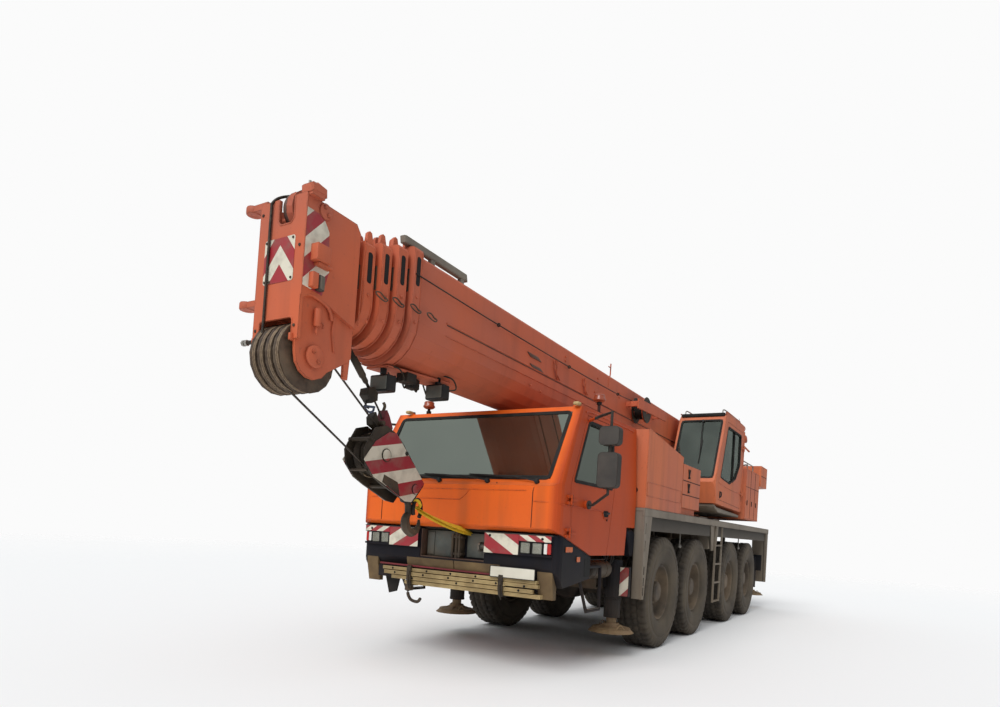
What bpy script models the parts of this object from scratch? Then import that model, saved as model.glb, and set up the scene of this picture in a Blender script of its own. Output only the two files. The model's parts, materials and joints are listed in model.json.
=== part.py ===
"""All-terrain mobile crane on four axles, standing on its wheels in its road position.

Lengths are in metres. X points forward, Y to the vehicle's left, Z up, and the ground is
Z = 0. Places along X are counted from the first axle; ORIGIN_X puts the middle of the whole
crane over the world's origin.
"""
import math

import bmesh
import bpy
from mathutils import Matrix, Vector

# Clearances
SEAT = 0.0003            # between pieces that rest on each other
GAP = 0.006              # round a piece that moves
ORIGIN_X = 1.0807        # from the first axle to the middle of the crane

# Wheels and axles
AXLE_STEPS = (0.0, -1.65, -2.35, -1.65)      # from each axle to the one before it
TYRE_RADIUS = 0.745
TYRE_WIDTH = 0.43
TREAD_WIDTH = 0.37
BEAD_RADIUS = 0.362
RIM_RADIUS = 0.358
RIM_WIDTH = 0.31
RIM_WALL = 0.013
RIM_LIP = 0.014
BEAD_WIDTH = 0.28
HUB_RADIUS = 0.14
HUB_REACH = 0.135
SPINDLE_BORE = 0.080
SPINDLE_RADIUS = 0.0774
SPINDLE_REACH = 0.05
DISC_BACK = -0.02
DISC_FRONT = 0.010
DRUM_RADIUS = 0.25
DRUM_BACK = 0.087
VEHICLE_HALF = 1.375
TYRE_Y = VEHICLE_HALF - TYRE_WIDTH / 2
KINGPIN_Y = 0.97
KINGPIN_RADIUS = 0.07
KINGPIN_HALF = 0.13
BEAM_HALF = 0.09
STRUT_Y = 0.56
STRUT_RADIUS = 0.06
STRUT_TOP = 1.45

# Frame and deck
DECK_TOP = 1.84
DECK_PLATE = 0.04
DECK_BAND = 0.10
DECK_FRONT = 0.945
DECK_REAR = -7.74
PANEL_LOW = 1.56
PANEL_INSET = 0.05
RAIL_Y = 0.36
RAIL_WIDTH = 0.10
RAIL_MIDDLE = RAIL_Y + RAIL_WIDTH / 2
RAIL_TOP = 1.50
RAIL_LOW = 0.98
NOSE_RAIL_TOP = 1.15
NOSE_RAIL_LOW = 0.80
FRAME_FRONT = 2.90 - SEAT
FRAME_REAR = -7.65
BEARER_LOW = 1.66
BEARERS = (0.20, -0.95, -2.20, -3.20, -5.30, -6.50, -7.45)

# Outriggers: each box holds two beams side by side, one for each side
BOX_HALF = 0.985
BOX_LENGTH = 0.40
BOX_HEIGHT = 0.32
FRONT_BOX_X = 1.24
FRONT_BOX_LOW = 0.82
REAR_BOX_X = -7.36
REAR_BOX_LOW = 0.95
OUT_BEAM = 0.15
OUT_BEAM_HEIGHT = 0.25
OUT_WALL = 0.02
JACK_Y = BOX_HALF + 0.107
JACK_RADIUS = 0.10
JACK_LOW = 0.48
JACK_HEIGHT = 0.70
LEG_RADIUS = 0.062
PAD_RADIUS = 0.28
PAD_LOW = 0.30
PAD_THICK = 0.05

# Driver's cab
CAB_HALF = 1.27
CAB_ROOF_HALF = CAB_HALF - 0.045
CAB_WAIST = 1.95
CAB_ROOF = 2.80
CAB_FLOOR = 1.245
CAB_WALL = 0.045
DOOR_INNER = CAB_HALF - 0.105
SEAT_Y = 0.65
CAB_REAR = 0.96
CAB_NOSE = 3.10
CAB_CORNER = 0.10
SCREEN_LOW = (3.035, CAB_WAIST + 0.035)
SCREEN_HIGH = (2.645, 2.735)
SCREEN_HALF = CAB_HALF - 0.14
PANE = 0.008
HINGE_RADIUS = 0.016
MIRROR_X = 2.66
MIRROR_Y = CAB_HALF + 0.31
MIRROR_HALF = 0.108
CAB_OUTLINE = (
    (3.06, 1.46), (CAB_NOSE, 1.50), (CAB_NOSE, CAB_WAIST - 0.03), (3.07, CAB_WAIST), (2.60, CAB_ROOF - 0.01),
    (2.56, CAB_ROOF), (1.02, CAB_ROOF + 0.01), (CAB_REAR, CAB_ROOF - 0.05), (CAB_REAR, 1.58), (1.27, 1.58),
    (1.30, CAB_FLOOR), (2.30, CAB_FLOOR),
)
DOOR_OUTLINE = (
    (2.78, 1.30), (2.86, CAB_WAIST), (2.46, CAB_ROOF - 0.085), (1.66, CAB_ROOF - 0.085), (1.72, CAB_WAIST),
    (1.86, 1.20), (2.35, 1.20),
)
DOOR_WINDOW = (
    (2.785, CAB_WAIST + 0.04), (2.42, CAB_ROOF - 0.14), (1.73, CAB_ROOF - 0.14), (1.77, CAB_WAIST + 0.04),
)
DOOR_HINGE = (2.87, CAB_HALF + 0.022)
HINGE_HEIGHTS = (1.47, CAB_WAIST - 0.15)
ROOF_LAMPS = (  # x, y, underside, top, radius
    (1.90, CAB_HALF - 0.17, CAB_ROOF + 0.18, CAB_ROOF + 0.25, 0.06),
    (2.50, 0.41 - CAB_HALF, CAB_ROOF + 0.08, CAB_ROOF + 0.15, 0.06),
    (2.50, CAB_HALF - 0.17, CAB_ROOF - 0.01, CAB_ROOF + 0.04, 0.035),
    (2.50, 0.17 - CAB_HALF, CAB_ROOF - 0.01, CAB_ROOF + 0.04, 0.035),
)
BOARD_FACE = 3.09
LAMP_BOARD = (0.43, 1.21, 1.22, 1.43)    # y inner, y outer, z low, z high

# Superstructure
SLEW_X = -4.30
RING_TOP = 1.93
RING_RADIUS = 0.66
BASE_TOP = 2.05
CHEEK_Y = 0.405
CHEEK = 0.05
HOUSING_REAR = -6.30
HOUSING_TOP = 2.98
HOUSING_LOW = 1.965
HOUSING_HALF = 1.37
CRANE_CAB_INNER = 0.475
CRANE_CAB_OUTER = 1.30
CRANE_CAB_WALL = 0.04
COUNTERWEIGHT_FRONT = -6.46
COUNTERWEIGHT_REAR = -7.38
COUNTERWEIGHT_LOW = 2.75
COUNTERWEIGHT_TOP = 3.20

# Boom, in its own frame: U along the boom from the foot pin, V up
BOOM_PIN = (-5.898, 3.261)
BOOM_TILT = math.radians(0.6)
BOOM_HALF = 0.36
BOOM_UP = 0.475
BOOM_ROUND = -0.11
BOOM_WALL = 0.014
BOOM_STEP = 0.042
BOOM_FRONT = 10.30
BOOM_BACK = -0.22
REEL = (4.72, 0.17)
REEL_RADIUS = 0.19
REEL_CORE = 0.12
COLLAR_LENGTH = 0.11
COLLAR_PITCH = 0.155
COLLAR_RISE = 0.035
SECTION_COUNT = 4
HEAD_FRONT = 11.386
HEAD_HALF = 0.2566
HEAD_INNER = 0.197
HEAD_SHEAVE = 0.27
SHEAVE_PITCH = 0.087
FOOT_RADIUS = 0.20
FOOT_PIN = 0.07

# Luffing cylinder, in the same frame as the boom pin
LUFF_BASE = (-4.60, 2.40)
LUFF_EYE_U = 5.00
LUFF_BARE = 0.78           # bare rod showing with the boom down
LUFF_EYE_V = -0.60
LUFF_RADIUS = 0.135
LUFF_ROD = 0.08
EYE_RADIUS = 0.13
EYE_PIN = 0.055

# Hook block, hanging from the head's lower pin and drawn back by the bumper's sling
HOOK_DRAW = 58.0         # from hanging straight down
HOOK_TILT = 25.0
HEAD_LOW_PIN = (11.20, -0.69)
BLOCK_REACH = 1.17       # from the head's pin to the block's wheels
BLOCK_SHEAVE = 0.20
BLOCK_INNER = 0.105
BLOCK_OUTER = 0.125
ROPE_LANE = SHEAVE_PITCH / 2

ROUND = 24
FINE = 24
RIM_SIDES = 14


def clear_scene():
    """Remove the objects that the file opens with."""
    for obj in list(bpy.data.objects):
        bpy.data.objects.remove(obj, do_unlink=True)


def collection(name):
    group = bpy.data.collections.new(name)
    bpy.context.scene.collection.children.link(group)
    return group


def material(name, colour, roughness, metallic=0.0):
    mat = bpy.data.materials.new(name)
    mat.use_nodes = True
    shader = mat.node_tree.nodes["Principled BSDF"]
    shader.inputs["Base Color"].default_value = (*colour, 1.0)
    shader.inputs["Roughness"].default_value = roughness
    shader.inputs["Metallic"].default_value = metallic
    return mat


def mesh_object(mesh):
    obj = bpy.data.objects.new("piece", mesh)
    PARTS.objects.link(obj)
    return obj


def cleaned(mesh):
    """Weld doubled points and turn every face outwards."""
    work = bmesh.new()
    work.from_mesh(mesh)
    bmesh.ops.remove_doubles(work, verts=work.verts, dist=0.00005)
    bmesh.ops.recalc_face_normals(work, faces=work.faces)
    work.to_mesh(mesh)
    work.free()
    return mesh


def evaluated(obj):
    """The object with its modifiers or its curve made a plain mesh object."""
    bpy.context.view_layer.update()
    graph = bpy.context.evaluated_depsgraph_get()
    mesh = cleaned(bpy.data.meshes.new_from_object(obj.evaluated_get(graph)))
    made = mesh_object(mesh)
    made.matrix_world = obj.matrix_world.copy()
    bpy.data.objects.remove(obj, do_unlink=True)
    return made


def block(low, high):
    """A box between two corners."""
    work = bmesh.new()
    bmesh.ops.create_cube(work, size=1.0)
    size = Vector(high) - Vector(low)
    middle = (Vector(high) + Vector(low)) / 2
    bmesh.ops.transform(work, matrix=Matrix.Translation(middle) @ Matrix.Diagonal((*size, 1.0)), verts=work.verts)
    mesh = bpy.data.meshes.new("block")
    work.to_mesh(mesh)
    work.free()
    return mesh_object(mesh)


def rod(start, end, radius, sides=ROUND, end_radius=None):
    """A cylinder, or a cone, from one point to another."""
    start, end = Vector(start), Vector(end)
    run = end - start
    work = bmesh.new()
    bmesh.ops.create_cone(work, cap_ends=True, segments=sides, radius1=radius,
                          radius2=radius if end_radius is None else end_radius, depth=run.length)
    turn = run.to_track_quat("Z", "Y").to_matrix().to_4x4()
    bmesh.ops.transform(work, matrix=Matrix.Translation((start + end) / 2) @ turn, verts=work.verts)
    mesh = bpy.data.meshes.new("rod")
    work.to_mesh(mesh)
    work.free()
    return mesh_object(mesh)


def outline_curve(loops, depth):
    """A flat filled curve in its own XY plane, extruded to the given depth."""
    curve = bpy.data.curves.new("outline", "CURVE")
    curve.dimensions = "2D"
    curve.fill_mode = "BOTH"
    curve.extrude = depth / 2
    for loop in loops:
        spline = curve.splines.new("POLY")
        spline.points.add(len(loop) - 1)
        for point, (a, b) in zip(spline.points, loop):
            point.co = (a, b, 0.0, 1.0)
        spline.use_cyclic_u = True
    obj = bpy.data.objects.new("outline", curve)
    PARTS.objects.link(obj)
    return obj


def plate(loops, low, high, across="y"):
    """A flat outline given thickness across one axis, from low to high there.

    Across y the outline is (x, z), across x it is (y, z) and across z it is (x, y).
    """
    if not isinstance(loops[0][0], (tuple, list)):
        loops = [loops]
    flat = evaluated(outline_curve(loops, high - low))
    middle = (low + high) / 2
    columns = {"y": ((1, 0, 0), (0, 0, 1), (0, -1, 0), (0, middle, 0)),
               "x": ((0, 1, 0), (0, 0, 1), (1, 0, 0), (middle, 0, 0)),
               "z": ((1, 0, 0), (0, 1, 0), (0, 0, 1), (0, 0, middle))}[across]
    turn = Matrix([list(row) for row in zip(*columns)]).to_4x4()
    turn.translation = Vector(columns[3])
    flat.data.transform(turn)
    cleaned(flat.data)
    return flat


def turned(profile, sides=ROUND, closed=True):
    """A profile of (radius, height) turned about the Z axis; it may start and end on the axis."""
    mesh = bpy.data.meshes.new("profile")
    points = [(radius, 0.0, height) for radius, height in profile]
    edges = [(i, i + 1) for i in range(len(points) - 1)]
    if closed:
        edges.append((len(points) - 1, 0))
    mesh.from_pydata(points, edges, [])
    obj = mesh_object(mesh)
    screw = obj.modifiers.new("turn", "SCREW")
    screw.axis = "Z"
    screw.angle = math.tau
    screw.steps = sides
    screw.render_steps = sides
    screw.use_merge_vertices = True
    screw.merge_threshold = 0.0001
    return evaluated(obj)


def tube(points, radius, resolution=1):
    """A round bar along a chain of points, with closed ends; radius may be one size or one per point."""
    radii = radius if isinstance(radius, list) else [radius] * len(points)
    curve = bpy.data.curves.new("tube", "CURVE")
    curve.dimensions = "3D"
    curve.bevel_depth = 1.0
    curve.bevel_resolution = resolution
    curve.use_fill_caps = True
    spline = curve.splines.new("POLY")
    spline.points.add(len(points) - 1)
    for point, spot, size in zip(spline.points, points, radii):
        point.co = (*spot, 1.0)
        point.radius = size
    obj = bpy.data.objects.new("tube", curve)
    PARTS.objects.link(obj)
    return evaluated(obj)


def boolean(base, others, operation):
    for other in others:
        step = base.modifiers.new(operation.lower(), "BOOLEAN")
        step.operation = operation
        step.solver = "EXACT"
        step.object = other
    made = evaluated(base)
    for other in others:
        bpy.data.objects.remove(other, do_unlink=True)
    return made


def joined(base, *others):
    return boolean(base, others, "UNION")


def cut(base, *others):
    return boolean(base, others, "DIFFERENCE")


def common(base, other):
    return boolean(base, [other], "INTERSECT")


def duplicate(obj):
    return mesh_object(obj.data.copy())


def moved(obj, offset=(0, 0, 0), turn=None):
    """The same piece with its mesh turned and then moved."""
    matrix = Matrix.Translation(offset)
    if turn is not None:
        matrix = matrix @ turn
    obj.data.transform(matrix)
    return obj


def mirrored(obj):
    """A copy reflected to the other side of the XZ plane."""
    copy = duplicate(obj)
    copy.data.transform(Matrix.Diagonal((1, -1, 1, 1)))
    copy.data.flip_normals()
    return copy


def place(obj, name, finish, parent, at=(0, 0, 0)):
    """Name a piece, give it its material and hang it on its parent with its origin at a point there."""
    obj.name = name
    obj.data.name = name
    obj.data.materials.clear()
    obj.data.materials.append(finish)
    obj.data.set_sharp_from_angle(angle=math.radians(35))
    obj.data.transform(Matrix.Translation([-c for c in at]))
    obj.parent = parent
    obj.location = at
    return obj


def pivot(name, parent, at, turn=(0, 0, 0)):
    empty = bpy.data.objects.new(name, None)
    PARTS.objects.link(empty)
    empty.parent = parent
    empty.location = at
    empty.rotation_euler = turn
    return empty


def arc(centre, radius, start, end, steps):
    """Points on a circle from one angle to another, in degrees, both ends included."""
    return [(centre[0] + radius * math.cos(math.radians(start + (end - start) * i / steps)),
             centre[1] + radius * math.sin(math.radians(start + (end - start) * i / steps)))
            for i in range(steps + 1)]


def axle_places():
    places, x = [], 0.0
    for step in AXLE_STEPS:
        x += step
        places.append(x)
    return places


def tyre_mesh():
    """A solid ring with bulged side walls and a flat bead at the rim's lip; it stands on one of its facets."""
    half, tread, bead = TYRE_WIDTH / 2, TREAD_WIDTH / 2, BEAD_WIDTH / 2 - SEAT
    side = [(BEAD_RADIUS, bead), (BEAD_RADIUS + 0.016, bead), (0.56, half), (0.695, half - 0.01),
            (TYRE_RADIUS, tread)]
    flat = 1.0 / math.cos(math.pi / FINE)
    profile = [(r * flat, -y) for r, y in side] + [(r * flat, y) for r, y in side[::-1]]
    turn = Matrix.Rotation(math.radians(-90), 4, "X") @ Matrix.Rotation(math.pi / FINE, 4, "Z")
    return moved(turned(profile, FINE), turn=turn).data


def rim_mesh():
    """Barrel with two lips, a recessed disc and the round planetary hub in its middle.

    Its Y axis points outwards, away from the vehicle.
    """
    half, bead = RIM_WIDTH / 2, BEAD_WIDTH / 2
    inner = RIM_RADIUS - RIM_WALL
    profile = [(0.0, SPINDLE_REACH), (SPINDLE_BORE, SPINDLE_REACH), (SPINDLE_BORE, DISC_BACK),
               (inner, DISC_BACK), (inner, -half), (RIM_RADIUS, -half), (RIM_RADIUS, bead),
               (RIM_RADIUS + RIM_LIP, bead), (RIM_RADIUS + RIM_LIP, half), (inner, half), (inner, DISC_FRONT),
               (HUB_RADIUS, DISC_FRONT), (HUB_RADIUS, HUB_REACH - 0.02), (HUB_RADIUS - 0.02, HUB_REACH),
               (0.0, HUB_REACH)]
    return moved(turned(profile, RIM_SIDES, closed=False), turn=Matrix.Rotation(math.radians(-90), 4, "X")).data


def knuckle_mesh():
    """Kingpin barrel, brake drum, spindle and steering arm, about the kingpin, Y outwards."""
    reach = TYRE_Y - KINGPIN_Y
    barrel = rod((0, 0, -KINGPIN_HALF), (0, 0, KINGPIN_HALF), KINGPIN_RADIUS, 8)
    spindle = rod((0, 0, 0), (0, reach + SPINDLE_REACH - SEAT, 0), SPINDLE_RADIUS, 12)
    drum = rod((0, DRUM_BACK, 0), (0, reach + DISC_BACK - 0.02, 0), DRUM_RADIUS, 12)
    arm = block((-0.32, -0.035, -0.03), (0, 0.035, 0.03))
    return joined(barrel, spindle, drum, arm).data


def wheels(carrier, finishes):
    """Eight knuckles, rims and tyres: shared meshes, turned about for the right-hand side."""
    tyre, rim, knuckle = tyre_mesh(), rim_mesh(), knuckle_mesh()
    for number, x in enumerate(axle_places(), 1):
        for side, sign in (("left", 1), ("right", -1)):
            steering = pivot(f"steering_{number}_{side}", carrier, (x, sign * KINGPIN_Y, TYRE_RADIUS),
                             (0, 0, 0 if sign > 0 else math.pi))
            hub = pivot(f"hub_{number}_{side}", steering, (0, TYRE_Y - KINGPIN_Y, 0))
            for piece, mesh, parent in (("knuckle", knuckle, steering), ("rim", rim, hub), ("tyre", tyre, hub)):
                obj = bpy.data.objects.new(f"{piece}_{number}_{side}", mesh)
                PARTS.objects.link(obj)
                obj.parent = parent
    for mesh, finish in ((knuckle, "iron"), (rim, "wheel"), (tyre, "rubber")):
        mesh.materials.clear()
        mesh.materials.append(finishes[finish])
        mesh.set_sharp_from_angle(angle=math.radians(35))
    for obj in list(PARTS.objects):
        if obj.name.startswith("piece"):
            bpy.data.objects.remove(obj, do_unlink=True)


def axles(carrier, finish):
    """Four axle beams with their differentials, forks and suspension struts, joined by the drive line."""
    z = TYRE_RADIUS
    line = rod((0.0, 0, z), (axle_places()[-1], 0, z), 0.05, 8)
    pieces = []
    ear_in, ear_out = KINGPIN_HALF + SEAT, KINGPIN_HALF + 0.05
    for x in axle_places():
        pieces.append(block((x - BEAM_HALF, -0.85, z - 0.10), (x + BEAM_HALF, 0.85, z + 0.10)))
        pieces.append(rod((x - 0.20, 0, z), (x + 0.20, 0, z), 0.21, 10))
        for sign in (1, -1):
            inner, outer = sorted((sign * 0.845, sign * (KINGPIN_Y + 0.045)))
            for up in (1, -1):
                low, high = sorted((z + up * ear_in, z + up * ear_out))
                pieces.append(block((x - 0.06, inner, low), (x + 0.06, outer, high)))
            web = sorted((sign * 0.84, sign * 0.878))
            pieces.append(block((x - 0.059, web[0], z - ear_out + 0.001), (x + 0.059, web[1], z + ear_out - 0.001)))
            pieces.append(rod((x, sign * STRUT_Y, z), (x, sign * STRUT_Y, STRUT_TOP - SEAT), STRUT_RADIUS, 8))
    place(joined(line, *pieces), "axles", finish, carrier)


def outrigger_box(x, low):
    """The cross box that the two beams of one end slide in, open at both ends."""
    half = BOX_LENGTH / 2
    box = block((x - half, -BOX_HALF, low), (x + half, BOX_HALF, low + BOX_HEIGHT))
    channels = []
    for lane in (1, -1):
        middle = x + lane * BOX_LENGTH / 4
        width = OUT_BEAM / 2 + GAP
        floor = low + OUT_WALL
        channels.append(block((middle - width, -BOX_HALF - 0.1, floor),
                              (middle + width, BOX_HALF + 0.1, floor + OUT_BEAM_HEIGHT + GAP)))
    return box, channels


def chassis_frame(carrier, finish):
    """Two rails with a low nose under the cab, cross members, outrigger boxes and the slewing ring."""
    side = [(FRAME_FRONT, NOSE_RAIL_LOW), (FRAME_FRONT, NOSE_RAIL_TOP), (0.95, NOSE_RAIL_TOP), (0.78, RAIL_TOP),
            (FRAME_REAR, RAIL_TOP), (FRAME_REAR, 1.10), (FRAME_REAR + 0.6, RAIL_LOW), (0.90, RAIL_LOW),
            (1.02, NOSE_RAIL_LOW)]
    left = plate(side, RAIL_Y, RAIL_Y + RAIL_WIDTH)
    right = mirrored(left)
    inside = RAIL_Y + 0.01
    cross = [block((x - 0.06, -inside, low), (x + 0.06, inside, high))
             for x, low, high in ((2.72, 0.86, 1.10), (-0.83, 1.05, 1.45), (-2.82, 1.05, 1.45), (-6.6, 1.1, 1.45))]
    ring_box = block((SLEW_X - 0.75, -RAIL_Y - RAIL_WIDTH - 0.25, STRUT_TOP + 0.01),
                     (SLEW_X + 0.75, RAIL_Y + RAIL_WIDTH + 0.25, 1.72))
    ring = rod((SLEW_X, 0, STRUT_TOP + 0.02), (SLEW_X, 0, RING_TOP), RING_RADIUS, 32)
    boxes, channels = [], []
    for x, low in ((FRONT_BOX_X, FRONT_BOX_LOW), (REAR_BOX_X, REAR_BOX_LOW)):
        box, lanes = outrigger_box(x, low)
        boxes.append(box)
        channels += lanes
    brackets = [block((x - 0.10, sign * 0.55 - 0.12, STRUT_TOP), (x + 0.10, sign * 0.55 + 0.12, RAIL_TOP + 0.02))
                for x in axle_places() for sign in (1, -1)]
    deck_seat = DECK_TOP - DECK_PLATE - SEAT
    bearers = [block((x - 0.05, -1.18, BEARER_LOW), (x + 0.05, 1.18, deck_seat)) for x in BEARERS]
    posts = [block((x - 0.045, sign * RAIL_MIDDLE - 0.04, 1.40),
                   (x + 0.045, sign * RAIL_MIDDLE + 0.04, 1.70))
             for x in BEARERS for sign in (1, -1)]
    mounts = [block((x - 0.07, sign * RAIL_MIDDLE - 0.04, NOSE_RAIL_TOP - 0.03),
                    (x + 0.07, sign * RAIL_MIDDLE + 0.04, CAB_FLOOR - SEAT))
              for x in (1.55, 2.18) for sign in (1, -1)]
    body = joined(left, right, *cross, ring_box, ring, *boxes, *brackets, *bearers, *posts, *mounts)
    place(cut(body, *channels), "chassis_frame", finish, carrier)


def deck(carrier, finish):
    """Deck plate with its side bands, recessed side panels, legs before the first wheels and ladders."""
    top, low = DECK_TOP, DECK_TOP - DECK_PLATE
    half = VEHICLE_HALF
    floor = block((DECK_REAR, -half + 0.002, low), (DECK_FRONT, half - 0.002, top))
    hole = rod((SLEW_X, 0, low - 0.2), (SLEW_X, 0, top + 0.1), RING_RADIUS + 0.01, 32)
    under = low + 0.011
    pieces = []
    for sign in (1, -1):
        def beside(x0, x1, y0, y1, z0, z1):
            a, b = sorted((sign * y0, sign * y1))
            pieces.append(block((x0, a, z0), (x1, b, z1)))

        def panel(outline, y0, y1):
            pieces.append(plate(outline, *sorted((sign * y0, sign * y1))))
        beside(DECK_REAR + 0.001, DECK_FRONT - 0.001, half - 0.03, half, top - DECK_BAND, top - 0.002)
        beside(-2.47, 0.66, half - PANEL_INSET - 0.02, half - PANEL_INSET, PANEL_LOW, under)
        beside(DECK_REAR + 0.04, -3.04, half - PANEL_INSET - 0.02, half - PANEL_INSET, PANEL_LOW, under)
        panel([(DECK_FRONT - 0.003, under), (0.90, 0.70), (0.82, 0.70), (0.64, under)], half - 0.031, half - 0.003)
        panel([(DECK_FRONT - 0.005, under), (0.898, 0.702), (0.87, 0.702), (0.91, under)], 1.24, half - 0.005)
        panel([(-2.46, under), (-2.60, 1.32), (-2.90, 1.32), (-3.05, under)], half - 0.072, half - 0.04)
        panel([(DECK_REAR + 0.003, under), (DECK_REAR + 0.003, 0.60), (DECK_REAR + 0.04, 0.60),
               (DECK_REAR + 0.20, under)], 1.05, half - 0.006)
        for x in (-2.76, -3.20):
            beside(x - 0.015, x + 0.015, half - 0.037, half - 0.006, 0.43, under)
        for z in (0.45, 0.77, 1.09, 1.41):
            beside(-3.20, -2.76, half - 0.034, half - 0.008, z - 0.012, z + 0.012)
    body = joined(cut(floor, hole), *pieces)
    slots = []
    for inner, outer in ((half - 0.045, half + 0.025), (-half - 0.025, 0.045 - half)):
        for z in (1.52, 1.30):
            slots.append(block((0.852, inner, z), (0.878, outer, z + 0.13)))
    place(cut(body, *slots), "deck", finish, carrier)


def engine_block(carrier, finish):
    body = block((-0.55, -0.33, 1.02), (0.72, 0.33, BEARER_LOW - SEAT))
    place(body, "engine_block", finish, carrier)


def engine_covers(carrier, finish):
    """Sloping engine cover and latched box on each side, joined by the low hood between them."""
    low = DECK_TOP + SEAT
    slope = [(0.93, low), (0.93, 2.82), (0.88, 2.825), (-0.60, 2.655), (-0.60, low)]
    hood = block((-0.58, -0.60, low), (0.90, 0.60, 2.10))
    pieces = []
    for sign in (1, -1):
        a, b = sorted((sign * 0.55, sign * 1.365))
        pieces.append(plate(slope, a, b))
        a, b = sorted((sign * 0.66, sign * 1.36))
        pieces.append(block((-1.56, a, 1.94), (-0.64, b, 2.57)))
        a, b = sorted((sign * 0.72, sign * 1.30))
        pieces.append(block((-1.52, a, low), (-0.55, b, 1.99)))
    place(joined(hood, *pieces), "engine_covers", finish, carrier)


def narrowed(obj):
    """Lean the cab's sides inwards above the waist."""
    for vertex in obj.data.vertices:
        rise = max(0.0, vertex.co.z - CAB_WAIST) / (CAB_ROOF - CAB_WAIST)
        vertex.co.y *= 1.0 - rise * (1.0 - CAB_ROOF_HALF / CAB_HALF)
    return obj


def shrunk(outline, wall):
    """The outline moved inwards by a wall, each corner along its two edges' normals."""
    count = len(outline)
    area = sum(outline[i][0] * outline[(i + 1) % count][1] - outline[(i + 1) % count][0] * outline[i][1]
               for i in range(count))
    turn = 1.0 if area > 0 else -1.0
    inner = []
    for i in range(count):
        before, here, after = Vector(outline[i - 1]), Vector(outline[i]), Vector(outline[(i + 1) % count])
        one, two = (here - before).normalized(), (after - here).normalized()
        normal_one = Vector((-one.y, one.x)) * turn
        normal_two = Vector((-two.y, two.x)) * turn
        bisector = (normal_one + normal_two).normalized()
        reach = wall / max(0.25, bisector.dot(normal_one))
        inner.append(tuple(here + bisector * reach))
    return inner


def slanted_pane(low, high, half, thickness, centre_y=0.0, inset=0.0):
    """A flat slab through two points of the side view; an inset one lies that far inside and ends short of both."""
    low, high = Vector((low[0], 0, low[1])), Vector((high[0], 0, high[1]))
    along = (high - low)
    tilt = math.atan2(-along.x, along.z)
    reach = along.length / 2 - (2 * SEAT if inset else 0.0)
    pane = block((-thickness / 2 - inset, -half, -reach), (thickness / 2 - inset, half, reach))
    turn = Matrix.Rotation(-tilt, 4, "Y")
    return moved(pane, (low + high) / 2 + Vector((0, centre_y, 0)), turn)


def round_plan(front, rear, half, front_corner, rear_corner):
    """Plan view (x, y) of a body with rounded corners, larger ones at the front."""
    right = arc((rear + rear_corner, -half + rear_corner), rear_corner, 180, 270, 2)
    right += arc((front - front_corner, -half + front_corner), front_corner, 270, 360, 4)
    return right + [(x, -y) for x, y in reversed(right)]


def cab_body():
    """The cab's solid outer form: its side view, with corners rounded that lean back along the screen."""
    plan = round_plan(CAB_NOSE, CAB_REAR, CAB_HALF, CAB_CORNER, 0.04)
    lower = plate(plan, CAB_FLOOR - 0.1, CAB_WAIST, across="z")
    upper = plate(plan, CAB_WAIST - 0.001, CAB_ROOF + 0.1, across="z")
    lean = (SCREEN_HIGH[0] - SCREEN_LOW[0]) / (SCREEN_HIGH[1] - SCREEN_LOW[1])
    for vertex in upper.data.vertices:
        if vertex.co.x > (CAB_NOSE + CAB_REAR) / 2:
            vertex.co.x += max(0.0, vertex.co.z - CAB_WAIST) * lean
    side = plate(list(CAB_OUTLINE), -CAB_HALF - 0.1, CAB_HALF + 0.1)
    return narrowed(common(joined(lower, upper), side))


def round_corners(left, right, low, high, radius):
    """A rectangle's outline with its four corners rounded."""
    points = []
    for a, b, start in ((right - radius, high - radius, 0), (left + radius, high - radius, 90),
                        (left + radius, low + radius, 180), (right - radius, low + radius, 270)):
        points += arc((a, b), radius, start, start + 90, 3)
    return points


def mirror_arms(sign):
    """Two mirror heads on bent tube arms, carried by the door."""
    y = sign * MIRROR_Y
    skin, roof_skin = sign * (CAB_HALF - 0.02), sign * (CAB_ROOF_HALF - 0.02)
    out = sign * (CAB_HALF + 0.10)
    high, low = CAB_ROOF - 0.10, CAB_WAIST - 0.175
    upper = tube([(2.43, roof_skin, high - 0.045), (2.47, out, high), (MIRROR_X, y, high),
                  (MIRROR_X, y, high - 0.25)], 0.016)
    lower = tube([(2.50, skin, low), (2.53, out, low), (MIRROR_X, y, low + 0.105), (MIRROR_X, y, low + 0.62)],
                 0.016)
    heads = [plate(round_corners(y - MIRROR_HALF, y + MIRROR_HALF, low + foot, low + top, 0.045),
                   MIRROR_X - 0.05, MIRROR_X + 0.05, across="x")
             for foot, top in ((0.165, 0.52), (0.59, 0.78))]
    knob = rod((2.50, skin, low), (2.505, sign * (CAB_HALF + 0.055), low), 0.045, 12)
    return [upper, lower, knob, *heads]


def hinge(x, y, skin, z, door_side):
    """A door hinge: two outer barrels strapped to the frame and the middle one strapped to the door.

    The door lies on the door_side (+1 or -1) of the axis along X; skin is the panels' outer face.
    """
    sign = 1 if y > 0 else -1
    proud = sorted((skin + sign * 0.004, y))
    root = sorted((skin - sign * 0.02, y - sign * 0.001))
    parts = ([], [])
    for side, low, high in ((0, z - 0.05, z - 0.015), (0, z + 0.015, z + 0.05), (1, z - 0.0147, z + 0.0147)):
        way = door_side if side else -door_side
        reach = 0.14 if side else 0.065
        strap = sorted((x, x + way * reach))
        tip = sorted((x + way * (reach - 0.03), x + way * reach))
        parts[side].append(rod((x, y, low), (x, y, high), HINGE_RADIUS, 8))
        parts[side].append(block((strap[0], proud[0], low + 0.002), (strap[1], proud[1], high - 0.002)))
        parts[side].append(block((tip[0], root[0], low + 0.003), (tip[1], root[1], high - 0.003)))
    return parts


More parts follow.
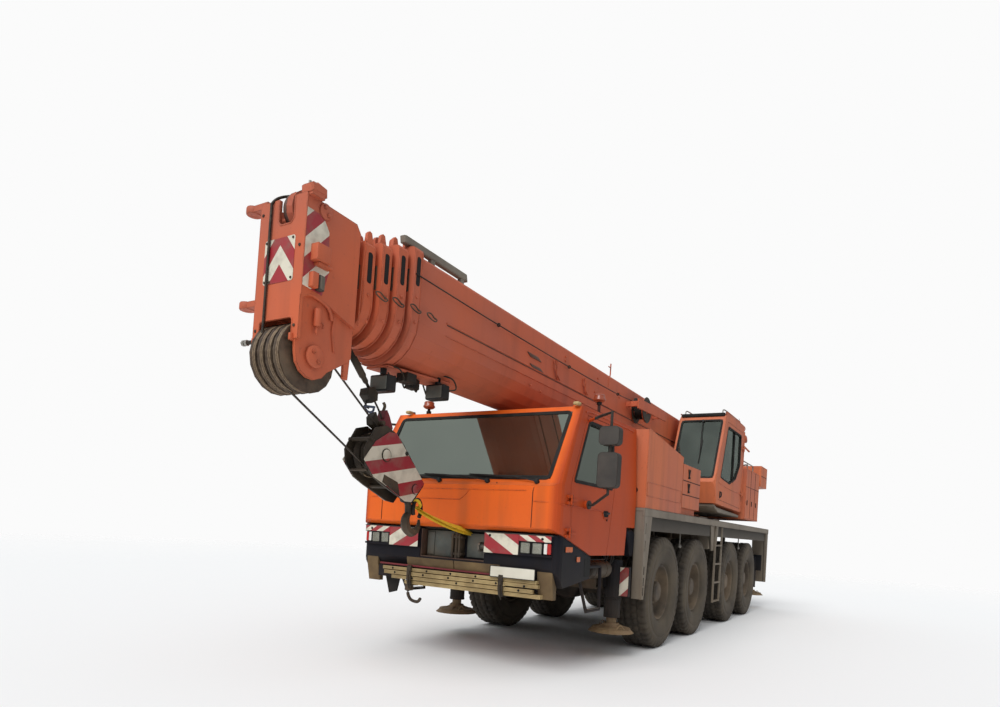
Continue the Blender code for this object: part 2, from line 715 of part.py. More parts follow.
def driver_cab(carrier, finishes):
    """Full-width cab shell with its screen, both doors and the seats inside it."""
    outer = cab_body()
    inner = narrowed(plate(shrunk(CAB_OUTLINE, CAB_WALL), -CAB_HALF + CAB_WALL, CAB_HALF - CAB_WALL))
    screen_cut = slanted_pane(SCREEN_LOW, SCREEN_HIGH, SCREEN_HALF + SEAT, 0.30)
    shell = cut(outer, inner, screen_cut)
    rear_window = block((CAB_REAR - 0.05, -0.55, 2.15), (CAB_REAR + 0.10, 0.55, 2.55))
    shell = cut(shell, rear_window)
    doors = {}
    for side, sign in (("left", 1), ("right", -1)):
        outer_y = sign * (CAB_HALF + 0.13)
        a, b = sorted((sign * DOOR_INNER, outer_y))
        inner_lip = plate(shrunk(DOOR_OUTLINE, GAP / 2), *sorted((sign * (DOOR_INNER + GAP), outer_y)))
        doors[side] = common(duplicate(shell), inner_lip)
        doors[side] = cut(doors[side], plate(list(DOOR_WINDOW), a, b))
        shell = cut(shell, plate(shrunk(DOOR_OUTLINE, -GAP / 2), a, b))
    beside, dash_top = SEAT_Y, CAB_WAIST - 0.09
    seats = [block((1.40, y - 0.24, 1.27), (1.92, y + 0.24, 1.62)) for y in (beside, -beside)]
    backs = [block((1.32, y - 0.22, 1.50), (1.46, y + 0.22, 2.25)) for y in (beside, -beside)]
    dash_half = CAB_HALF - 0.12
    dash = block((2.62, -dash_half, 1.50), (3.07, dash_half, dash_top))
    column = rod((2.75, beside, dash_top - 0.16), (2.45, beside, dash_top + 0.06), 0.03, 8)
    wheel = rod((2.46, beside, dash_top + 0.052), (2.43, beside, dash_top + 0.074), 0.23, 16)
    shell = joined(shell, *seats, *backs, dash, column, wheel)
    lugs, straps = [], {}
    for side, sign in (("left", 1), ("right", -1)):
        straps[side] = []
        for z in HINGE_HEIGHTS:
            fixed, moving = hinge(DOOR_HINGE[0], sign * DOOR_HINGE[1], sign * CAB_HALF, z, -1)
            lugs += fixed
            straps[side] += moving
    lamps = []
    for x, y, low, high, radius in ROOF_LAMPS:
        lamps.append(rod((x, y, CAB_ROOF - 0.03), (x, y, high - 0.01), 0.018, 8))
        lamps.append(rod((x, y, low), (x, y, high), radius, 12, radius * 0.75))
    place(joined(shell, *lugs, *lamps), "driver_cab_shell", finishes["orange"], carrier)
    pane = slanted_pane(SCREEN_LOW, SCREEN_HIGH, SCREEN_HALF - SEAT, PANE, inset=0.015)
    place(pane, "driver_cab_screen", finishes["glass"], carrier)
    for side, sign in (("left", 1), ("right", -1)):
        door = joined(doors[side], *straps[side], *mirror_arms(sign))
        place(door, f"driver_door_{side}", finishes["orange"], carrier,
              (DOOR_HINGE[0], sign * DOOR_HINGE[1], CAB_WAIST))


def bumper(carrier, finish):
    """Front bumper with its side wings, the lamp recesses, and a step loop under each wing."""
    side = [(3.06, 1.44), (3.00, 1.44), (2.27, 1.225), (2.27, 1.00), (2.92, 0.92), (3.06, 1.10)]
    body = common(plate(side, -CAB_HALF, CAB_HALF),
                  plate(round_plan(3.06, 2.27, CAB_HALF - 0.001, CAB_CORNER, 0.01), 0.8, 1.6, across="z"))
    inside = CAB_HALF - 0.07
    behind = block((2.0, -inside, 0.85), (2.90, inside, 1.60))
    recess = block((2.94, -0.42, 1.12), (3.20, 0.42, 1.60))
    body = cut(body, behind, recess)
    loops = []
    for sign in (1, -1):
        y = sign * (CAB_HALF - 0.035)
        loops.append(tube([(2.48, y, 1.02), (2.25, y, 0.64), (1.90, y, 0.64), (1.93, y, 1.12), (2.30, y, 1.12)],
                          0.02))
    lower = block((2.90, -1.02, 0.86), (3.04, 1.02, 0.99))
    boards = []
    inner, outer, low, high = LAMP_BOARD
    for sign in (1, -1):
        a, b = sorted((sign * inner, sign * outer))
        board = block((3.05, a, low), (BOARD_FACE, b, high))
        a, b = sorted((sign * (outer - 0.36), sign * (outer + 0.1)))
        pocket = block((3.065, a, low + 0.02), (BOARD_FACE + 0.1, b, high - 0.07))
        boards.append(cut(board, pocket))
    hangers = [block((2.905, y - 0.05, 0.95), (2.985, y + 0.05, 1.12)) for y in (0.6, -0.6)]
    place(joined(body, lower, *boards, *hangers, *loops), "front_bumper", finish, carrier)


def outriggers(carrier, finishes):
    """Four beams, each with its jack barrel at its outer end, and four jack legs with round pads."""
    ends = (("front", FRONT_BOX_X, FRONT_BOX_LOW), ("rear", REAR_BOX_X, REAR_BOX_LOW))
    for end, x, low in ends:
        for side, sign, lane in (("left", 1, -1), ("right", -1, 1)):
            middle = x + lane * BOX_LENGTH / 4
            floor = low + OUT_WALL + SEAT
            a, b = sorted((-sign * (BOX_HALF - 0.065), sign * JACK_Y))
            beam = block((middle - OUT_BEAM / 2, a, floor), (middle + OUT_BEAM / 2, b, floor + OUT_BEAM_HEIGHT))
            jack_top = JACK_LOW + JACK_HEIGHT
            barrel = rod((middle, sign * JACK_Y, JACK_LOW), (middle, sign * JACK_Y, jack_top), JACK_RADIUS, 16)
            guard = sorted((sign * (JACK_Y - 0.072), sign * (JACK_Y + 0.208)))
            board = block((middle - 0.03, guard[0], floor - 0.1), (middle + 0.03, guard[1], floor + 0.26))
            bore = rod((middle, sign * JACK_Y, JACK_LOW - 0.1), (middle, sign * JACK_Y, jack_top - 0.03),
                       LEG_RADIUS + 0.0015, 16)
            beam = cut(joined(beam, barrel, board), bore)
            place(beam, f"outrigger_beam_{end}_{side}", finishes["grey"], carrier, (middle, sign * JACK_Y, floor))
            leg = rod((middle, sign * JACK_Y, PAD_LOW + 0.01), (middle, sign * JACK_Y, jack_top - 0.03 - SEAT),
                      LEG_RADIUS, 16)
            pad = rod((middle, sign * JACK_Y, PAD_LOW), (middle, sign * JACK_Y, PAD_LOW + PAD_THICK),
                      PAD_RADIUS, 20, PAD_RADIUS * 0.8)
            place(joined(leg, pad), f"jack_leg_{end}_{side}", finishes["pad"], carrier,
                  (middle, sign * JACK_Y, PAD_LOW))


CRANE_CAB_OUTLINE = [(-2.83, 2.14), (-2.70, 2.50), (-3.28, 3.74), (-3.36, 3.80), (-4.84, 3.80), (-4.90, 3.72),
                     (-4.90, 2.09)]
CRANE_DOOR_OUTLINE = [(-3.00, 2.22), (-2.98, 2.52), (-3.46, 3.66), (-4.72, 3.66), (-4.78, 2.16)]
CRANE_DOOR_WINDOW = [(-3.10, 2.62), (-3.50, 3.58), (-4.62, 3.58), (-4.62, 3.00), (-4.30, 2.70), (-3.80, 2.56)]
CRANE_SCREEN_LOW = (-2.735, 2.57)
CRANE_SCREEN_HIGH = (-3.245, 3.67)
CRANE_DOOR_HINGE = (-4.81, CRANE_CAB_OUTER + 0.022)


def crane_cab(superstructure, finishes):
    """Narrow cab beside the boom: hollow shell, screen, seat and a door hinged at its rear edge."""
    middle = (CRANE_CAB_INNER + CRANE_CAB_OUTER) / 2
    half = (CRANE_CAB_OUTER - CRANE_CAB_INNER) / 2
    outer = plate(CRANE_CAB_OUTLINE, CRANE_CAB_INNER, CRANE_CAB_OUTER)
    plan = [(x, y + middle) for x, y in round_plan(-2.70, -4.90, half, 0.05, 0.05)]
    outer = common(outer, plate(plan, 2.0, 3.9, across="z"))
    rail = tube([(-3.55, CRANE_CAB_OUTER - 0.07, 3.78), (-3.62, CRANE_CAB_OUTER - 0.07, 3.88),
                 (-4.72, CRANE_CAB_OUTER - 0.07, 3.88), (-4.79, CRANE_CAB_OUTER - 0.07, 3.78)], 0.014)
    inner = plate(shrunk(CRANE_CAB_OUTLINE, CRANE_CAB_WALL), CRANE_CAB_INNER + CRANE_CAB_WALL,
                  CRANE_CAB_OUTER - CRANE_CAB_WALL)
    screen_half = half - 0.045
    screen_cut = slanted_pane(CRANE_SCREEN_LOW, CRANE_SCREEN_HIGH, screen_half + SEAT, 0.30, middle)
    shell = cut(outer, inner, screen_cut)
    side_window = plate([(-3.15, 2.75), (-3.52, 3.55), (-4.6, 3.55), (-4.6, 2.75)], CRANE_CAB_INNER - 0.05,
                        CRANE_CAB_INNER + 0.1)
    rear_window = block((-5.0, middle - 0.28, 2.9), (-4.8, middle + 0.28, 3.5))
    shell = cut(shell, side_window, rear_window)
    low, high = CRANE_CAB_OUTER - 0.06, CRANE_CAB_OUTER + 0.1
    door = common(duplicate(shell), plate(shrunk(CRANE_DOOR_OUTLINE, GAP / 2), low, high))
    door = cut(door, plate(CRANE_DOOR_WINDOW, low, high))
    shell = cut(shell, plate(shrunk(CRANE_DOOR_OUTLINE, -GAP / 2), low, high))
    seat = block((-4.45, middle - 0.22, 2.10), (-3.95, middle + 0.22, 2.62))
    back = block((-4.55, middle - 0.20, 2.5), (-4.42, middle + 0.20, 3.25))
    x, y = CRANE_DOOR_HINGE
    lugs, barrels = [], []
    for z in (2.45, 3.35):
        fixed, moving = hinge(x, y, CRANE_CAB_OUTER, z, 1)
        lugs += fixed
        barrels += moving
    foot = block((-4.80, CRANE_CAB_INNER + 0.02, BASE_TOP + SEAT), (-3.20, middle, 2.12))
    body = joined(shell, seat, back, foot, rail, *lugs)
    place(body, "crane_cab_shell", finishes["orange"], superstructure)
    pane = slanted_pane(CRANE_SCREEN_LOW, CRANE_SCREEN_HIGH, screen_half - SEAT, PANE, middle, 0.015)
    place(pane, "crane_cab_screen", finishes["glass"], superstructure)
    place(joined(door, *barrels), "crane_cab_door", finishes["orange"], superstructure, (x, y, 2.9))


def rear_beacon(superstructure, finish):
    """Warning lamp on a tube arm that stands out from the crane cab's rear wall."""
    y, wall = CRANE_CAB_OUTER - 0.06, -4.90 - SEAT
    arm = tube([(wall, y, 3.46), (-5.10, y, 3.46), (-5.72, y, 3.42)], 0.018)
    profile = [(0.0, 3.45), (0.02, 3.45), (0.02, 3.53), (0.065, 3.54), (0.065, 3.58), (0.05, 3.66), (0.0, 3.68)]
    lamp = moved(turned(profile, 12, closed=False), (-5.14, y, 0.0))
    place(joined(arm, lamp), "rear_beacon", finish, superstructure)


def turntable(superstructure, finish):
    """Turning frame: base plate on the ring, two cheeks that hold the boom, and the side housings."""
    ring = rod((SLEW_X, 0, RING_TOP + SEAT), (SLEW_X, 0, 2.0), RING_RADIUS - 0.04, 32)
    base = block((-6.45, -0.62, 1.99), (-3.15, 0.62, BASE_TOP))
    floor = block((-4.95, 0.30, 1.995), (-3.15, 0.95, BASE_TOP - 0.005))
    cheek = [(-3.25, 2.02), (-3.25, 2.34), (-4.30, 2.62), (-5.45, 3.40), (-5.70, 3.54), (-6.02, 3.54), (-6.30, 3.30),
             (-6.44, COUNTERWEIGHT_LOW - SEAT), (-7.30, COUNTERWEIGHT_LOW - SEAT), (-7.30, 2.64), (-6.98, 2.63),
             (-6.55, 2.05), (-6.35, 2.02)]
    left = plate(cheek, CHEEK_Y, CHEEK_Y + CHEEK)
    right = mirrored(left)
    left_housing = block((HOUSING_REAR, 0.42, HOUSING_LOW), (-4.97, HOUSING_HALF, HOUSING_TOP))
    right_housing = block((HOUSING_REAR, -HOUSING_HALF, HOUSING_LOW), (-3.60, -0.42, 2.70))
    pin = rod((BOOM_PIN[0], -0.44, BOOM_PIN[1]), (BOOM_PIN[0], 0.44, BOOM_PIN[1]), FOOT_PIN, ROUND)
    x, z = LUFF_BASE
    lugs = []
    for sign in (1, -1):
        a, b = sorted((sign * 0.15, sign * 0.20))
        ear = [(x - 0.22, 2.02), (x - 0.13, z + 0.09)] + arc((x, z), 0.15, 140, 40, 4) + [(x + 0.22, 2.02)]
        lugs.append(plate(ear, a, b))
    luff_pin = rod((x, -0.19, z), (x, 0.19, z), EYE_PIN, 16)
    body = joined(base, floor, ring, left, right, left_housing, right_housing, pin, *lugs, luff_pin)
    place(body, "turntable", finish, superstructure)


def winch(superstructure, finish):
    """Hoist winch drum between the cheeks, behind the boom's foot."""
    half = CHEEK_Y - SEAT
    profile = [(0.0, -half), (0.20, -half), (0.20, -half + 0.03), (0.14, -half + 0.03), (0.14, half - 0.03),
               (0.20, half - 0.03), (0.20, half), (0.0, half)]
    drum = turned(profile, ROUND - 4, closed=False)
    drum = moved(drum, (-6.66, 0, 2.44), Matrix.Rotation(math.radians(90), 4, "X"))
    place(drum, "winch_drum", finish, superstructure)


def counterweight(superstructure, finish):
    """Cast slab across the tail, with its lower edges and rear corners taken off."""
    front, rear = COUNTERWEIGHT_FRONT, COUNTERWEIGHT_REAR
    half = HOUSING_HALF
    plan = [(front, -half), (front, half), (rear + 0.20, half), (rear, half - 0.30), (rear, -half + 0.30),
            (rear + 0.20, -half)]
    slab = plate(plan, COUNTERWEIGHT_LOW, COUNTERWEIGHT_TOP, across="z")
    slab = cut(slab, block((rear - 0.2, -0.55, COUNTERWEIGHT_TOP - 0.12), (rear + 0.25, 0.55, COUNTERWEIGHT_TOP + 0.1)))
    place(slab, "counterweight", finish, superstructure)


def section_outline(half, up, middle):
    """Box above and half-round below: the boom's cross section as (y, v)."""
    corner = 0.03
    top = arc((half - corner, up - corner), corner, 0, 90, 2) + arc((-half + corner, up - corner), corner, 90, 180, 2)
    return top + arc((0.0, middle), half, 180, 360, 10)


def section_size(number):
    """Half width and upper height of a section: 0 is the base, 4 the innermost."""
    return BOOM_HALF - number * BOOM_STEP, BOOM_UP - number * BOOM_STEP


def section_tube(number, back, front):
    """A hollow length of one section, with slide pads in its mouth against the next section."""
    half, up = section_size(number)
    wall = BOOM_WALL
    body = plate([section_outline(half, up, BOOM_ROUND), section_outline(half - wall, up - wall, BOOM_ROUND)],
                 back, front, across="x")
    return body


def collar(number, back, front):
    """The thick ring round a section's mouth: proud outside, and down to the next section inside."""
    half, up = section_size(number)
    next_half, next_up = section_size(number + 1)
    outer = section_outline(half + COLLAR_RISE, up + COLLAR_RISE, BOOM_ROUND)
    inner = section_outline(next_half + SEAT * 2, next_up + SEAT * 2, BOOM_ROUND)
    ring = plate([outer, inner], back, front, across="x")
    middle, top = (back + front) / 2, up + COLLAR_RISE
    fin = [(middle - 0.03, top - 0.02), (middle + 0.03, top - 0.02)] + arc((middle, top + 0.055), 0.03, 0, 180, 4)
    fins = [plate(fin, y - 0.015, y + 0.015) for y in (half - 0.10, 0.10 - half)]
    return joined(ring, *fins)


def boom(superstructure, finishes):
    """Base section, three telescopic sections and the innermost one with the boom head."""
    foot = pivot("boom_foot", superstructure, (BOOM_PIN[0], 0, BOOM_PIN[1]), (0, -BOOM_TILT, 0))
    base = section_tube(0, BOOM_BACK, BOOM_FRONT)
    ring = collar(0, BOOM_FRONT - COLLAR_LENGTH, BOOM_FRONT + 0.004)
    bosses = [rod((0, sign * (BOOM_HALF - 0.012), 0), (0, sign * (CHEEK_Y - SEAT), 0), FOOT_RADIUS, ROUND)
              for sign in (1, -1)]
    u, v = LUFF_EYE_U, LUFF_EYE_V
    ear = [(u - 0.32, -0.42), (u - 0.10, v - 0.06)] + arc((u, v), 0.11, 220, 320, 4) + [(u + 0.10, v - 0.06),
                                                                                  (u + 0.32, -0.42)]
    ears = [plate(ear, *sorted((sign * 0.12, sign * 0.165))) for sign in (1, -1)]
    bore = rod((0, -0.5, 0), (0, 0.5, 0), FOOT_PIN + 0.0012, ROUND)
    body = cut(joined(base, ring, *bosses), bore)
    body = joined(body, *ears, *cable_reel())
    place(body, "boom_base", finishes["orange"], foot)
    mouth = BOOM_FRONT
    for number in range(1, SECTION_COUNT):
        mouth += COLLAR_PITCH
        half, up = section_size(number)
        body = section_tube(number, 0.45 + 0.06 * number, mouth)
        ring = collar(number, mouth - COLLAR_LENGTH, mouth + 0.004)
        place(joined(body, ring), f"boom_section_{number}", finishes["orange"], foot)
    boom_head(foot, mouth, finishes)


def cable_reel():
    """Cable drum beside the base section, held by a bracket that runs along the boom's left side."""
    side = BOOM_HALF
    profile = [(0.0, side - 0.012), (REEL_RADIUS, side - 0.012), (REEL_RADIUS, side + 0.02), (REEL_CORE, side + 0.03),
               (REEL_CORE, side + 0.17), (REEL_RADIUS, side + 0.18), (REEL_RADIUS, side + 0.205),
               (0.0, side + 0.205)]
    drum = turned(profile, 16, closed=False)
    drum = moved(drum, (REEL[0], 0.0, REEL[1]), Matrix.Rotation(math.radians(-90), 4, "X"))
    rail = plate([(REEL[0] - 0.92, 0.16), (REEL[0] + 0.42, 0.12), (REEL[0] + 0.42, 0.27), (REEL[0] - 0.92, 0.31)],
                 side + 0.20, side + 0.225)
    posts = [block((u, side - 0.012, v), (u + 0.05, side + 0.21, v + 0.08))
             for u, v in ((REEL[0] - 0.90, 0.20), (REEL[0] + 0.34, 0.16))]
    return [drum, rail, *posts]


def boom_head(foot, mouth, finishes):
    """Innermost section with the head: cheeks, a face with two openings, the top rope wheel and lugs."""
    number = SECTION_COUNT
    body = section_tube(number, 0.45 + 0.06 * number, mouth + 0.10)
    back = mouth + 0.045
    low_pin, top_pin = HEAD_LOW_PIN, (11.205, 0.445)
    front = HEAD_FRONT
    side = [(back, 0.42), (back + 0.06, 0.485), (front - 0.002, 0.495), (front - 0.002, -0.58)]
    side += arc(low_pin, 0.17, 0, -150, 6) + [(back + 0.03, -0.64), (back, -0.60)]
    upper = [(back + 0.012, 0.41), (back + 0.06, 0.47), (front - 0.004, 0.48), (front - 0.004, -0.29),
             (front - 0.10, -0.24), (front - 0.24, -0.26), (back + 0.10, -0.34), (back + 0.012, -0.36)]
    pieces = []
    for sign in (1, -1):
        pieces.append(plate(side, *sorted((sign * (HEAD_INNER - 0.001), sign * (HEAD_INNER + 0.03)))))
        pieces.append(plate(upper, *sorted((sign * (HEAD_INNER + 0.02), sign * HEAD_HALF))))
        pieces.append(rod((top_pin[0], sign * (HEAD_HALF - 0.01), top_pin[1] - 0.03),
                          (top_pin[0], sign * (HEAD_HALF + 0.01), top_pin[1] - 0.03), 0.06, 12))
        pieces.append(rod((low_pin[0], sign * (HEAD_INNER + 0.02), low_pin[1]),
                          (low_pin[0], sign * (HEAD_INNER + 0.045), low_pin[1]), 0.07, 12))
    face = plate([(-0.255, 0.49), (-0.255, -0.60), (-0.185, -0.60), (-0.185, -0.46), (-0.155, -0.43),
                  (0.155, -0.43), (0.185, -0.46), (0.185, -0.60), (0.255, -0.60), (0.255, 0.49),
                  (0.13, 0.49), (0.13, 0.32), (0.10, 0.285), (-0.02, 0.285), (-0.05, 0.32), (-0.05, 0.49)],
                 front - 0.03, front, across="x")
    rear = plate([section_outline(HEAD_INNER + 0.02, 0.40, BOOM_ROUND - 0.03),
                  section_outline(0.15, 0.27, BOOM_ROUND)], back + 0.001, back + 0.03, across="x")
    shelf = block((back + 0.02, -HEAD_INNER - 0.01, 0.20), (front - 0.02, HEAD_INNER + 0.01, 0.225))
    floor = block((back + 0.02, -HEAD_INNER - 0.01, -0.37), (front - 0.02, HEAD_INNER + 0.01, -0.345))
    top_wheel = sheave(top_pin, 0.04, 0.165)
    top_axle = rod((top_pin[0], -HEAD_INNER - 0.01, top_pin[1] - 0.03),
                   (top_pin[0], HEAD_INNER + 0.01, top_pin[1] - 0.03), 0.035, 12)
    lugs = [block((front - 0.13, 0.19, 0.47), (front - 0.01, 0.30, 0.56))]
    for v in (0.475, -0.29):
        lugs.append(block((front - 0.105, -0.43, v), (front - 0.025, -0.22, v + 0.05)))
        lugs.append(rod((front - 0.065, -0.43, v - 0.002), (front - 0.065, -0.43, v + 0.052), 0.05, 12))
    hangers = [plate([(back + 0.002, -0.50), (back + 0.08, -0.50), (back + 0.07, -0.78), (back + 0.02, -0.78)],
                     *sorted((sign * (HEAD_INNER + 0.004), sign * (HEAD_INNER + 0.028)))) for sign in (1, -1)]
    place(joined(body, *pieces, face, rear, shelf, floor, top_axle, top_wheel, *lugs, *hangers), "boom_head_section",
          finishes["orange"], foot)
    place(sheave_pack(low_pin, 4, HEAD_INNER - 0.001 - SEAT, HEAD_SHEAVE), "head_sheaves", finishes["iron"], foot)


def sheave(centre, y, radius, half=0.035):
    """One grooved rope wheel about an axis along Y."""
    profile = [(0.0, -half), (radius, -half), (radius - 0.03, 0.0), (radius, half), (0.0, half)]
    wheel = turned(profile, 18, closed=False)
    return moved(wheel, (centre[0], y, centre[1]), Matrix.Rotation(math.radians(90), 4, "X"))


def sheave_pack(centre, count, half, radius, sides=18):
    """Grooved rope wheels side by side on one pin along Y, turned as one profile."""
    profile = [(0.0, -half), (0.05, -half)]
    pitch = SHEAVE_PITCH
    for i in range(count):
        middle = (i - (count - 1) / 2) * pitch
        for r, y in ((0.12, -0.46), (radius, -0.40), (radius - 0.035, 0.0), (radius, 0.40), (0.12, 0.46)):
            profile.append((r, middle + y * pitch))
    profile += [(0.05, half), (0.0, half)]
    pack = turned(profile, sides, closed=False)
    return moved(pack, (centre[0], 0, centre[1]), Matrix.Rotation(math.radians(90), 4, "X"))


def luff_cylinder(superstructure, finishes):
    """Luffing cylinder under the boom: barrel on the turntable, rod up to the boom's eye."""
    foot = Vector((BOOM_PIN[0], 0, BOOM_PIN[1]))
    turn = Matrix.Rotation(-BOOM_TILT, 4, "Y")
    eye = foot + turn @ Vector((LUFF_EYE_U, 0, LUFF_EYE_V))
    base = Vector((LUFF_BASE[0], 0, LUFF_BASE[1]))
    run = (eye - base).normalized()
    across = Vector((0, 1, 0))
    barrel_end = eye - run * LUFF_BARE
    barrel = rod(base + run * 0.10, barrel_end, LUFF_RADIUS, ROUND)
    half = 0.15 - SEAT
    eye_end = rod(base - across * half, base + across * half, EYE_RADIUS, 16)
    bore = rod(base + run * 0.35, barrel_end + run * 0.1, LUFF_ROD + 0.002, ROUND)
    hole = rod(base - across * 0.3, base + across * 0.3, EYE_PIN + 0.0015, 16)
    barrel = cut(joined(barrel, eye_end), bore, hole)
    place(barrel, "luff_barrel", finishes["dark"], superstructure, base)
    half = 0.12 - SEAT
    shaft = rod(base + run * 0.36, eye - run * 0.05, LUFF_ROD, ROUND)
    rod_end = rod(eye - across * half, eye + across * half, EYE_RADIUS - 0.015, 16)
    place(joined(shaft, rod_end), "luff_rod", finishes["steel"], superstructure, eye)


def hook_gear(superstructure, finishes):
    """Hook block drawn back towards the bumper, with the rope that runs round its wheels, and its hook.

    The block's frame has its origin on the head's lower pin, and -Z runs down the rope.
    """
    foot = Vector((BOOM_PIN[0], 0, BOOM_PIN[1]))
    turn = Matrix.Rotation(-BOOM_TILT, 4, "Y")
    head = foot + turn @ Vector((HEAD_LOW_PIN[0], 0, HEAD_LOW_PIN[1]))
    swing = pivot("hook_swing", superstructure, head, (0, math.radians(HOOK_DRAW), 0))
    wheel_z, trunnion_z = -BLOCK_REACH, -BLOCK_REACH - 0.51
    groove = BLOCK_SHEAVE - 0.0203
    start = HEAD_SHEAVE - 0.0212
    path = [(start, ROPE_LANE, 0.0), (start * 0.5 + groove * 0.5, ROPE_LANE, wheel_z / 2)]
    path += [(x, ROPE_LANE, z) for x, z in arc((0.0, wheel_z), groove, 0, -180, 12)]
    path += [(-start * 0.5 - groove * 0.5, ROPE_LANE, wheel_z / 2), (-start, ROPE_LANE, 0.0)]
    place(tube(path, 0.009), "rope_falls", finishes["iron"], swing)

    cheek = [(-0.12, 0.24), (0.12, 0.24), (0.22, 0.15), (0.25, 0.0), (0.235, -0.13), (0.17, -0.47), (0.13, -0.56),
             (-0.11, -0.60), (-0.16, -0.47), (-0.235, -0.13), (-0.25, 0.0), (-0.22, 0.15)]
    cheek = [(x, wheel_z + z) for x, z in cheek]
    cheeks = [plate(cheek, *sorted((sign * BLOCK_INNER, sign * BLOCK_OUTER))) for sign in (1, -1)]
    half = BLOCK_INNER + 0.01
    pack = sheave_pack((0.0, wheel_z), 2, half, BLOCK_SHEAVE, 16)
    ties = [rod((x, -half, wheel_z + z), (x, half, wheel_z + z), radius, 12)
            for x, z, radius in ((0.0, 0.225, 0.02), (0.0, -0.51, 0.055), (0.19, -0.21, 0.02), (-0.19, -0.21, 0.02))]
    pins = [rod((0, -BLOCK_OUTER - 0.015, wheel_z + z), (0, BLOCK_OUTER + 0.015, wheel_z + z), radius, 12)
            for z, radius in ((0.0, 0.06), (-0.51, 0.05))]
    place(joined(cheeks[0], cheeks[1], pack, *ties, *pins), "hook_block", finishes["dark"], swing)

    trunnion = pivot("hook_trunnion", swing, (0, 0, trunnion_z), (0, math.radians(HOOK_TILT - HOOK_DRAW), 0))
    collar_top = -0.055 - SEAT
    bowl = (0.0, -0.34)
    shank = rod((0, 0, collar_top), (0, 0, collar_top - 0.06), 0.055, 12)
    points = [(0.0, -0.10), (0.0, -0.17)] + arc(bowl, 0.105, 75, -170, 14)
    radii = [0.034, 0.034] + [0.034 + 0.014 * math.sin(math.pi * min(1.0, i / 11)) - 0.022 * max(0, i - 10) / 4
                              for i in range(15)]
    hook = tube([(x, 0, z) for x, z in points], radii)
    place(joined(shank, hook), "crane_hook", finishes["iron"], trunnion)


def main():
    clear_scene()
    global PARTS
    PARTS = collection("mobile_crane")
    finishes = {
        "orange": material("orange_paint", (0.80, 0.14, 0.02), 0.45),
        "grey": material("deck_paint", (0.19, 0.17, 0.14), 0.6),
        "frame": material("frame_paint", (0.10, 0.09, 0.08), 0.7),
        "blue": material("bumper_paint", (0.02, 0.03, 0.06), 0.45),
        "dark": material("black_paint", (0.03, 0.028, 0.026), 0.5),
        "iron": material("greased_iron", (0.07, 0.055, 0.045), 0.6, 0.3),
        "steel": material("chromed_rod", (0.6, 0.6, 0.62), 0.2, 1.0),
        "wheel": material("dusty_rim", (0.13, 0.11, 0.09), 0.7),
        "rubber": material("dusty_rubber", (0.09, 0.08, 0.065), 0.85),
        "pad": material("pad_paint", (0.25, 0.19, 0.12), 0.7),
        "glass": material("tinted_glass", (0.20, 0.26, 0.22), 0.05),
    }
    carrier = pivot("carrier", None, (ORIGIN_X, 0, 0))
    superstructure = pivot("superstructure", carrier, (0, 0, 0))
    wheels(carrier, finishes)
    axles(carrier, finishes["iron"])
    chassis_frame(carrier, finishes["frame"])
    deck(carrier, finishes["grey"])
    engine_block(carrier, finishes["iron"])
    engine_covers(carrier, finishes["orange"])
    driver_cab(carrier, finishes)
    bumper(carrier, finishes["blue"])
    outriggers(carrier, finishes)
    turntable(superstructure, finishes["orange"])
    crane_cab(superstructure, finishes)
    rear_beacon(superstructure, finishes["orange"])
    winch(superstructure, finishes["iron"])
    counterweight(superstructure, finishes["orange"])
    boom(superstructure, finishes)
    luff_cylinder(superstructure, finishes)
    hook_gear(superstructure, finishes)


main()
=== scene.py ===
"""Looks of a four-axle mobile crane: paint, rubber, glass and the small parts on its solids.

Lengths are in metres. X points forward, Y to the vehicle's left and Z up, with the ground at
Z = 0. Places along X are counted from the first axle and ahead(x) moves them into the frame.
"""
import json
import math

import bmesh
import bpy
import numpy as np
from mathutils import Matrix, Vector


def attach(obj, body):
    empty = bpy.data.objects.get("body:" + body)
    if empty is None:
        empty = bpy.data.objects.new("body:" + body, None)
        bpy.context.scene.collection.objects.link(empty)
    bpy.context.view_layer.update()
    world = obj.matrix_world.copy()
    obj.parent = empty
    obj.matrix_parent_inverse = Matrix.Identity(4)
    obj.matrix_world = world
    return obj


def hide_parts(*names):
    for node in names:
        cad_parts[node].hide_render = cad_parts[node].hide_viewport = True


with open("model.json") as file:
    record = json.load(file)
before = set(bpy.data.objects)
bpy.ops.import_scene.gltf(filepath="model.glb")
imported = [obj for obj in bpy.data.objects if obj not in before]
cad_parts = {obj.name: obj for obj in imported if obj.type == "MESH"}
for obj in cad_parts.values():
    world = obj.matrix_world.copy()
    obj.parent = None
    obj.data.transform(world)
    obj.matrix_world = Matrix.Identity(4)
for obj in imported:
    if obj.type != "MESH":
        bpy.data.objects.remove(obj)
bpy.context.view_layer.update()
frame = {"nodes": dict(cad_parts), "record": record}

FIRST_AXLE = 1.0807
AXLES = (0.0, -1.65, -4.00, -5.65)
TYRE_RADIUS = 0.745
TYRE_Y = 1.16
BOOM_PIN = (-5.898, 3.261)
BOOM_TILT = math.radians(0.6)
BOOM_HALF = 0.36
BOOM_UP = 0.475
BOOM_ROUND = -0.11
BOOM_STEP = 0.042
BOOM_FRONT = 10.30
HEAD_FRONT = 11.386
BOTH_SIDES = (("left", 1), ("right", -1))


def ahead(points):
    """Points counted from the first axle, moved into the frame: x grows by the axle's place."""
    moved = np.array(points, float)
    moved[..., 0] += FIRST_AXLE
    return moved


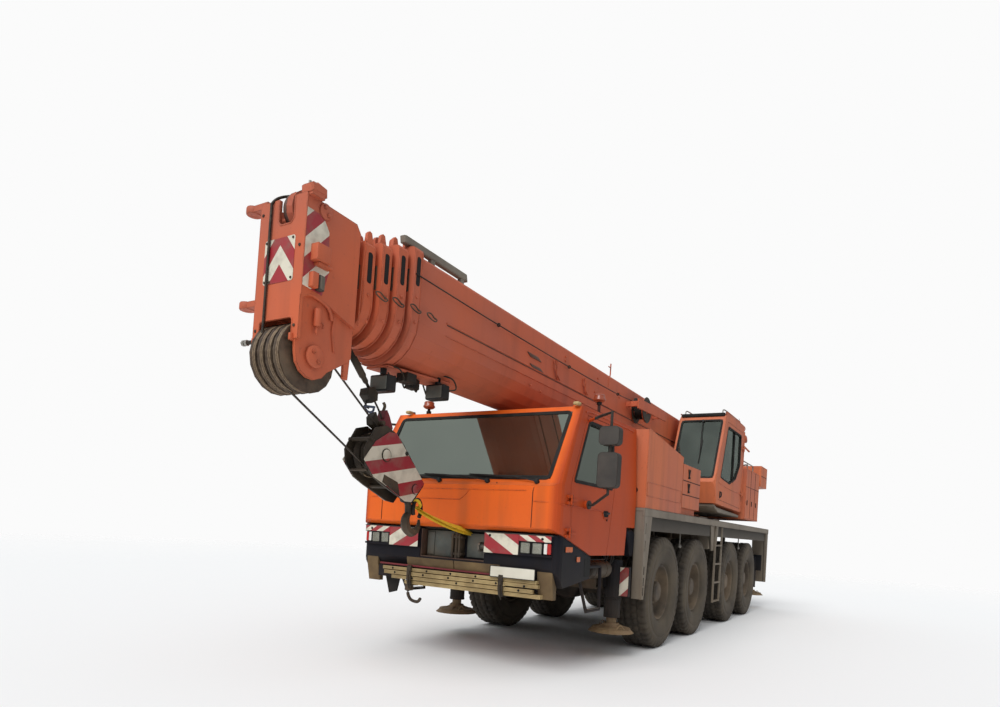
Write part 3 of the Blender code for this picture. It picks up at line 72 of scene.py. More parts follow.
def linear(code, alpha=1.0):
    """A '#rrggbb' sRGB colour as linear RGBA: each channel by the sRGB curve."""
    channels = np.array([int(code[i:i + 2], 16) for i in (1, 3, 5)]) / 255.0
    curve = np.where(channels <= 0.04045, channels / 12.92, ((channels + 0.055) / 1.055) ** 2.4)
    return (*(float(c) for c in curve), alpha)


# Surfaces

def grid_quads(rows, columns, wrap_rows=False, wrap_columns=False):
    """Quads of a rows x columns grid of points, joined end to end where it wraps."""
    i = np.arange(rows if wrap_rows else rows - 1)[:, None]
    j = np.arange(columns if wrap_columns else columns - 1)[None, :]
    a, b = i * columns + j, i * columns + (j + 1) % columns
    c, d = ((i + 1) % rows) * columns + (j + 1) % columns, ((i + 1) % rows) * columns + j
    return [tuple(q) for q in np.stack([a, b, c, d], -1).reshape(-1, 4).tolist()]


def surface(points, wrap_rows=False, wrap_columns=False, caps=False):
    """A grid of points (rows, columns, 3) as (vertices, faces); caps close the first and last rows."""
    points = np.asarray(points, float)
    rows, columns = points.shape[:2]
    faces = grid_quads(rows, columns, wrap_rows, wrap_columns)
    if caps:
        faces.append(tuple(range(columns))[::-1])
        faces.append(tuple((rows - 1) * columns + k for k in range(columns)))
    return points.reshape(-1, 3), faces


def together(*shapes):
    """Several (vertices, faces) shapes as one, faces counted on."""
    vertices, faces, count = [], [], 0
    for points, quads in shapes:
        vertices.append(points)
        faces += [tuple(v + count for v in face) for face in quads]
        count += len(points)
    return np.concatenate(vertices), faces


def whole(shape):
    """A shape as it is, or a list of shapes as one."""
    return together(*shape) if isinstance(shape, list) else shape


def piece(name, shape, finish, body, smooth=40.0, uv=None):
    """A shape, or a list of them, as a closed mesh with outward faces, riding on a body in its finish.

    Edges sharper than smooth, in degrees, stay sharp. uv gives each point's pattern coordinates.
    """
    points, faces = whole(shape)
    mesh = bpy.data.meshes.new(name)
    mesh.from_pydata(ahead(points).tolist(), [], faces)
    cleaner = bmesh.new()
    cleaner.from_mesh(mesh)
    if uv is None:
        bmesh.ops.remove_doubles(cleaner, verts=cleaner.verts, dist=1e-6)
    bmesh.ops.recalc_face_normals(cleaner, faces=cleaner.faces)
    cleaner.to_mesh(mesh)
    cleaner.free()
    mesh.polygons.foreach_set("use_smooth", np.ones(len(mesh.polygons), bool))
    mesh.set_sharp_from_angle(angle=math.radians(smooth))
    mesh.materials.append(finish)
    if uv is not None:
        corner = np.empty(len(mesh.loops), int)
        mesh.loops.foreach_get("vertex_index", corner)
        layer = mesh.uv_layers.new(name="pattern")
        layer.data.foreach_set("uv", np.asarray(uv, float)[corner].ravel())
    obj = bpy.data.objects.new(name, mesh)
    bpy.context.scene.collection.objects.link(obj)
    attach(obj, body)
    return obj


def turned(profile, centre, axis, sides=32, start=0.0, sweep=math.tau):
    """A profile of (radius, distance along the axis) turned about that axis through centre.

    Each point is centre + distance * axis + radius * (cos a * side + sin a * up).
    """
    profile, centre = np.asarray(profile, float), np.asarray(centre, float)
    axis = np.asarray(axis, float) / np.linalg.norm(axis)
    guide = np.array([0.0, 0.0, 1.0]) if abs(axis[2]) < 0.9 else np.array([1.0, 0.0, 0.0])
    side = np.cross(guide, axis)
    side /= np.linalg.norm(side)
    up = np.cross(axis, side)
    full = abs(sweep - math.tau) < 1e-6
    angle = start + np.linspace(0.0, sweep, sides, endpoint=not full)[:, None, None]
    radius, reach = profile[None, :, :1], profile[None, :, 1:]
    points = centre + reach * axis + radius * (np.cos(angle) * side + np.sin(angle) * up)
    return surface(points, wrap_rows=full)


def carried(path, profile, guide=(0, 0, 1), closed=False, scale=None):
    """A flat profile (a, b) carried along a path.

    At each path point it stands square to the path: a runs along guide x tangent, b along
    tangent x (guide x tangent). Where the path runs along the guide, a runs along tangent x a
    turned guide instead. scale grows or shrinks the profile point by point.
    """
    path, profile, guide = np.asarray(path, float), np.asarray(profile, float), np.asarray(guide, float)
    if closed:
        tangent = np.roll(path, -1, 0) - np.roll(path, 1, 0)
    else:
        tangent = np.gradient(path, axis=0)
    tangent /= np.linalg.norm(tangent, axis=1, keepdims=True)
    side = np.cross(guide, tangent)
    length = np.linalg.norm(side, axis=1, keepdims=True)
    spare = np.cross(tangent, np.roll(guide, 1))
    side = np.where(length < 1e-6, spare, side)
    side /= np.linalg.norm(side, axis=1, keepdims=True)
    up = np.cross(tangent, side)
    size = np.ones(len(path)) if scale is None else np.asarray(scale, float)
    spread = profile[None] * size[:, None, None]
    points = path[:, None] + spread[..., :1] * side[:, None] + spread[..., 1:] * up[:, None]
    return surface(points, wrap_rows=closed, wrap_columns=True, caps=not closed)


def circle(radius, count=12):
    """Points (radius cos a, radius sin a) on a circle."""
    angle = np.linspace(0.0, math.tau, count, endpoint=False)
    return np.stack([radius * np.cos(angle), radius * np.sin(angle)], -1)


def smooth_path(points, count):
    """A cubic curve with free ends, worked out from the points at even steps (Catmull-Rom)."""
    points = np.asarray(points, float)
    ends = np.concatenate([[2 * points[0] - points[1]], points, [2 * points[-1] - points[-2]]])
    t = np.linspace(0.0, len(points) - 1 - 1e-9, count)
    k, f = t.astype(int), (t % 1.0)[:, None]
    a, b, c, d = ends[k], ends[k + 1], ends[k + 2], ends[k + 3]
    return 0.5 * (2 * b + (c - a) * f + (2 * a - 5 * b + 4 * c - d) * f ** 2
                  + (3 * b - a - 3 * c + d) * f ** 3)


def bar(points, radius, sides=10, guide=(0, 0, 1), bends=0):
    """A round bar along points, through a smooth path where bends gives its count of points."""
    path = smooth_path(points, bends) if bends else np.asarray(points, float)
    return carried(path, circle(radius, sides), guide)


def slab(outline, low, high, across="y", edge=0.004):
    """A flat outline given thickness, with its rims broken by a small chamfer.

    The outline is carried through four levels: inset by edge at low and high, full between.
    The inset moves each corner along the half angle of its two edges.
    """
    outline = np.asarray(outline, float)
    back, ahead_of = np.roll(outline, 1, 0), np.roll(outline, -1, 0)
    area = np.sum(outline[:, 0] * ahead_of[:, 1] - ahead_of[:, 0] * outline[:, 1])
    one, two = outline - back, ahead_of - outline
    one /= np.linalg.norm(one, axis=1, keepdims=True)
    two /= np.linalg.norm(two, axis=1, keepdims=True)
    inward = np.stack([-(one + two)[:, 1], (one + two)[:, 0]], -1) * np.sign(area)
    inward /= np.maximum(np.linalg.norm(inward, axis=1, keepdims=True), 1e-9)
    normal = np.stack([-one[:, 1], one[:, 0]], -1) * np.sign(area)
    reach = edge / np.maximum(np.sum(inward * normal, 1, keepdims=True), 0.35)
    inset = outline + inward * reach
    levels = [(inset, low), (outline, low + edge), (outline, high - edge), (inset, high)]
    order = {"x": (2, 0, 1), "y": (0, 2, 1), "z": (0, 1, 2)}[across]
    rows = [np.column_stack([flat, np.full(len(flat), level)])[:, order] for flat, level in levels]
    return surface(np.stack(rows), wrap_columns=True, caps=True)


def rounded_box(low, high, radius=0.01, steps=3):
    """A box with round edges: a sphere of that radius pulled apart to the box's inner corners.

    Direction (a, e) gives the point middle + sign(direction) * (half - radius) + radius * direction.
    """
    low, high = np.asarray(low, float), np.asarray(high, float)
    half = (high - low) / 2
    radius = min(radius, *(half * 0.98))
    quarter = np.linspace(0.0, math.pi / 2, steps + 1)
    turn = np.concatenate([quarter + k * math.pi / 2 for k in range(4)])
    side = np.repeat([[1, 1], [-1, 1], [-1, -1], [1, -1]], steps + 1, 0)
    rise = np.concatenate([quarter - math.pi / 2, quarter])
    level = np.repeat([-1, 1], steps + 1)
    a, e = turn[None, :], rise[:, None]
    direction = np.stack([np.cos(e) * np.cos(a), np.cos(e) * np.sin(a), np.sin(e) + 0 * a], -1)
    sign = np.stack([side[None, :, 0] + 0 * e, side[None, :, 1] + 0 * e, level[:, None] + 0 * a], -1)
    points = (low + high) / 2 + sign * (half - radius) + radius * direction
    return surface(points, wrap_columns=True, caps=True)


def boomed(points):
    """Points (u, y, v) in the boom's own frame as (x, y, z): u along the tilted boom, v square to it."""
    points = np.asarray(points, float)
    u, y, v = points[..., 0], points[..., 1], points[..., 2]
    c, s = math.cos(BOOM_TILT), math.sin(BOOM_TILT)
    return np.stack([BOOM_PIN[0] + u * c - v * s, y, BOOM_PIN[1] + u * s + v * c], -1)


def on_boom(shape):
    """A shape, or a list of them, worked out in (u, y, v) and set in its place along the boom."""
    points, faces = whole(shape)
    return boomed(points), faces


# Finishes

def add_node(tree, kind, inputs=None, **settings):
    """Add a node, set it up, and give its sockets values or links from other nodes' sockets."""
    node = tree.nodes.new(kind)
    for name, value in settings.items():
        setattr(node, name, value)
    for key, value in (inputs or {}).items():
        if isinstance(value, bpy.types.NodeSocket):
            tree.links.new(value, node.inputs[key])
        else:
            node.inputs[key].default_value = value
    return node


def new_finish(name):
    """An empty node material with its shader and output: (material, tree, shader)."""
    finish = bpy.data.materials.new(name)
    finish.use_nodes = True
    tree = finish.node_tree
    return finish, tree, tree.nodes["Principled BSDF"]


def noise(tree, place, scale, detail=4.0, stretch=(1.0, 1.0, 1.0)):
    """Noise of so many lumps a metre over the piece, stretched along the axes."""
    mapped = add_node(tree, "ShaderNodeMapping", {"Vector": place, "Scale": stretch})
    return add_node(tree, "ShaderNodeTexNoise", {"Vector": mapped.outputs[0], "Scale": scale,
                                                 "Detail": detail}).outputs["Fac"]


def ramp(tree, value, low, high, bottom=0.0, top=1.0):
    """The value taken from low..high to bottom..top, held at both ends."""
    return add_node(tree, "ShaderNodeMapRange", {"Value": value, "From Min": low, "From Max": high,
                                                 "To Min": bottom, "To Max": top}).outputs[0]


def blend(tree, share, one, two):
    """Colour one with two mixed over it by share; colours are hex codes or sockets."""
    node = tree.nodes.new("ShaderNodeMix")
    node.data_type = "RGBA"
    for socket, value in ((node.inputs[0], share), (node.inputs[6], one), (node.inputs[7], two)):
        if isinstance(value, bpy.types.NodeSocket):
            tree.links.new(value, socket)
        else:
            socket.default_value = linear(value) if isinstance(value, str) else value
    return node.outputs[2]


def sums(tree, operation, one, two=0.0):
    """One arithmetic step on two values, by the name of its operation."""
    return add_node(tree, "ShaderNodeMath", {0: one, 1: two}, operation=operation).outputs[0]


def times(tree, *values):
    """Product of the values."""
    total = values[0]
    for value in values[1:]:
        total = sums(tree, "MULTIPLY", total, value)
    return total


def most(tree, one, two):
    """The larger of two values."""
    return sums(tree, "MAXIMUM", one, two)


def edge_wear(tree, width):
    """Share of rubbed edge: how far the rounded normal leaves the flat one within that width."""
    rounded = add_node(tree, "ShaderNodeBevel", {"Radius": width}, samples=3)
    flat = add_node(tree, "ShaderNodeNewGeometry")
    dot = add_node(tree, "ShaderNodeVectorMath", {0: rounded.outputs[0], 1: flat.outputs["Normal"]},
                   operation="DOT_PRODUCT")
    return rounded.outputs[0], ramp(tree, dot.outputs["Value"], 0.985, 0.93)


def spot(tree):
    """The place over the piece, and its x, y and z."""
    place = add_node(tree, "ShaderNodeTexCoord").outputs["Object"]
    return place, add_node(tree, "ShaderNodeSeparateXYZ", {0: place}).outputs


def painted(finish, share, colour, roughness=None):
    """Lay a colour over what the finish has, by share."""
    tree = finish.node_tree
    shader = tree.nodes["Principled BSDF"]
    under = shader.inputs["Base Color"].links[0].from_socket
    tree.links.new(blend(tree, share, under, colour), shader.inputs["Base Color"])
    if roughness is not None and shader.inputs["Roughness"].links:
        was = shader.inputs["Roughness"].links[0].from_socket
        tree.links.new(sums(tree, "ADD", times(tree, was, sums(tree, "SUBTRACT", 1.0, share)),
                            times(tree, share, roughness)), shader.inputs["Roughness"])


def vehicle_paint(name, fresh, faded, grime, roughness=0.42, dust=0.5, wear=0.6, low=0.5, high=1.7,
                  settled=0.55, soil="#7d6b55"):
    """Two-pack enamel sprayed on steel, years in the sun: broad fading, rain streaks, road dust that
    thickens towards the wheels and lies on flat tops, and edges rubbed down to a dark primer."""
    finish, tree, shader = new_finish(name)
    place, (_, _, height) = spot(tree)
    cloud = noise(tree, place, 0.9, 5.0)
    colour = blend(tree, ramp(tree, cloud, 0.38, 0.66), fresh, faded)
    streak = noise(tree, place, 5.0, 4.0, (1.0, 1.0, 0.08))
    colour = blend(tree, ramp(tree, streak, 0.50, 0.78, 0.0, 0.45), colour, grime)
    spots = noise(tree, place, 28.0, 3.0)
    colour = blend(tree, ramp(tree, spots, 0.64, 0.74, 0.0, 0.5 * wear), colour, grime)
    normal, rubbed = edge_wear(tree, 0.010)
    patchy = ramp(tree, noise(tree, place, 9.0, 5.0), 0.44, 0.60)
    colour = blend(tree, times(tree, rubbed, patchy, wear), colour, "#4a2a1c")
    near_ground = ramp(tree, height, high, low)
    drift = ramp(tree, noise(tree, place, 3.0, 6.0), 0.25, 0.70, 0.35, 1.0)
    upward = add_node(tree, "ShaderNodeSeparateXYZ",
                      {0: add_node(tree, "ShaderNodeNewGeometry").outputs["Normal"]}).outputs["Z"]
    lying = times(tree, ramp(tree, upward, 0.55, 0.95), drift, settled)
    share = most(tree, times(tree, near_ground, drift, dust), lying)
    colour = blend(tree, share, colour, soil)
    tree.links.new(colour, shader.inputs["Base Color"])
    gloss = ramp(tree, most(tree, share, times(tree, cloud, 0.5)), 0.0, 1.0, roughness, 0.85)
    tree.links.new(gloss, shader.inputs["Roughness"])
    bump = add_node(tree, "ShaderNodeBump", {"Height": noise(tree, place, 2.2, 2.0), "Strength": 0.10,
                                             "Distance": 0.02, "Normal": normal})
    tree.links.new(bump.outputs[0], shader.inputs["Normal"])
    return finish


def dusty_steel(name, base, light, dust="#7d6b55", roughness=0.75, metallic=0.0, amount=0.55, scale=6.0):
    """Rolled or cast steel under road dirt and old grease: mottled, matt, with dust in its hollows."""
    finish, tree, shader = new_finish(name)
    place, _ = spot(tree)
    mottle = noise(tree, place, scale, 6.0)
    colour = blend(tree, ramp(tree, mottle, 0.35, 0.68), base, light)
    drift = ramp(tree, noise(tree, place, scale * 0.35, 5.0), 0.38, 0.66, 0.0, amount)
    colour = blend(tree, drift, colour, dust)
    normal, rubbed = edge_wear(tree, 0.006)
    colour = blend(tree, times(tree, rubbed, 0.35), colour, light)
    tree.links.new(colour, shader.inputs["Base Color"])
    shader.inputs["Roughness"].default_value = roughness
    shader.inputs["Metallic"].default_value = metallic
    bump = add_node(tree, "ShaderNodeBump", {"Height": noise(tree, place, scale * 8, 3.0), "Strength": 0.25,
                                             "Distance": 0.004, "Normal": normal})
    tree.links.new(bump.outputs[0], shader.inputs["Normal"])
    return finish


def moulded(name, base, light, roughness=0.6, grain=220.0, coat=0.0):
    """Moulded plastic or rubber: even colour with a fine grain, a little faded in patches."""
    finish, tree, shader = new_finish(name)
    place, _ = spot(tree)
    colour = blend(tree, ramp(tree, noise(tree, place, 5.0, 5.0), 0.35, 0.70), base, light)
    tree.links.new(colour, shader.inputs["Base Color"])
    shader.inputs["Roughness"].default_value = roughness
    shader.inputs["Coat Weight"].default_value = coat
    bump = add_node(tree, "ShaderNodeBump", {"Height": noise(tree, place, grain, 2.0), "Strength": 0.15,
                                             "Distance": 0.001})
    tree.links.new(bump.outputs[0], shader.inputs["Normal"])
    return finish


def tinted_glass(name, tint, dirt, sky, low_film=0.06, high_film=0.30, bend=1.6):
    """Laminated safety glass with a factory tint: see-through, a mirror at grazing angles, dusty film."""
    finish, tree, shader = new_finish(name)
    tree.nodes.remove(shader)
    place, _ = spot(tree)
    film = add_node(tree, "ShaderNodeBsdfDiffuse", {"Color": linear(dirt)})
    see = add_node(tree, "ShaderNodeBsdfTransparent", {"Color": linear(tint)})
    share = ramp(tree, noise(tree, place, 2.5, 6.0), 0.35, 0.75, low_film, high_film)
    through = add_node(tree, "ShaderNodeMixShader", {0: share, 1: see.outputs[0], 2: film.outputs[0]})
    gloss = add_node(tree, "ShaderNodeFresnel", {"IOR": bend})
    mirror = add_node(tree, "ShaderNodeBsdfGlossy", {"Roughness": 0.03, "Color": linear(sky)})
    both = add_node(tree, "ShaderNodeMixShader", {0: gloss.outputs[0], 1: through.outputs[0],
                                                  2: mirror.outputs[0]})
    tree.links.new(both.outputs[0], tree.nodes["Material Output"].inputs["Surface"])
    return finish


def striped(name, turn, pitch, start=0.0, dark="#a02c33", pale="#ddd6c2", centre=None, ratio=0.5):
    """Retroreflective sheet on a plate, in two colours: stripes square to the direction turn, so long
    to the pair, scuffed and a little dirty. centre folds y about that line, for arrows."""
    finish, tree, shader = new_finish(name)
    place, axes = spot(tree)
    across = axes["Y"]
    if centre is not None:
        across = sums(tree, "ABSOLUTE", sums(tree, "SUBTRACT", axes["Y"], centre))
    run = sums(tree, "ADD", times(tree, across, turn[1]), sums(tree, "ADD", times(tree, axes["X"], turn[0]),
                                                               times(tree, axes["Z"], turn[2])))
    wave = sums(tree, "FRACT", sums(tree, "DIVIDE", sums(tree, "ADD", run, start + 100.0 * pitch), pitch))
    band = sums(tree, "GREATER_THAN", wave, ratio)
    colour = blend(tree, band, dark, pale)
    dirt = ramp(tree, noise(tree, place, 9.0, 6.0), 0.45, 0.72, 0.0, 0.45)
    colour = blend(tree, dirt, colour, "#75695a")
    tree.links.new(colour, shader.inputs["Base Color"])
    shader.inputs["Roughness"].default_value = 0.38
    bump = add_node(tree, "ShaderNodeBump", {"Height": noise(tree, place, 300.0, 1.0), "Strength": 0.1,
                                             "Distance": 0.001})
    tree.links.new(bump.outputs[0], shader.inputs["Normal"])
    return finish


# Enamel over primed steel sheet: semi-gloss where wiped, chalky where the sun has had it.
ORANGE = vehicle_paint("weathered_orange_enamel", "#cb6f47", "#bc6b51", "#86523c", low=0.4, high=1.5)
CAB_ORANGE = vehicle_paint("cab_orange_enamel", "#e8671e", "#dd5f20", "#9f5128", roughness=0.33, low=0.8,
                           high=1.9, dust=0.15)
BOOM_ORANGE = vehicle_paint("boom_orange_enamel", "#c9633f", "#b9634a", "#8f4f3a", roughness=0.42, dust=0.0,
                            settled=0.35)
# Near-black enamel on the outrigger beams: semi-gloss where rain has washed it, dusty low down.
OUTRIGGER_PAINT = vehicle_paint("outrigger_dark_enamel", "#14171d", "#1a1d23", "#221f1b", roughness=0.5,
                                dust=0.25, wear=0.4, low=0.2, high=1.3, settled=0.5)
# Grey deck enamel walked on for years: scuffed, dusty and oily.
DECK_PAINT = vehicle_paint("deck_grey_enamel", "#857c6f", "#766d61", "#544a3e", roughness=0.65, dust=0.7,
                           low=0.4, high=2.2, settled=0.7)
# Chassis black under years of road dirt.
FRAME_PAINT = dusty_steel("chassis_black_paint", "#2b2723", "#443b32")
# Castings under old grease: dark, half matt, with dust stuck to them.
IRON = dusty_steel("greased_cast_iron", "#2a2420", "#463a30", metallic=0.2, roughness=0.6)
# Cast rope wheels with dry rust and grease in their grooves.
ROPE_IRON = dusty_steel("rope_wheel_iron", "#33271f", "#5c4a3b", metallic=0.2, roughness=0.55, scale=14.0)
# Black enamel on brackets and hooks: dull, with dust in patches.
BLACK = dusty_steel("black_chassis_enamel", "#191715", "#282420", roughness=0.5, amount=0.3)
# Very dark blue enamel of the bumper, semi-gloss and a little dusty.
BLUE = vehicle_paint("bumper_blue_enamel", "#0a0e1a", "#0f131d", "#15130f", roughness=0.4, dust=0.15,
                     wear=0.3, low=0.7, high=1.5, settled=0.12)
# Grey rim paint under a full coat of road dust.
WHEEL = dusty_steel("rim_paint_under_dust", "#3d352c", "#564b3e", amount=0.8)
# Primer and dried mud on the jacks' pads.
PAD = dusty_steel("jack_pad_primer", "#7a6144", "#8f7654", amount=0.6)
# Hard chrome on a ground rod: mirror bright with a thin oil film.
CHROME = dusty_steel("hard_chrome_rod", "#b9bbbd", "#d0d2d4", roughness=0.2, metallic=1.0, amount=0.08)
# Float glass tinted green in the melt, darker in the windscreen. Its index is raised past glass's own
# 1.52, so that it mirrors the sky as strongly as in the photograph.
GLASS = tinted_glass("green_tinted_glass", "#9cc0b0", "#8f9b90", "#e6f0e2", 0.05, 0.18, bend=1.95)
DARK_GLASS = tinted_glass("windscreen_glass", "#869286", "#9aa392", "#e2ebda", 0.02, 0.07, bend=3.5)
# Clear pressed glass of a lamp's lens.
LAMP_GLASS = tinted_glass("lamp_lens_glass", "#f2f2ee", "#e3dfd4", "#f7f8f6", 0.03, 0.10, 1.5)
# Extruded glazing rubber, dull with age.
TRIM = moulded("glazing_rubber", "#191817", "#2c2a27", roughness=0.7)
# Plastic moulded in black and in grey, with a fine grain that kills its gloss.
BLACK_PLASTIC = moulded("black_moulded_plastic", "#1b1a19", "#2a2826", roughness=0.5)
GREY_PLASTIC = moulded("grey_moulded_plastic", "#33302c", "#443f39", roughness=0.6)
# Not a finish: the unlit dark of a gap or a recess.
SHADOW = moulded("unlit_gap", "#0e0d0c", "#171513", roughness=0.9)
# Coloured lens plastic over a lamp.
AMBER = moulded("amber_lens", "#c65b1e", "#d8742b", roughness=0.15, coat=0.6)
BEACON = moulded("beacon_lens", "#8a3f26", "#a04e30", roughness=0.3, coat=0.3)
RED_LENS = moulded("red_lens", "#a01c1c", "#b92a22", roughness=0.2, coat=0.5)
WHITE_LENS = moulded("clear_ribbed_lens", "#d9d8cf", "#ecebe4", roughness=0.12, coat=0.8)
# Silver behind float glass, and vacuum-coated lamp bowls.
MIRROR = dusty_steel("mirror_silvering", "#c9cdd0", "#d9dcde", roughness=0.06, metallic=1.0, amount=0.12)
LAMP_BOWL = dusty_steel("bright_lamp_bowl", "#dedcd6", "#f4f3ee", roughness=0.25, metallic=0.45,
                        amount=0.08, scale=20.0)
# Steel worn bright by use, dull between the rubs.
BARE_STEEL = dusty_steel("worn_bare_steel", "#6e6a64", "#8c8880", roughness=0.45, metallic=0.7, amount=0.4)
# Zinc dipped steel, grey and weathered.
GALVANISED = dusty_steel("galvanised_steel", "#8d8b84", "#a8a69f", roughness=0.5, metallic=0.6, amount=0.3)
# Grey-green plate enamel, matt and dusty.
GREEN_GREY = dusty_steel("grey_green_plate_paint", "#3f4644", "#525a56", roughness=0.55, amount=0.5)
# Dark red enamel on the rope wedge and the plates beside it.
CARGO_RED = vehicle_paint("wedge_red_enamel", "#7d2029", "#6d1d24", "#43171a", dust=0.0, settled=0.3)
# Brown enamel of covers, faded under dust; also used for the painted shadow lines under the boom's side
# mouldings.
BROWN_COVER = dusty_steel("cover_paint_brown", "#4a322a", "#5c4236", roughness=0.6, amount=0.4)
# Sand-coloured board paint on wooden planks, scuffed and soiled.
SAND = dusty_steel("sand_painted_board", "#a38a5c", "#c0a876", dust="#6e5b3e", roughness=0.7, amount=0.5,
                   scale=8.0)
# The same board paint where boots and oil have soiled it.
SAND_DARK = dusty_steel("dirty_sand_paint", "#5f4a2e", "#7a6340", dust="#4c3d2a", roughness=0.8, amount=0.6)
# Off-white baked enamel of a plate, or paper.
PLATE_WHITE = moulded("plain_plate_enamel", "#cfc9b6", "#ddd8c8", roughness=0.4)
# Woven polyester webbing, matt, with soil in the weave.
SLING_YELLOW = dusty_steel("polyester_webbing", "#dcb31a", "#edcb36", dust="#8d7a2d", roughness=0.85,
                           amount=0.2, scale=30.0)
# Blue enamel on a forged shackle, worn to the steel.
BLUE_STEEL = vehicle_paint("shackle_blue_enamel", "#3f4d63", "#53617a", "#3c3a38", dust=0.0, settled=0.2)
# Cotton work cloth: matt, with a fine weave drawn coarser than it is, to show.
RED_CLOTH = moulded("red_work_cloth", "#7a1516", "#95221f", roughness=0.95, grain=300.0)
# Woven seat cloth, matt and dark.
UPHOLSTERY = moulded("woven_seat_cloth", "#332e2a", "#453f39", roughness=0.95, grain=300.0)
# Wire rope, laid and greased: dark with bright worn crowns.
WIRE = dusty_steel("greased_wire_rope", "#241f1c", "#3f3730", roughness=0.5, metallic=0.5, amount=0.2,
                   scale=60.0)
# The same rope dry and dusty, with rust in its lay.
OLD_WIRE = dusty_steel("dry_wire_rope", "#6a5846", "#8f7b63", roughness=0.6, metallic=0.4, amount=0.3,
                       scale=40.0)

# Retroreflective warning sheet, red and off-white, each with the pitch and slant of its own plate.
BOARD_WIDE = striped("front_board_wide_stripes", (0.0, 1.0, 1.7), 0.46, -0.33, centre=0.0, ratio=0.52)
BOARD_NARROW = striped("front_board_narrow_stripes", (0.0, 1.0, 1.7), 0.19, 0.055, centre=0.0, ratio=0.5)
GUARD_STRIPES = striped("jack_guard_stripes", (0.0, -1.0, 1.0), 0.30, 0.0, dark="#8f2a2c", pale="#d5cdb9",
                        centre=0.0)
HEAD_CHEVRONS = striped("head_plate_chevrons", (0.0, -1.25, -1.0), 0.29, 0.175, centre=0.0)
CHEEK_STRIPES = striped("head_cheek_stripes", (1.1, 0.0, 1.0), 0.30, 0.05)
BLOCK_STRIPES = striped("block_plate_stripes", (0.21, 0.0, 1.0), 0.246, 0.150, dark="#8f1f2b",
                        pale="#c9bfac")


# Chalked and dusty enamel mirrors less than new paint does: share of the usual reflection.
for finish, level in ((CAB_ORANGE, 0.25), (BOOM_ORANGE, 0.30), (ORANGE, 0.30), (BLUE, 0.12),
                      (OUTRIGGER_PAINT, 0.12), (BLACK, 0.20), (BLACK_PLASTIC, 0.25), (TRIM, 0.20),
                      (FRAME_PAINT, 0.2), (IRON, 0.3)):
    finish.node_tree.nodes["Principled BSDF"].inputs["Specular IOR Level"].default_value = level


def cab_finish():
    """Cab enamel outside, with painted shade on the flanks: deeper red, as in the photograph's shade;
    inside the walls and behind the screen the dark trim; on the mirrors and their arms, out beyond
    the doors, and on the roof lamps, grey and black plastic. The inside is where |y| is under the
    skin, which leans in by 0.053 a metre above the waist, and x is behind the nose, which leans back
    by 0.5595 a metre."""
    tree = CAB_ORANGE.node_tree
    _, axes = spot(tree)
    away = sums(tree, "ABSOLUTE", axes["Y"])
    waist, floor, ceiling, lamp_foot = 1.95, 1.262, 2.775, 2.822
    wall, mirror, back, front = 1.236, 1.306, 0.98 + FIRST_AXLE, 3.035 + FIRST_AXLE
    above = most(tree, sums(tree, "SUBTRACT", axes["Z"], waist), 0.0)
    skin = sums(tree, "SUBTRACT", wall, times(tree, above, 0.053))
    between = sums(tree, "LESS_THAN", away, skin)
    nose = sums(tree, "SUBTRACT", front, times(tree, above, 0.5595))
    behind = sums(tree, "LESS_THAN", axes["X"], nose)
    before = sums(tree, "GREATER_THAN", axes["X"], back)
    under = sums(tree, "LESS_THAN", axes["Z"], ceiling)
    over = sums(tree, "GREATER_THAN", axes["Z"], floor)
    inside = times(tree, between, behind, before, times(tree, under, over))
    painted(CAB_ORANGE, inside, "#37312c", 0.8)
    # Painted shade: the flanks, from 1.15 m out from the middle, are turned deeper red.
    flank = ramp(tree, away, 1.15, 1.225, 0.0, 0.72)
    painted(CAB_ORANGE, flank, "#9e3312")
    outside = sums(tree, "GREATER_THAN", away, mirror)
    painted(CAB_ORANGE, outside, "#3a3530", 0.6)
    lamps = sums(tree, "GREATER_THAN", axes["Z"], lamp_foot)
    painted(CAB_ORANGE, lamps, "#3a2420", 0.6)


def deck_finish():
    """Deck enamel with painted shade on the recessed side panels under the band: darker, most at the top.
    """
    tree = DECK_PAINT.node_tree
    _, axes = spot(tree)
    away = sums(tree, "ABSOLUTE", axes["Y"])
    # Painted shade: the recessed side panels under the band are darkened, more towards their top.
    recess = times(tree, sums(tree, "GREATER_THAN", away, 1.30), sums(tree, "LESS_THAN", away, 1.3265),
                   sums(tree, "LESS_THAN", axes["Z"], 1.82), sums(tree, "LESS_THAN", axes["X"], 0.70
                                                                  + FIRST_AXLE))
    fade = ramp(tree, axes["Z"], 1.56, 1.74, 0.75, 1.0)
    painted(DECK_PAINT, times(tree, recess, fade), "#3a352e", 0.8)


# Wheels

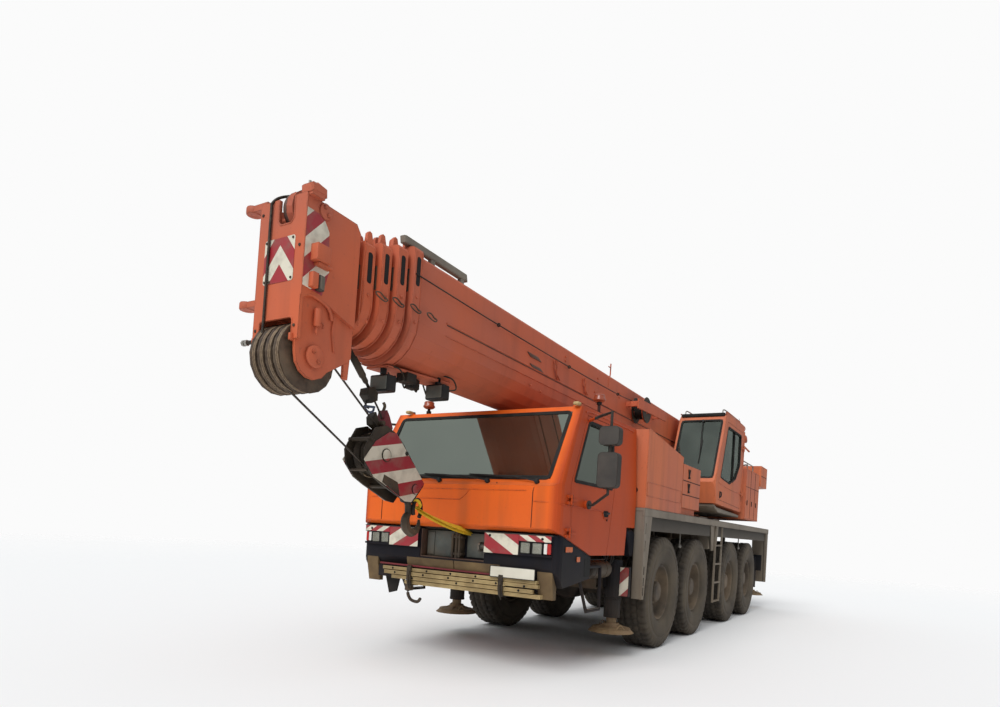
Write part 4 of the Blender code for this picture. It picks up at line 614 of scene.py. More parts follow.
def tyre_grid():
    """Points of one tyre about its own Y axis, and their pattern coordinates.

    Across the tyre runs a profile of (radius, y): bead, three-stepped side wall, shoulder, tread.
    Round it every lug has six columns. A groove lowers the radius by its depth: shoulder notches
    where the column is the first of a lug, cross grooves on alternate half pitches in the middle,
    and two lengthwise grooves that wander by a sine of the angle.
    """
    side = np.array([(0.3622, 0.138), (0.372, 0.141), (0.3795, 0.150), (0.392, 0.172), (0.398, 0.181),
                     (0.404, 0.186), (0.430, 0.197), (0.470, 0.207), (0.520, 0.2135), (0.560, 0.2145),
                     (0.583, 0.2142), (0.587, 0.2110), (0.612, 0.2095), (0.616, 0.2125), (0.640, 0.2110),
                     (0.662, 0.2080), (0.664, 0.2060), (0.690, 0.2030), (0.712, 0.1980), (0.730, 0.1900),
                     (0.741, 0.1780)])
    middle = np.array([(0.745, y) for y in (0.168, 0.140, 0.112, 0.104, 0.090, 0.076, 0.050, 0.030, 0.0)])
    half = np.concatenate([side, middle])
    profile = np.concatenate([half, (half * (1, -1))[:-1][::-1]])
    lugs, steps = 46, 6
    columns = lugs * steps
    angle = np.arange(columns) * math.tau / columns
    step = np.arange(columns) % steps
    radius = np.repeat(profile[None, :, 0], columns, 0)
    across = np.repeat(profile[None, :, 1], columns, 0)
    left_notch = np.where(step < 2, 1.0, 0.0)[:, None]
    right_notch = np.where((step + 3) % steps < 2, 1.0, 0.0)[:, None]
    notch = np.where(across > 0, left_notch, right_notch)
    shoulder = np.clip((np.abs(across) - 0.108) / 0.006, 0, 1) * np.clip((radius - 0.668) / 0.02, 0, 1)
    wander = 0.006 * np.sin(angle * lugs)[:, None]
    near = np.abs(np.abs(across) - 0.090 - wander)
    lengthwise = np.clip(1.6 - near / 0.010, 0, 1) * (radius > 0.742)
    cross = np.clip((step == 4).astype(float), 0, 1)[:, None] * (np.abs(across) < 0.07) * (radius > 0.742)
    middle_line = (np.abs(across) < 0.006) * (radius > 0.742)
    depth = 0.021 * np.maximum.reduce([notch * shoulder, lengthwise, 0.8 * cross, middle_line * 1.0])
    inward = np.where(np.abs(across) > 0.190, 0.35, 1.0)
    radius = radius - depth * inward
    across = across * (1 - 0.03 * notch * shoulder * (np.abs(across) > 0.185))
    points = np.stack([radius * np.cos(angle)[:, None], across, radius * np.sin(angle)[:, None]], -1)
    pattern = np.stack([np.repeat(angle[:, None], len(profile), 1) / math.tau,
                        np.repeat(profile[None, :, 0], columns, 0)], -1)
    return points, pattern.reshape(-1, 2)


def hexes(centre_radius, count, size, low, high, start=0.0):
    """Hexagon nuts round the Y axis: six-sided prisms of that size at even angles."""
    shapes = []
    for k in range(count):
        a = start + k * math.tau / count
        spot = (centre_radius * math.cos(a), 0.0, centre_radius * math.sin(a))
        shapes.append(turned([(0.0, low), (size, low), (size, high - 0.004), (size * 0.85, high),
                              (0.0, high)], spot, (0, 1, 0), 6, start=a))
    return shapes


def rim_shape():
    """One wheel rim turned about the Y axis, outwards +Y: lip, gutter, dished disc and planetary hub."""
    outline = [(0.0, 0.050), (0.080, 0.050), (0.080, -0.020), (0.345, -0.020), (0.345, -0.150),
               (0.366, -0.1552), (0.3715, -0.150), (0.3715, -0.1395), (0.358, -0.139), (0.358, 0.139),
               (0.3715, 0.1395), (0.3715, 0.150), (0.366, 0.1552), (0.358, 0.1548), (0.351, 0.148),
               (0.347, 0.130), (0.341, 0.085), (0.334, 0.045), (0.322, 0.022), (0.296, 0.012),
               (0.262, 0.016), (0.236, 0.026), (0.216, 0.030), (0.168, 0.030), (0.156, 0.026),
               (0.1395, 0.026), (0.1395, 0.106), (0.134, 0.118), (0.120, 0.128), (0.112, 0.1345),
               (0.0, 0.1345)]
    body = turned(outline, (0, 0, 0), (0, 1, 0), 56)
    nuts = hexes(0.190, 10, 0.0165, 0.028, 0.052)
    studs = [turned([(0.0, 0.04), (0.008, 0.04), (0.008, 0.062), (0.0, 0.062)],
                    (0.190 * math.cos(k * math.tau / 10), 0, 0.190 * math.sin(k * math.tau / 10)),
                    (0, 1, 0), 8) for k in range(10)]
    cap = hexes(0.100, 8, 0.008, 0.130, 0.1348, 0.2)
    plug = turned([(0.0, 0.13), (0.022, 0.13), (0.022, 0.1349), (0.0, 0.1349)], (0.05, 0, 0), (0, 1, 0), 10)
    return together(body, *nuts, *studs, *cap, plug)


def wheel_finish(name, base, light, dust, ring):
    """Vulcanised tyre rubber: dark where it rubs the road, dusty on its side wall, with moulded rings.

    The pattern's second coordinate is the radius before the tread is cut.
    """
    finish, tree, shader = new_finish(name)
    layer = add_node(tree, "ShaderNodeUVMap", uv_map="pattern").outputs[0]
    radius = add_node(tree, "ShaderNodeSeparateXYZ", {0: layer}).outputs["Y"]
    place = add_node(tree, "ShaderNodeTexCoord").outputs["Object"]
    mottle = noise(tree, place, 5.0, 6.0)
    colour = blend(tree, ramp(tree, mottle, 0.35, 0.68), base, light)
    drift = ramp(tree, noise(tree, place, 2.2, 6.0), 0.30, 0.62, 0.15, 0.75)
    wall = ramp(tree, radius, 0.745, 0.66, 0.25, 1.0)
    colour = blend(tree, times(tree, drift, wall), colour, dust)
    rings = add_node(tree, "ShaderNodeTexWave", {"Vector": add_node(tree, "ShaderNodeCombineXYZ",
                                                                    {"X": radius}).outputs[0],
                                                 "Scale": ring, "Distortion": 0.0},
                     wave_type="BANDS").outputs["Fac"]
    bump = add_node(tree, "ShaderNodeBump", {"Height": rings, "Strength": 0.25, "Distance": 0.003})
    fine = add_node(tree, "ShaderNodeBump", {"Height": noise(tree, place, 60.0, 3.0), "Strength": 0.3,
                                             "Distance": 0.003, "Normal": bump.outputs[0]})
    tree.links.new(colour, shader.inputs["Base Color"])
    tree.links.new(fine.outputs[0], shader.inputs["Normal"])
    shader.inputs["Roughness"].default_value = 0.88
    return finish


def dress_wheels():
    """Eight treaded tyres and nutted rims in the place of the plain ones."""
    rubber = wheel_finish("tyre_rubber_with_road_dust", "#2a2520", "#40382e", "#5f5444", 9.0)
    grid, pattern = tyre_grid()
    rim_points, rim_faces = rim_shape()
    for number, x in enumerate(AXLES, 1):
        for side, sign in BOTH_SIDES:
            place = np.array([x, sign * TYRE_Y, TYRE_RADIUS])
            flip = np.array([1.0, sign, 1.0])
            body = f"wheel_{number}_{side}"
            points, faces = surface(grid * flip + place, wrap_rows=True, wrap_columns=True)
            tyre = piece(f"treaded_tyre_{number}_{side}", (points, faces), rubber, body, 50.0,
                         pattern)
            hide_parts(f"tyre_{number}_{side}")
            rim = piece(f"nutted_rim_{number}_{side}", (rim_points * flip + place, rim_faces), WHEEL, body,
                        30.0)
            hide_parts(f"rim_{number}_{side}")


# Driver's cab

SCREEN_HALF = 1.13
DOOR_WINDOW = [(2.785, 1.99), (2.42, 2.66), (1.73, 2.66), (1.77, 1.99)]


def rounded_loop(left, right, low, high, radius, steps=6):
    """Points (a, b) round a rectangle whose corners are quarter circles of that radius."""
    turn = np.linspace(0.0, math.pi / 2, steps + 1)
    loops = []
    for a, b, quarter in ((right - radius, high - radius, 0), (left + radius, high - radius, 1),
                          (left + radius, low + radius, 2), (right - radius, low + radius, 3)):
        t = turn + quarter * math.pi / 2
        loops.append(np.stack([a + radius * np.cos(t), b + radius * np.sin(t)], -1))
    return np.concatenate(loops)


def softened(loop, radius, count=6):
    """A closed loop with each corner cut by a curve: the corner's two neighbours at that radius, blended
    by the quadratic (1-t)^2 * before + 2t(1-t) * corner + t^2 * after."""
    loop = np.asarray(loop, float)
    before, after = np.roll(loop, 1, 0) - loop, np.roll(loop, -1, 0) - loop
    first = loop + before / np.linalg.norm(before, axis=1, keepdims=True) * radius
    last = loop + after / np.linalg.norm(after, axis=1, keepdims=True) * radius
    t = np.linspace(0.0, 1.0, count)[None, :, None]
    curve = (1 - t) ** 2 * first[:, None] + 2 * t * (1 - t) * loop[:, None] + t ** 2 * last[:, None]
    return curve.reshape(-1, 2)


def grown(loop, distance):
    """A closed loop moved outwards by a distance, each point along the half angle of its two edges."""
    loop = np.asarray(loop, float)
    one, two = loop - np.roll(loop, 1, 0), np.roll(loop, -1, 0) - loop
    area = np.sum(loop[:, 0] * np.roll(loop, -1, 0)[:, 1] - np.roll(loop, -1, 0)[:, 0] * loop[:, 1])
    one = one / np.maximum(np.linalg.norm(one, axis=1, keepdims=True), 1e-9)
    two = two / np.maximum(np.linalg.norm(two, axis=1, keepdims=True), 1e-9)
    out = np.stack([(one + two)[:, 1], -(one + two)[:, 0]], -1) * np.sign(area)
    out /= np.maximum(np.linalg.norm(out, axis=1, keepdims=True), 1e-9)
    return loop + out * distance


def frame_strip(loop, inner, outer, low, high, lift):
    """A flat rubber or steel frame round a closed loop of (a, b), mapped into place by lift.

    Its section is a ring of four points: (inner, low), (inner, high), (outer, high), (outer, low),
    where inner and outer are distances out from the loop and low and high stand off the skin.
    """
    rows = [np.column_stack([grown(loop, reach), np.full(len(loop), level)]) for reach,
            level in ((inner, low), (inner, high), (outer, high), (outer, low))]
    return surface(lift(np.stack(rows, 1)), wrap_rows=True, wrap_columns=True)


def pane_in(loop, reach, low, high, lift):
    """A glass pane: the closed loop grown by reach, with its two faces at low and high."""
    rows = [np.column_stack([grown(loop, reach), np.full(len(loop), level)]) for level in (low, high)]
    return surface(lift(np.stack(rows)), wrap_columns=True, caps=True)


def slanted_lift(low, high, middle=0.0):
    """Maps (y, w, out) to a slanted screen: w runs 0 to 1 from its lower to its upper edge in (x, z)."""
    run = np.array([high[0] - low[0], high[1] - low[1]])
    square = np.array([run[1], -run[0]]) / np.linalg.norm(run)

    def lift(points):
        """(y, w, out) on the screen as (x, y, z)."""
        y, w, out = points[..., 0], points[..., 1], points[..., 2]
        return np.stack([low[0] + run[0] * w + square[0] * out, y + middle, low[1] + run[1] * w
                         + square[1] * out], -1)
    return lift


def side_lift(sign, skin=1.27, waist=1.95, lean=0.0529):
    """Maps (x, z, out) to a side wall: y is the skin, which leans in above the waist, plus out."""
    def lift(points):
        """(x, z, out) on the wall as (x, y, z)."""
        x, z, out = points[..., 0], points[..., 1], points[..., 2]
        return np.stack([x, sign * (skin - lean * np.maximum(0.0, z - waist) + out), z], -1)
    return lift


SKIN_LOW = (3.0504, 1.985)
SKIN_HIGH = (2.6308, 2.735)
ON_SCREEN = slanted_lift(SKIN_LOW, SKIN_HIGH)


SCREEN_HEIGHT = math.hypot(SKIN_HIGH[0] - SKIN_LOW[0], SKIN_HIGH[1] - SKIN_LOW[1])


def screen_loop(half, low, high, corner=0.05):
    """Round-cornered loop in (y, metres up the screen), between two shares of its height."""
    return rounded_loop(-half, half, low * SCREEN_HEIGHT, high * SCREEN_HEIGHT, corner)


def on_screen_metres(points):
    """Maps (y, metres up the screen, out) to the skin round the windscreen."""
    points = np.array(points, float)
    points[..., 1] /= SCREEN_HEIGHT
    return ON_SCREEN(points)


def wiper(pivot_y, tip_y, rise, blade):
    """A wiper: pivot boss, bent arm along the screen's foot, and a blade of two bows and a squeegee."""
    foot = np.array([pivot_y, -0.035, 0.022])
    tip = np.array([tip_y, rise, 0.030])
    reach = np.sign(tip_y - pivot_y)
    middle = foot * 0.45 + tip * 0.55 + (0, 0.012, 0.016)
    line = np.array([tip - (reach * blade * 0.45, 0.018, 0.012), tip
                     + (reach * blade * 0.55, 0.028, -0.012)])
    bow = np.array([line[0] + (0, 0, 0.002), tip + (0, 0.0, 0.012), line[1] + (0, 0, 0.002)])
    lens = on_screen_metres(foot)
    boss = turned([(0.0, -0.03), (0.026, -0.03), (0.026, 0.008), (0.018, 0.020), (0.0, 0.022)], lens,
                  (0.887, 0, 0.461), 14)
    return [boss, bar(on_screen_metres(np.array([foot, middle, tip])), 0.008, 8, bends=8),
            bar(on_screen_metres(bow), 0.007, 6, bends=7), bar(on_screen_metres(line), 0.0065, 6)]


def dress_windscreen():
    """Rubber round the screen, three wipers, and what is seen behind it: visor, shelf, seats, papers."""
    loop = screen_loop(SCREEN_HALF - 0.006, 0.010, 0.990)
    seal = frame_strip(loop, -0.026, 0.014, -0.030, 0.006, on_screen_metres)
    piece("windscreen_rubber", seal, TRIM, "carrier", 50)
    sill = slab([(3.030, 1.955), (3.052, 1.957), (3.022, 2.022), (2.998, 2.030)], -1.10, 1.10, "y", 0.004)
    piece("windscreen_sill", sill, TRIM, "carrier")
    wipers = [part for setup in ((-0.20, -0.72, 0.020, 0.62), (0.42, -0.10, 0.016, 0.60),
                                 (1.00, 0.50, 0.016, 0.60)) for part in wiper(*setup)]
    piece("windscreen_wipers", wipers, BLACK_PLASTIC, "carrier")
    visor = [rounded_box((2.52, y - 0.30, 2.56), (2.60, y + 0.30, 2.70), 0.02) for y in (-0.60, 0.60)]
    shelf = rounded_box((2.36, -1.05, 2.66), (2.58, 1.05, 2.73), 0.025)
    piece("header_shelf_and_visors", [shelf, *visor], GREY_PLASTIC, "carrier")
    seats = []
    for y in (-0.65, 0.65):
        seats.append(rounded_box((1.34, y - 0.215, 1.68), (1.50, y + 0.215, 2.28), 0.05, 5))
        seats.append(rounded_box((1.36, y - 0.12, 2.30), (1.47, y + 0.12, 2.50), 0.05, 5))
        seats.append(rounded_box((1.42, y - 0.235, 1.625), (1.94, y + 0.235, 1.735), 0.05, 5))
    piece("driver_seat_cushions", seats, UPHOLSTERY, "carrier")
    jacket = rounded_box((1.52, 0.46, 1.76), (1.64, 0.76, 2.34), 0.055, 5)
    piece("hung_red_cloth", jacket, RED_CLOTH, "carrier")
    dash = [(3.02, 1.83), (3.02, 1.90), (2.92, 1.915), (2.74, 1.945), (2.64, 1.90), (2.60, 1.78),
            (2.60, 1.60), (2.70, 1.60)]
    top = slab(dash, -1.13, 1.13, "y", 0.012)
    angle = np.linspace(0.0, math.tau, 36, endpoint=False)
    tilt = math.radians(68)
    ring = np.stack([2.45 - 0.212 * np.sin(angle) * math.sin(tilt), 0.65 + 0.212 * np.cos(angle), 1.946
                     + 0.212 * np.sin(angle) * math.cos(tilt)], -1)
    wheel = carried(ring, circle(0.014, 8), guide=(0.93, 0, 0.37), closed=True)
    spokes = [bar([(2.45, 0.65, 1.946), tuple(ring[k])], 0.012, 6, guide=(0.93, 0, 0.37))
              for k in (3, 15, 27)]
    binnacle = rounded_box((2.60, 0.40, 1.86), (2.78, 0.90, 2.03), 0.03, 4)
    piece("dashboard_top", [top, wheel, *spokes, binnacle], BLACK_PLASTIC, "carrier")
    paper = rounded_box((2.90, 0.02, 1.925), (2.98, 0.30, 1.931), 0.002, 1)
    piece("paper_on_the_dash", paper, PLATE_WHITE, "carrier")


def dress_cab_nose():
    """Pressed panel of the nose: a long raised frame, seams of its rounded corners and the lower edge."""
    x = 3.1005
    ridges = []
    for z, start, end in ((1.868, -0.90, 0.90), (1.758, -0.93, 0.10)):
        y = np.linspace(start, end, 30)
        ridges.append(bar(np.stack([x + 0 * y, y, z + 0 * y], -1), 0.0055, 6, guide=(1, 0, 0)))
    ridges.append(bar([(x, 0.10, 1.758), (x, 0.16, 1.80), (x, 0.22, 1.868)], 0.005, 6, guide=(1, 0, 0)))
    ridges.append(bar([(x, -0.93, 1.758), (x, -0.93, 1.80), (x, -0.90, 1.868)], 0.005, 6, guide=(1, 0, 0)))
    piece("nose_panel_pressing", ridges, CAB_ORANGE, "carrier", 60)
    seams = []
    for sign in (1, -1):
        line = np.array([(3.1006, sign * 0.975, z) for z in (1.505, 1.60, 1.75, 1.86)]
                        + [(3.097, sign * 0.985, 1.905), (3.075, sign * 1.01, 1.945)])
        seams.append(bar(line, 0.0042, 6, guide=(1, 0.1, 0)))
        seams.append(slab(rounded_loop(sign * 0.55 - 0.006, sign * 0.55 + 0.006, 1.935, 1.947, 0.005),
                          3.098, 3.1035, "x", 0.001))
    piece("nose_corner_seams", seams, SHADOW, "carrier", 60)
    lip = bar([(3.085, y, 1.497) for y in np.linspace(-1.15, 1.15, 24)], 0.012, 8, guide=(1, 0, 0))
    piece("nose_lower_lip", lip, CAB_ORANGE, "carrier", 60)
    belts = []
    for sign in (1, -1):
        path = [(3.1005, sign * 0.985, 1.765), (3.1000, sign * 1.10, 1.762), (3.088, sign * 1.20, 1.758),
                (3.052, sign * 1.252, 1.752), (3.00, sign * 1.2715, 1.745), (2.90, sign * 1.2722, 1.740)]
        belts.append(bar(path, 0.006, 8, bends=26))
    piece("nose_belt_line", belts, CAB_ORANGE, "carrier", 60)
    rain = []
    for sign in (1, -1):
        y = sign * (1.27 - 0.0529 * 0.80)
        rain.append(bar([(2.52, y, 2.742), (2.30, y, 2.762), (1.40, y, 2.762), (1.10, y, 2.752)], 0.009, 6,
                        bends=20))
    piece("roof_rain_gutters", rain, CAB_ORANGE, "carrier", 60)
    bumps = [rounded_box((2.575, y - 0.035, 2.795), (2.66, y + 0.035, 2.832), 0.018, 4)
             for y in (-1.06, 1.17)]
    piece("roof_edge_markers", bumps, SAND, "carrier")
    for name, spot_x, y, low in (("left", 1.90, 1.10, 2.98), ("right", 2.50, -0.86, 2.88)):
        shape = turned([(0.0, low - 0.010), (0.045, low - 0.008), (0.071, low + 0.010),
                        (0.072, low + 0.024), (0.062, low + 0.038), (0.060, low + 0.068),
                        (0.050, low + 0.078), (0.0, low + 0.082)], (spot_x, y, 0), (0, 0, 1), 28)
        piece(f"roof_beacon_{name}", shape, BEACON, "carrier")
    collars = [turned([(0.0, z - 0.012), (0.030, z - 0.012), (0.030, z + 0.02), (0.0, z + 0.02)],
                      (x0, y, 0), (0, 0, 1), 14) for x0, y, z in ((1.90, 1.10, 2.822), (1.90, 1.10, 2.955),
                                                                  (2.50, -0.86, 2.822))]
    piece("beacon_stem_collars", collars, BLACK_PLASTIC, "carrier")


def dress_driver_doors():
    """Window rubbers and panes, belt pressings, handles, and the faces of the mirrors."""
    for side, sign in BOTH_SIDES:
        door = f"driver_door_{side}"
        lift = side_lift(sign)
        window = softened(DOOR_WINDOW, 0.05)
        piece(f"door_window_rubber_{side}", frame_strip(window, -0.024, 0.010, -0.052, 0.005, lift), TRIM,
              door, 50)
        piece(f"door_pane_{side}", pane_in(window, -0.012, -0.032, -0.027, lift), DARK_GLASS, door)
        y = sign * 1.2725
        belt = bar([(2.845, y, 1.742), (2.30, y, 1.735), (2.08, y, 1.735), (2.03, y, 1.72),
                    (1.99, y, 1.655), (1.90, y, 1.655), (1.84, y, 1.66)], 0.0065, 8)
        piece(f"door_belt_pressing_{side}", belt, CAB_ORANGE, door, 60)
        bowl = slab(rounded_loop(1.855, 2.005, 1.672, 1.742, 0.028), *sorted((sign * 1.264, sign * 1.2728)),
                    "y", 0.002)
        piece(f"door_handle_bowl_{side}", bowl, SHADOW, door)
        grip = bar([(1.868, sign * 1.268, 1.718), (1.882, sign * 1.290, 1.716),
                    (1.975, sign * 1.290, 1.708), (1.992, sign * 1.268, 1.705)], 0.012, 8, guide=(0, 0, 1),
                   bends=14)
        lock = turned([(0.0, 0.0), (0.012, 0.0), (0.012, 0.006), (0.0, 0.007)], (1.90, sign * 1.272, 1.64),
                      (0, sign, 0), 12)
        piece(f"door_handle_{side}", [grip, lock], BLACK_PLASTIC, door)
        panes, backs = [], []
        for low, high in ((1.94, 2.295), (2.365, 2.555)):
            middle = sign * 1.58
            loop = rounded_loop(middle - 0.094, middle + 0.094, low + 0.014, high - 0.014, 0.035)
            panes.append(slab(loop, 2.6078, 2.6112, "x", 0.001))
            edge = rounded_loop(middle - 0.106, middle + 0.106, low + 0.002, high - 0.002, 0.043)
            backs.append(slab(edge, 2.700, 2.7105, "x", 0.005))
        piece(f"mirror_panes_{side}", panes, MIRROR, door)
        piece(f"mirror_front_ribs_{side}", backs, GREY_PLASTIC, door)
        # Painted shade: a near-black strip set into the door's shut line.
        shut = frame_strip(softened([(2.78, 1.30), (2.86, 1.95), (2.46, 2.715), (1.66, 2.715), (1.72, 1.95),
                                     (1.86, 1.20), (2.35, 1.20)], 0.02, 4), -0.0035, 0.0035, -0.035, -0.006,
                           lift)
        piece(f"door_gap_painted_shade_{side}", shut, SHADOW, "carrier", 50)


# Bumper and front gear

def bowl_in(loop, front, back):
    """A lamp bowl: rings of a loop shrunk to its middle by t, at a depth of sqrt(t) of the way back."""
    middle = loop.mean(0)
    t = np.linspace(0.0, 0.93, 9)[:, None, None]
    ring = loop[None] * (1 - t) + middle[None, None] * t
    depth = front + (back - front) * np.sqrt(t[..., 0])
    depth = np.repeat(depth, len(loop), 1)
    points = np.stack([depth, ring[..., 0], ring[..., 1]], -1)
    return surface(points, wrap_columns=True, caps=True)


def dress_lamp_boards():
    """Striped boards on both ends of the bumper with two headlamps and a two-coloured marker in each."""
    wide, narrow, bezels, bowls, lenses, whites, reds, bolts, rims = [], [], [], [], [], [], [], [], []
    for _, sign in BOTH_SIDES:
        def across(inner, outer):
            """Two distances from the middle as places along Y, lower first."""
            return sorted((sign * inner, sign * outer))
        a, b = across(0.434, 0.842)
        wide.append(slab(rounded_loop(a, b, 1.224, 1.426, 0.006, 2), 3.0903, 3.094, "x", 0.001))
        a, b = across(0.846, 1.206)
        narrow.append(slab(rounded_loop(a, b, 1.366, 1.426, 0.006, 2), 3.0903, 3.094, "x", 0.001))
        a, b = across(0.428, 1.216)
        rims.append(slab(rounded_loop(a, b, 1.4265, 1.436, 0.003, 1), 3.055, 3.094, "x", 0.002))
        for inner, outer in ((0.856, 0.978), (0.990, 1.112)):
            a, b = across(inner, outer)
            loop = rounded_loop(a + 0.007, b - 0.007, 1.246, 1.354, 0.014, 4)
            bezels.append(frame_strip(loop, -0.002, 0.0075, 3.0655, 3.0900,
                                      lambda p: np.stack([p[..., 2], p[..., 0], p[..., 1]], -1)))
            bowls.append(bowl_in(grown(loop, -0.002), 3.0845, 3.0665))
            bulb = turned([(0.0, 3.067), (0.012, 3.067), (0.011, 3.078), (0.0, 3.081)],
                          (0.0, (a + b) / 2, 1.30), (1, 0, 0), 12)
            bowls.append(bulb)
            y = np.linspace(a + 0.0075, b - 0.0075, 25)
            z = np.linspace(1.2465, 1.3535, 13)
            rib = 0.0012 * np.cos((y - a) * math.tau / 0.011)
            dome = 0.0025 * (1 - ((y - (a + b) / 2) / 0.06) ** 2)
            for k, face in enumerate((3.0855, 3.0838)):
                grid = np.stack(np.broadcast_arrays(face + (dome + rib * (1 - k))[:, None], y[:, None],
                                                    z[None, :]), -1)
                lenses.append(surface(grid))
        a, b = across(1.124, 1.160)
        whites.append(slab(rounded_loop(a, b, 1.250, 1.352, 0.006, 3), 3.066, 3.086, "x", 0.003))
        a, b = across(1.1615, 1.200)
        reds.append(slab(rounded_loop(a, b, 1.250, 1.352, 0.006, 3), 3.066, 3.086, "x", 0.003))
        for y, z in ((0.50, 1.402), (1.11, 1.396)):
            bolts.append(turned([(0.0, 3.09), (0.014, 3.09), (0.014, 3.098), (0.009, 3.103), (0.0, 3.103)],
                                (0.0, sign * y, z), (1, 0, 0), 10))
    piece("board_wide_stripes", wide, BOARD_WIDE, "carrier")
    piece("board_narrow_stripes", narrow, BOARD_NARROW, "carrier")
    piece("board_top_trims", rims, GREY_PLASTIC, "carrier")
    piece("headlamp_bezels", bezels, BLACK_PLASTIC, "carrier", 50)
    piece("headlamp_bowls", bowls, LAMP_BOWL, "carrier", 50)
    piece("headlamp_lenses", lenses, LAMP_GLASS, "carrier", 60)
    piece("marker_lamps_clear", whites, WHITE_LENS, "carrier")
    piece("marker_lamps_red", reds, RED_LENS, "carrier")
    piece("board_bolts", bolts, BLACK_PLASTIC, "carrier")


def dress_bumper():
    """Coupling and plates in the middle recess, markers on the wings, rear openings and the step treads."""
    plates = [rounded_box((2.9403, -0.405, 1.135), (2.955, -0.04, 1.418), 0.006),
              rounded_box((2.9403, 0.13, 1.150), (2.955, 0.41, 1.408), 0.006),
              rounded_box((2.950, -0.395, 1.150), (2.966, -0.30, 1.400), 0.005)]
    piece("recess_plates", plates, GREEN_GREY, "carrier")
    jaw = []
    for y in (-0.005, 0.085):
        jaw.append(rounded_box((2.945, y - 0.012, 1.14), (3.045, y + 0.012, 1.395), 0.006))
    jaw.append(turned([(0.0, 1.13), (0.020, 1.13), (0.020, 1.405), (0.013, 1.418), (0.0, 1.418)],
                      (3.02, 0.04, 0.0), (0, 0, 1), 16))
    jaw += [rounded_box((2.944, -0.03, z), (3.035, 0.11, z + 0.028), 0.008) for z in (1.165, 1.345)]
    jaw.append(bar([(3.02, 0.04, 1.41), (3.01, 0.07, 1.432), (2.985, 0.10, 1.425), (2.965, 0.12, 1.39)],
                   0.006, 6, bends=12))
    piece("tow_jaw_and_pin", jaw, IRON, "carrier")
    eye = turned([(0.030, -0.012), (0.052, -0.012), (0.052, 0.012), (0.030, 0.012), (0.030, -0.012)],
                 (3.00, 0.335, 1.275), (0, 1, 0), 24)
    stub = rounded_box((2.944, 0.318, 1.245), (2.972, 0.352, 1.305), 0.006)
    piece("rope_anchor_eye", [eye, stub], BARE_STEEL, "carrier", 50)
    channel = [rounded_box((2.942, -0.418, 1.1205), (3.052, 0.418, 1.132), 0.004),
               rounded_box((2.9403, -0.4195, 1.12), (3.050, -0.4105, 1.43), 0.003),
               rounded_box((2.9403, 0.4115, 1.12), (3.050, 0.4195, 1.43), 0.003)]
    piece("recess_floor_channel", channel, BROWN_COVER, "carrier")
    low_beam = [slab([(3.0003, 1.120), (3.062, 1.105), (3.0625, 1.085), (3.040, 0.995), (2.99, 0.992)], a,
                     b, "y", 0.004) for a, b in ((-0.60, 0.035), (0.045, 0.62))]
    piece("sand_cross_panel", low_beam, SAND_DARK, "carrier")
    for side, sign in BOTH_SIDES:
        y = sign * 1.2705
        side_lamps, glow = [], []
        for x, z, half in ((2.83, 1.305, 0.075), (2.60, 1.205, 0.038)):
            ends = sorted((y - sign * 0.002, y + sign * 0.010))
            side_lamps.append(slab(rounded_loop(x - half, x + half, z - 0.026, z + 0.026, 0.008, 3), *ends,
                                   "y", 0.003))
            ends = sorted((y - sign * 0.001, y + sign * 0.004))
            glow.append(slab(rounded_loop(x - half - 0.007, x + half + 0.007, z - 0.033, z + 0.033, 0.01,
                                          3), *ends, "y", 0.002))
        piece(f"wing_markers_{side}", side_lamps, AMBER, "carrier")
        piece(f"wing_marker_frames_{side}", glow, BLACK_PLASTIC, "carrier")
        edge = bar([(3.03, sign * 1.238, 1.437), (2.98, sign * 1.262, 1.425), (2.60, sign * 1.2675, 1.315),
                    (2.31, sign * 1.2675, 1.232)], 0.0075, 8, bends=24)
        piece(f"wing_top_edge_{side}", edge, BLUE, "carrier", 60)
        opening = slab(rounded_loop(2.285, 2.425, 1.02, 1.215, 0.012, 3),
                       *sorted((sign * 1.2662, sign * 1.2712)), "y", 0.001)
        piece(f"wing_rear_opening_{side}", opening, SHADOW, "carrier")
        tread = [bar([(x, sign * 1.215, 0.6605), (x, sign * 1.255, 0.6605)], 0.004, 6)
                 for x in np.linspace(1.93, 2.22, 13)]
        piece(f"step_tread_ribs_{side}", tread, BARE_STEEL, "carrier", 60)


def plank(y0, y1, low, high, front, back=None, tilt=0.0):
    """One board across the nose: a rounded box with two grooves on its face, dropped by tilt a metre."""
    back = front - 0.05 if back is None else back
    rise = high - low
    face = [(back, low + 0.004), (front - 0.004, low), (front, low + 0.004), (front, low + 0.32 * rise),
            (front - 0.004, low + 0.36 * rise), (front, low + 0.40 * rise), (front, low + 0.62 * rise),
            (front - 0.004, low + 0.66 * rise), (front, low + 0.70 * rise), (front, high - 0.004),
            (front - 0.004, high), (back, high - 0.004)]
    points, faces = slab(face, y0, y1, "y", 0.002)
    points[:, 2] -= tilt * points[:, 1]
    return points, faces


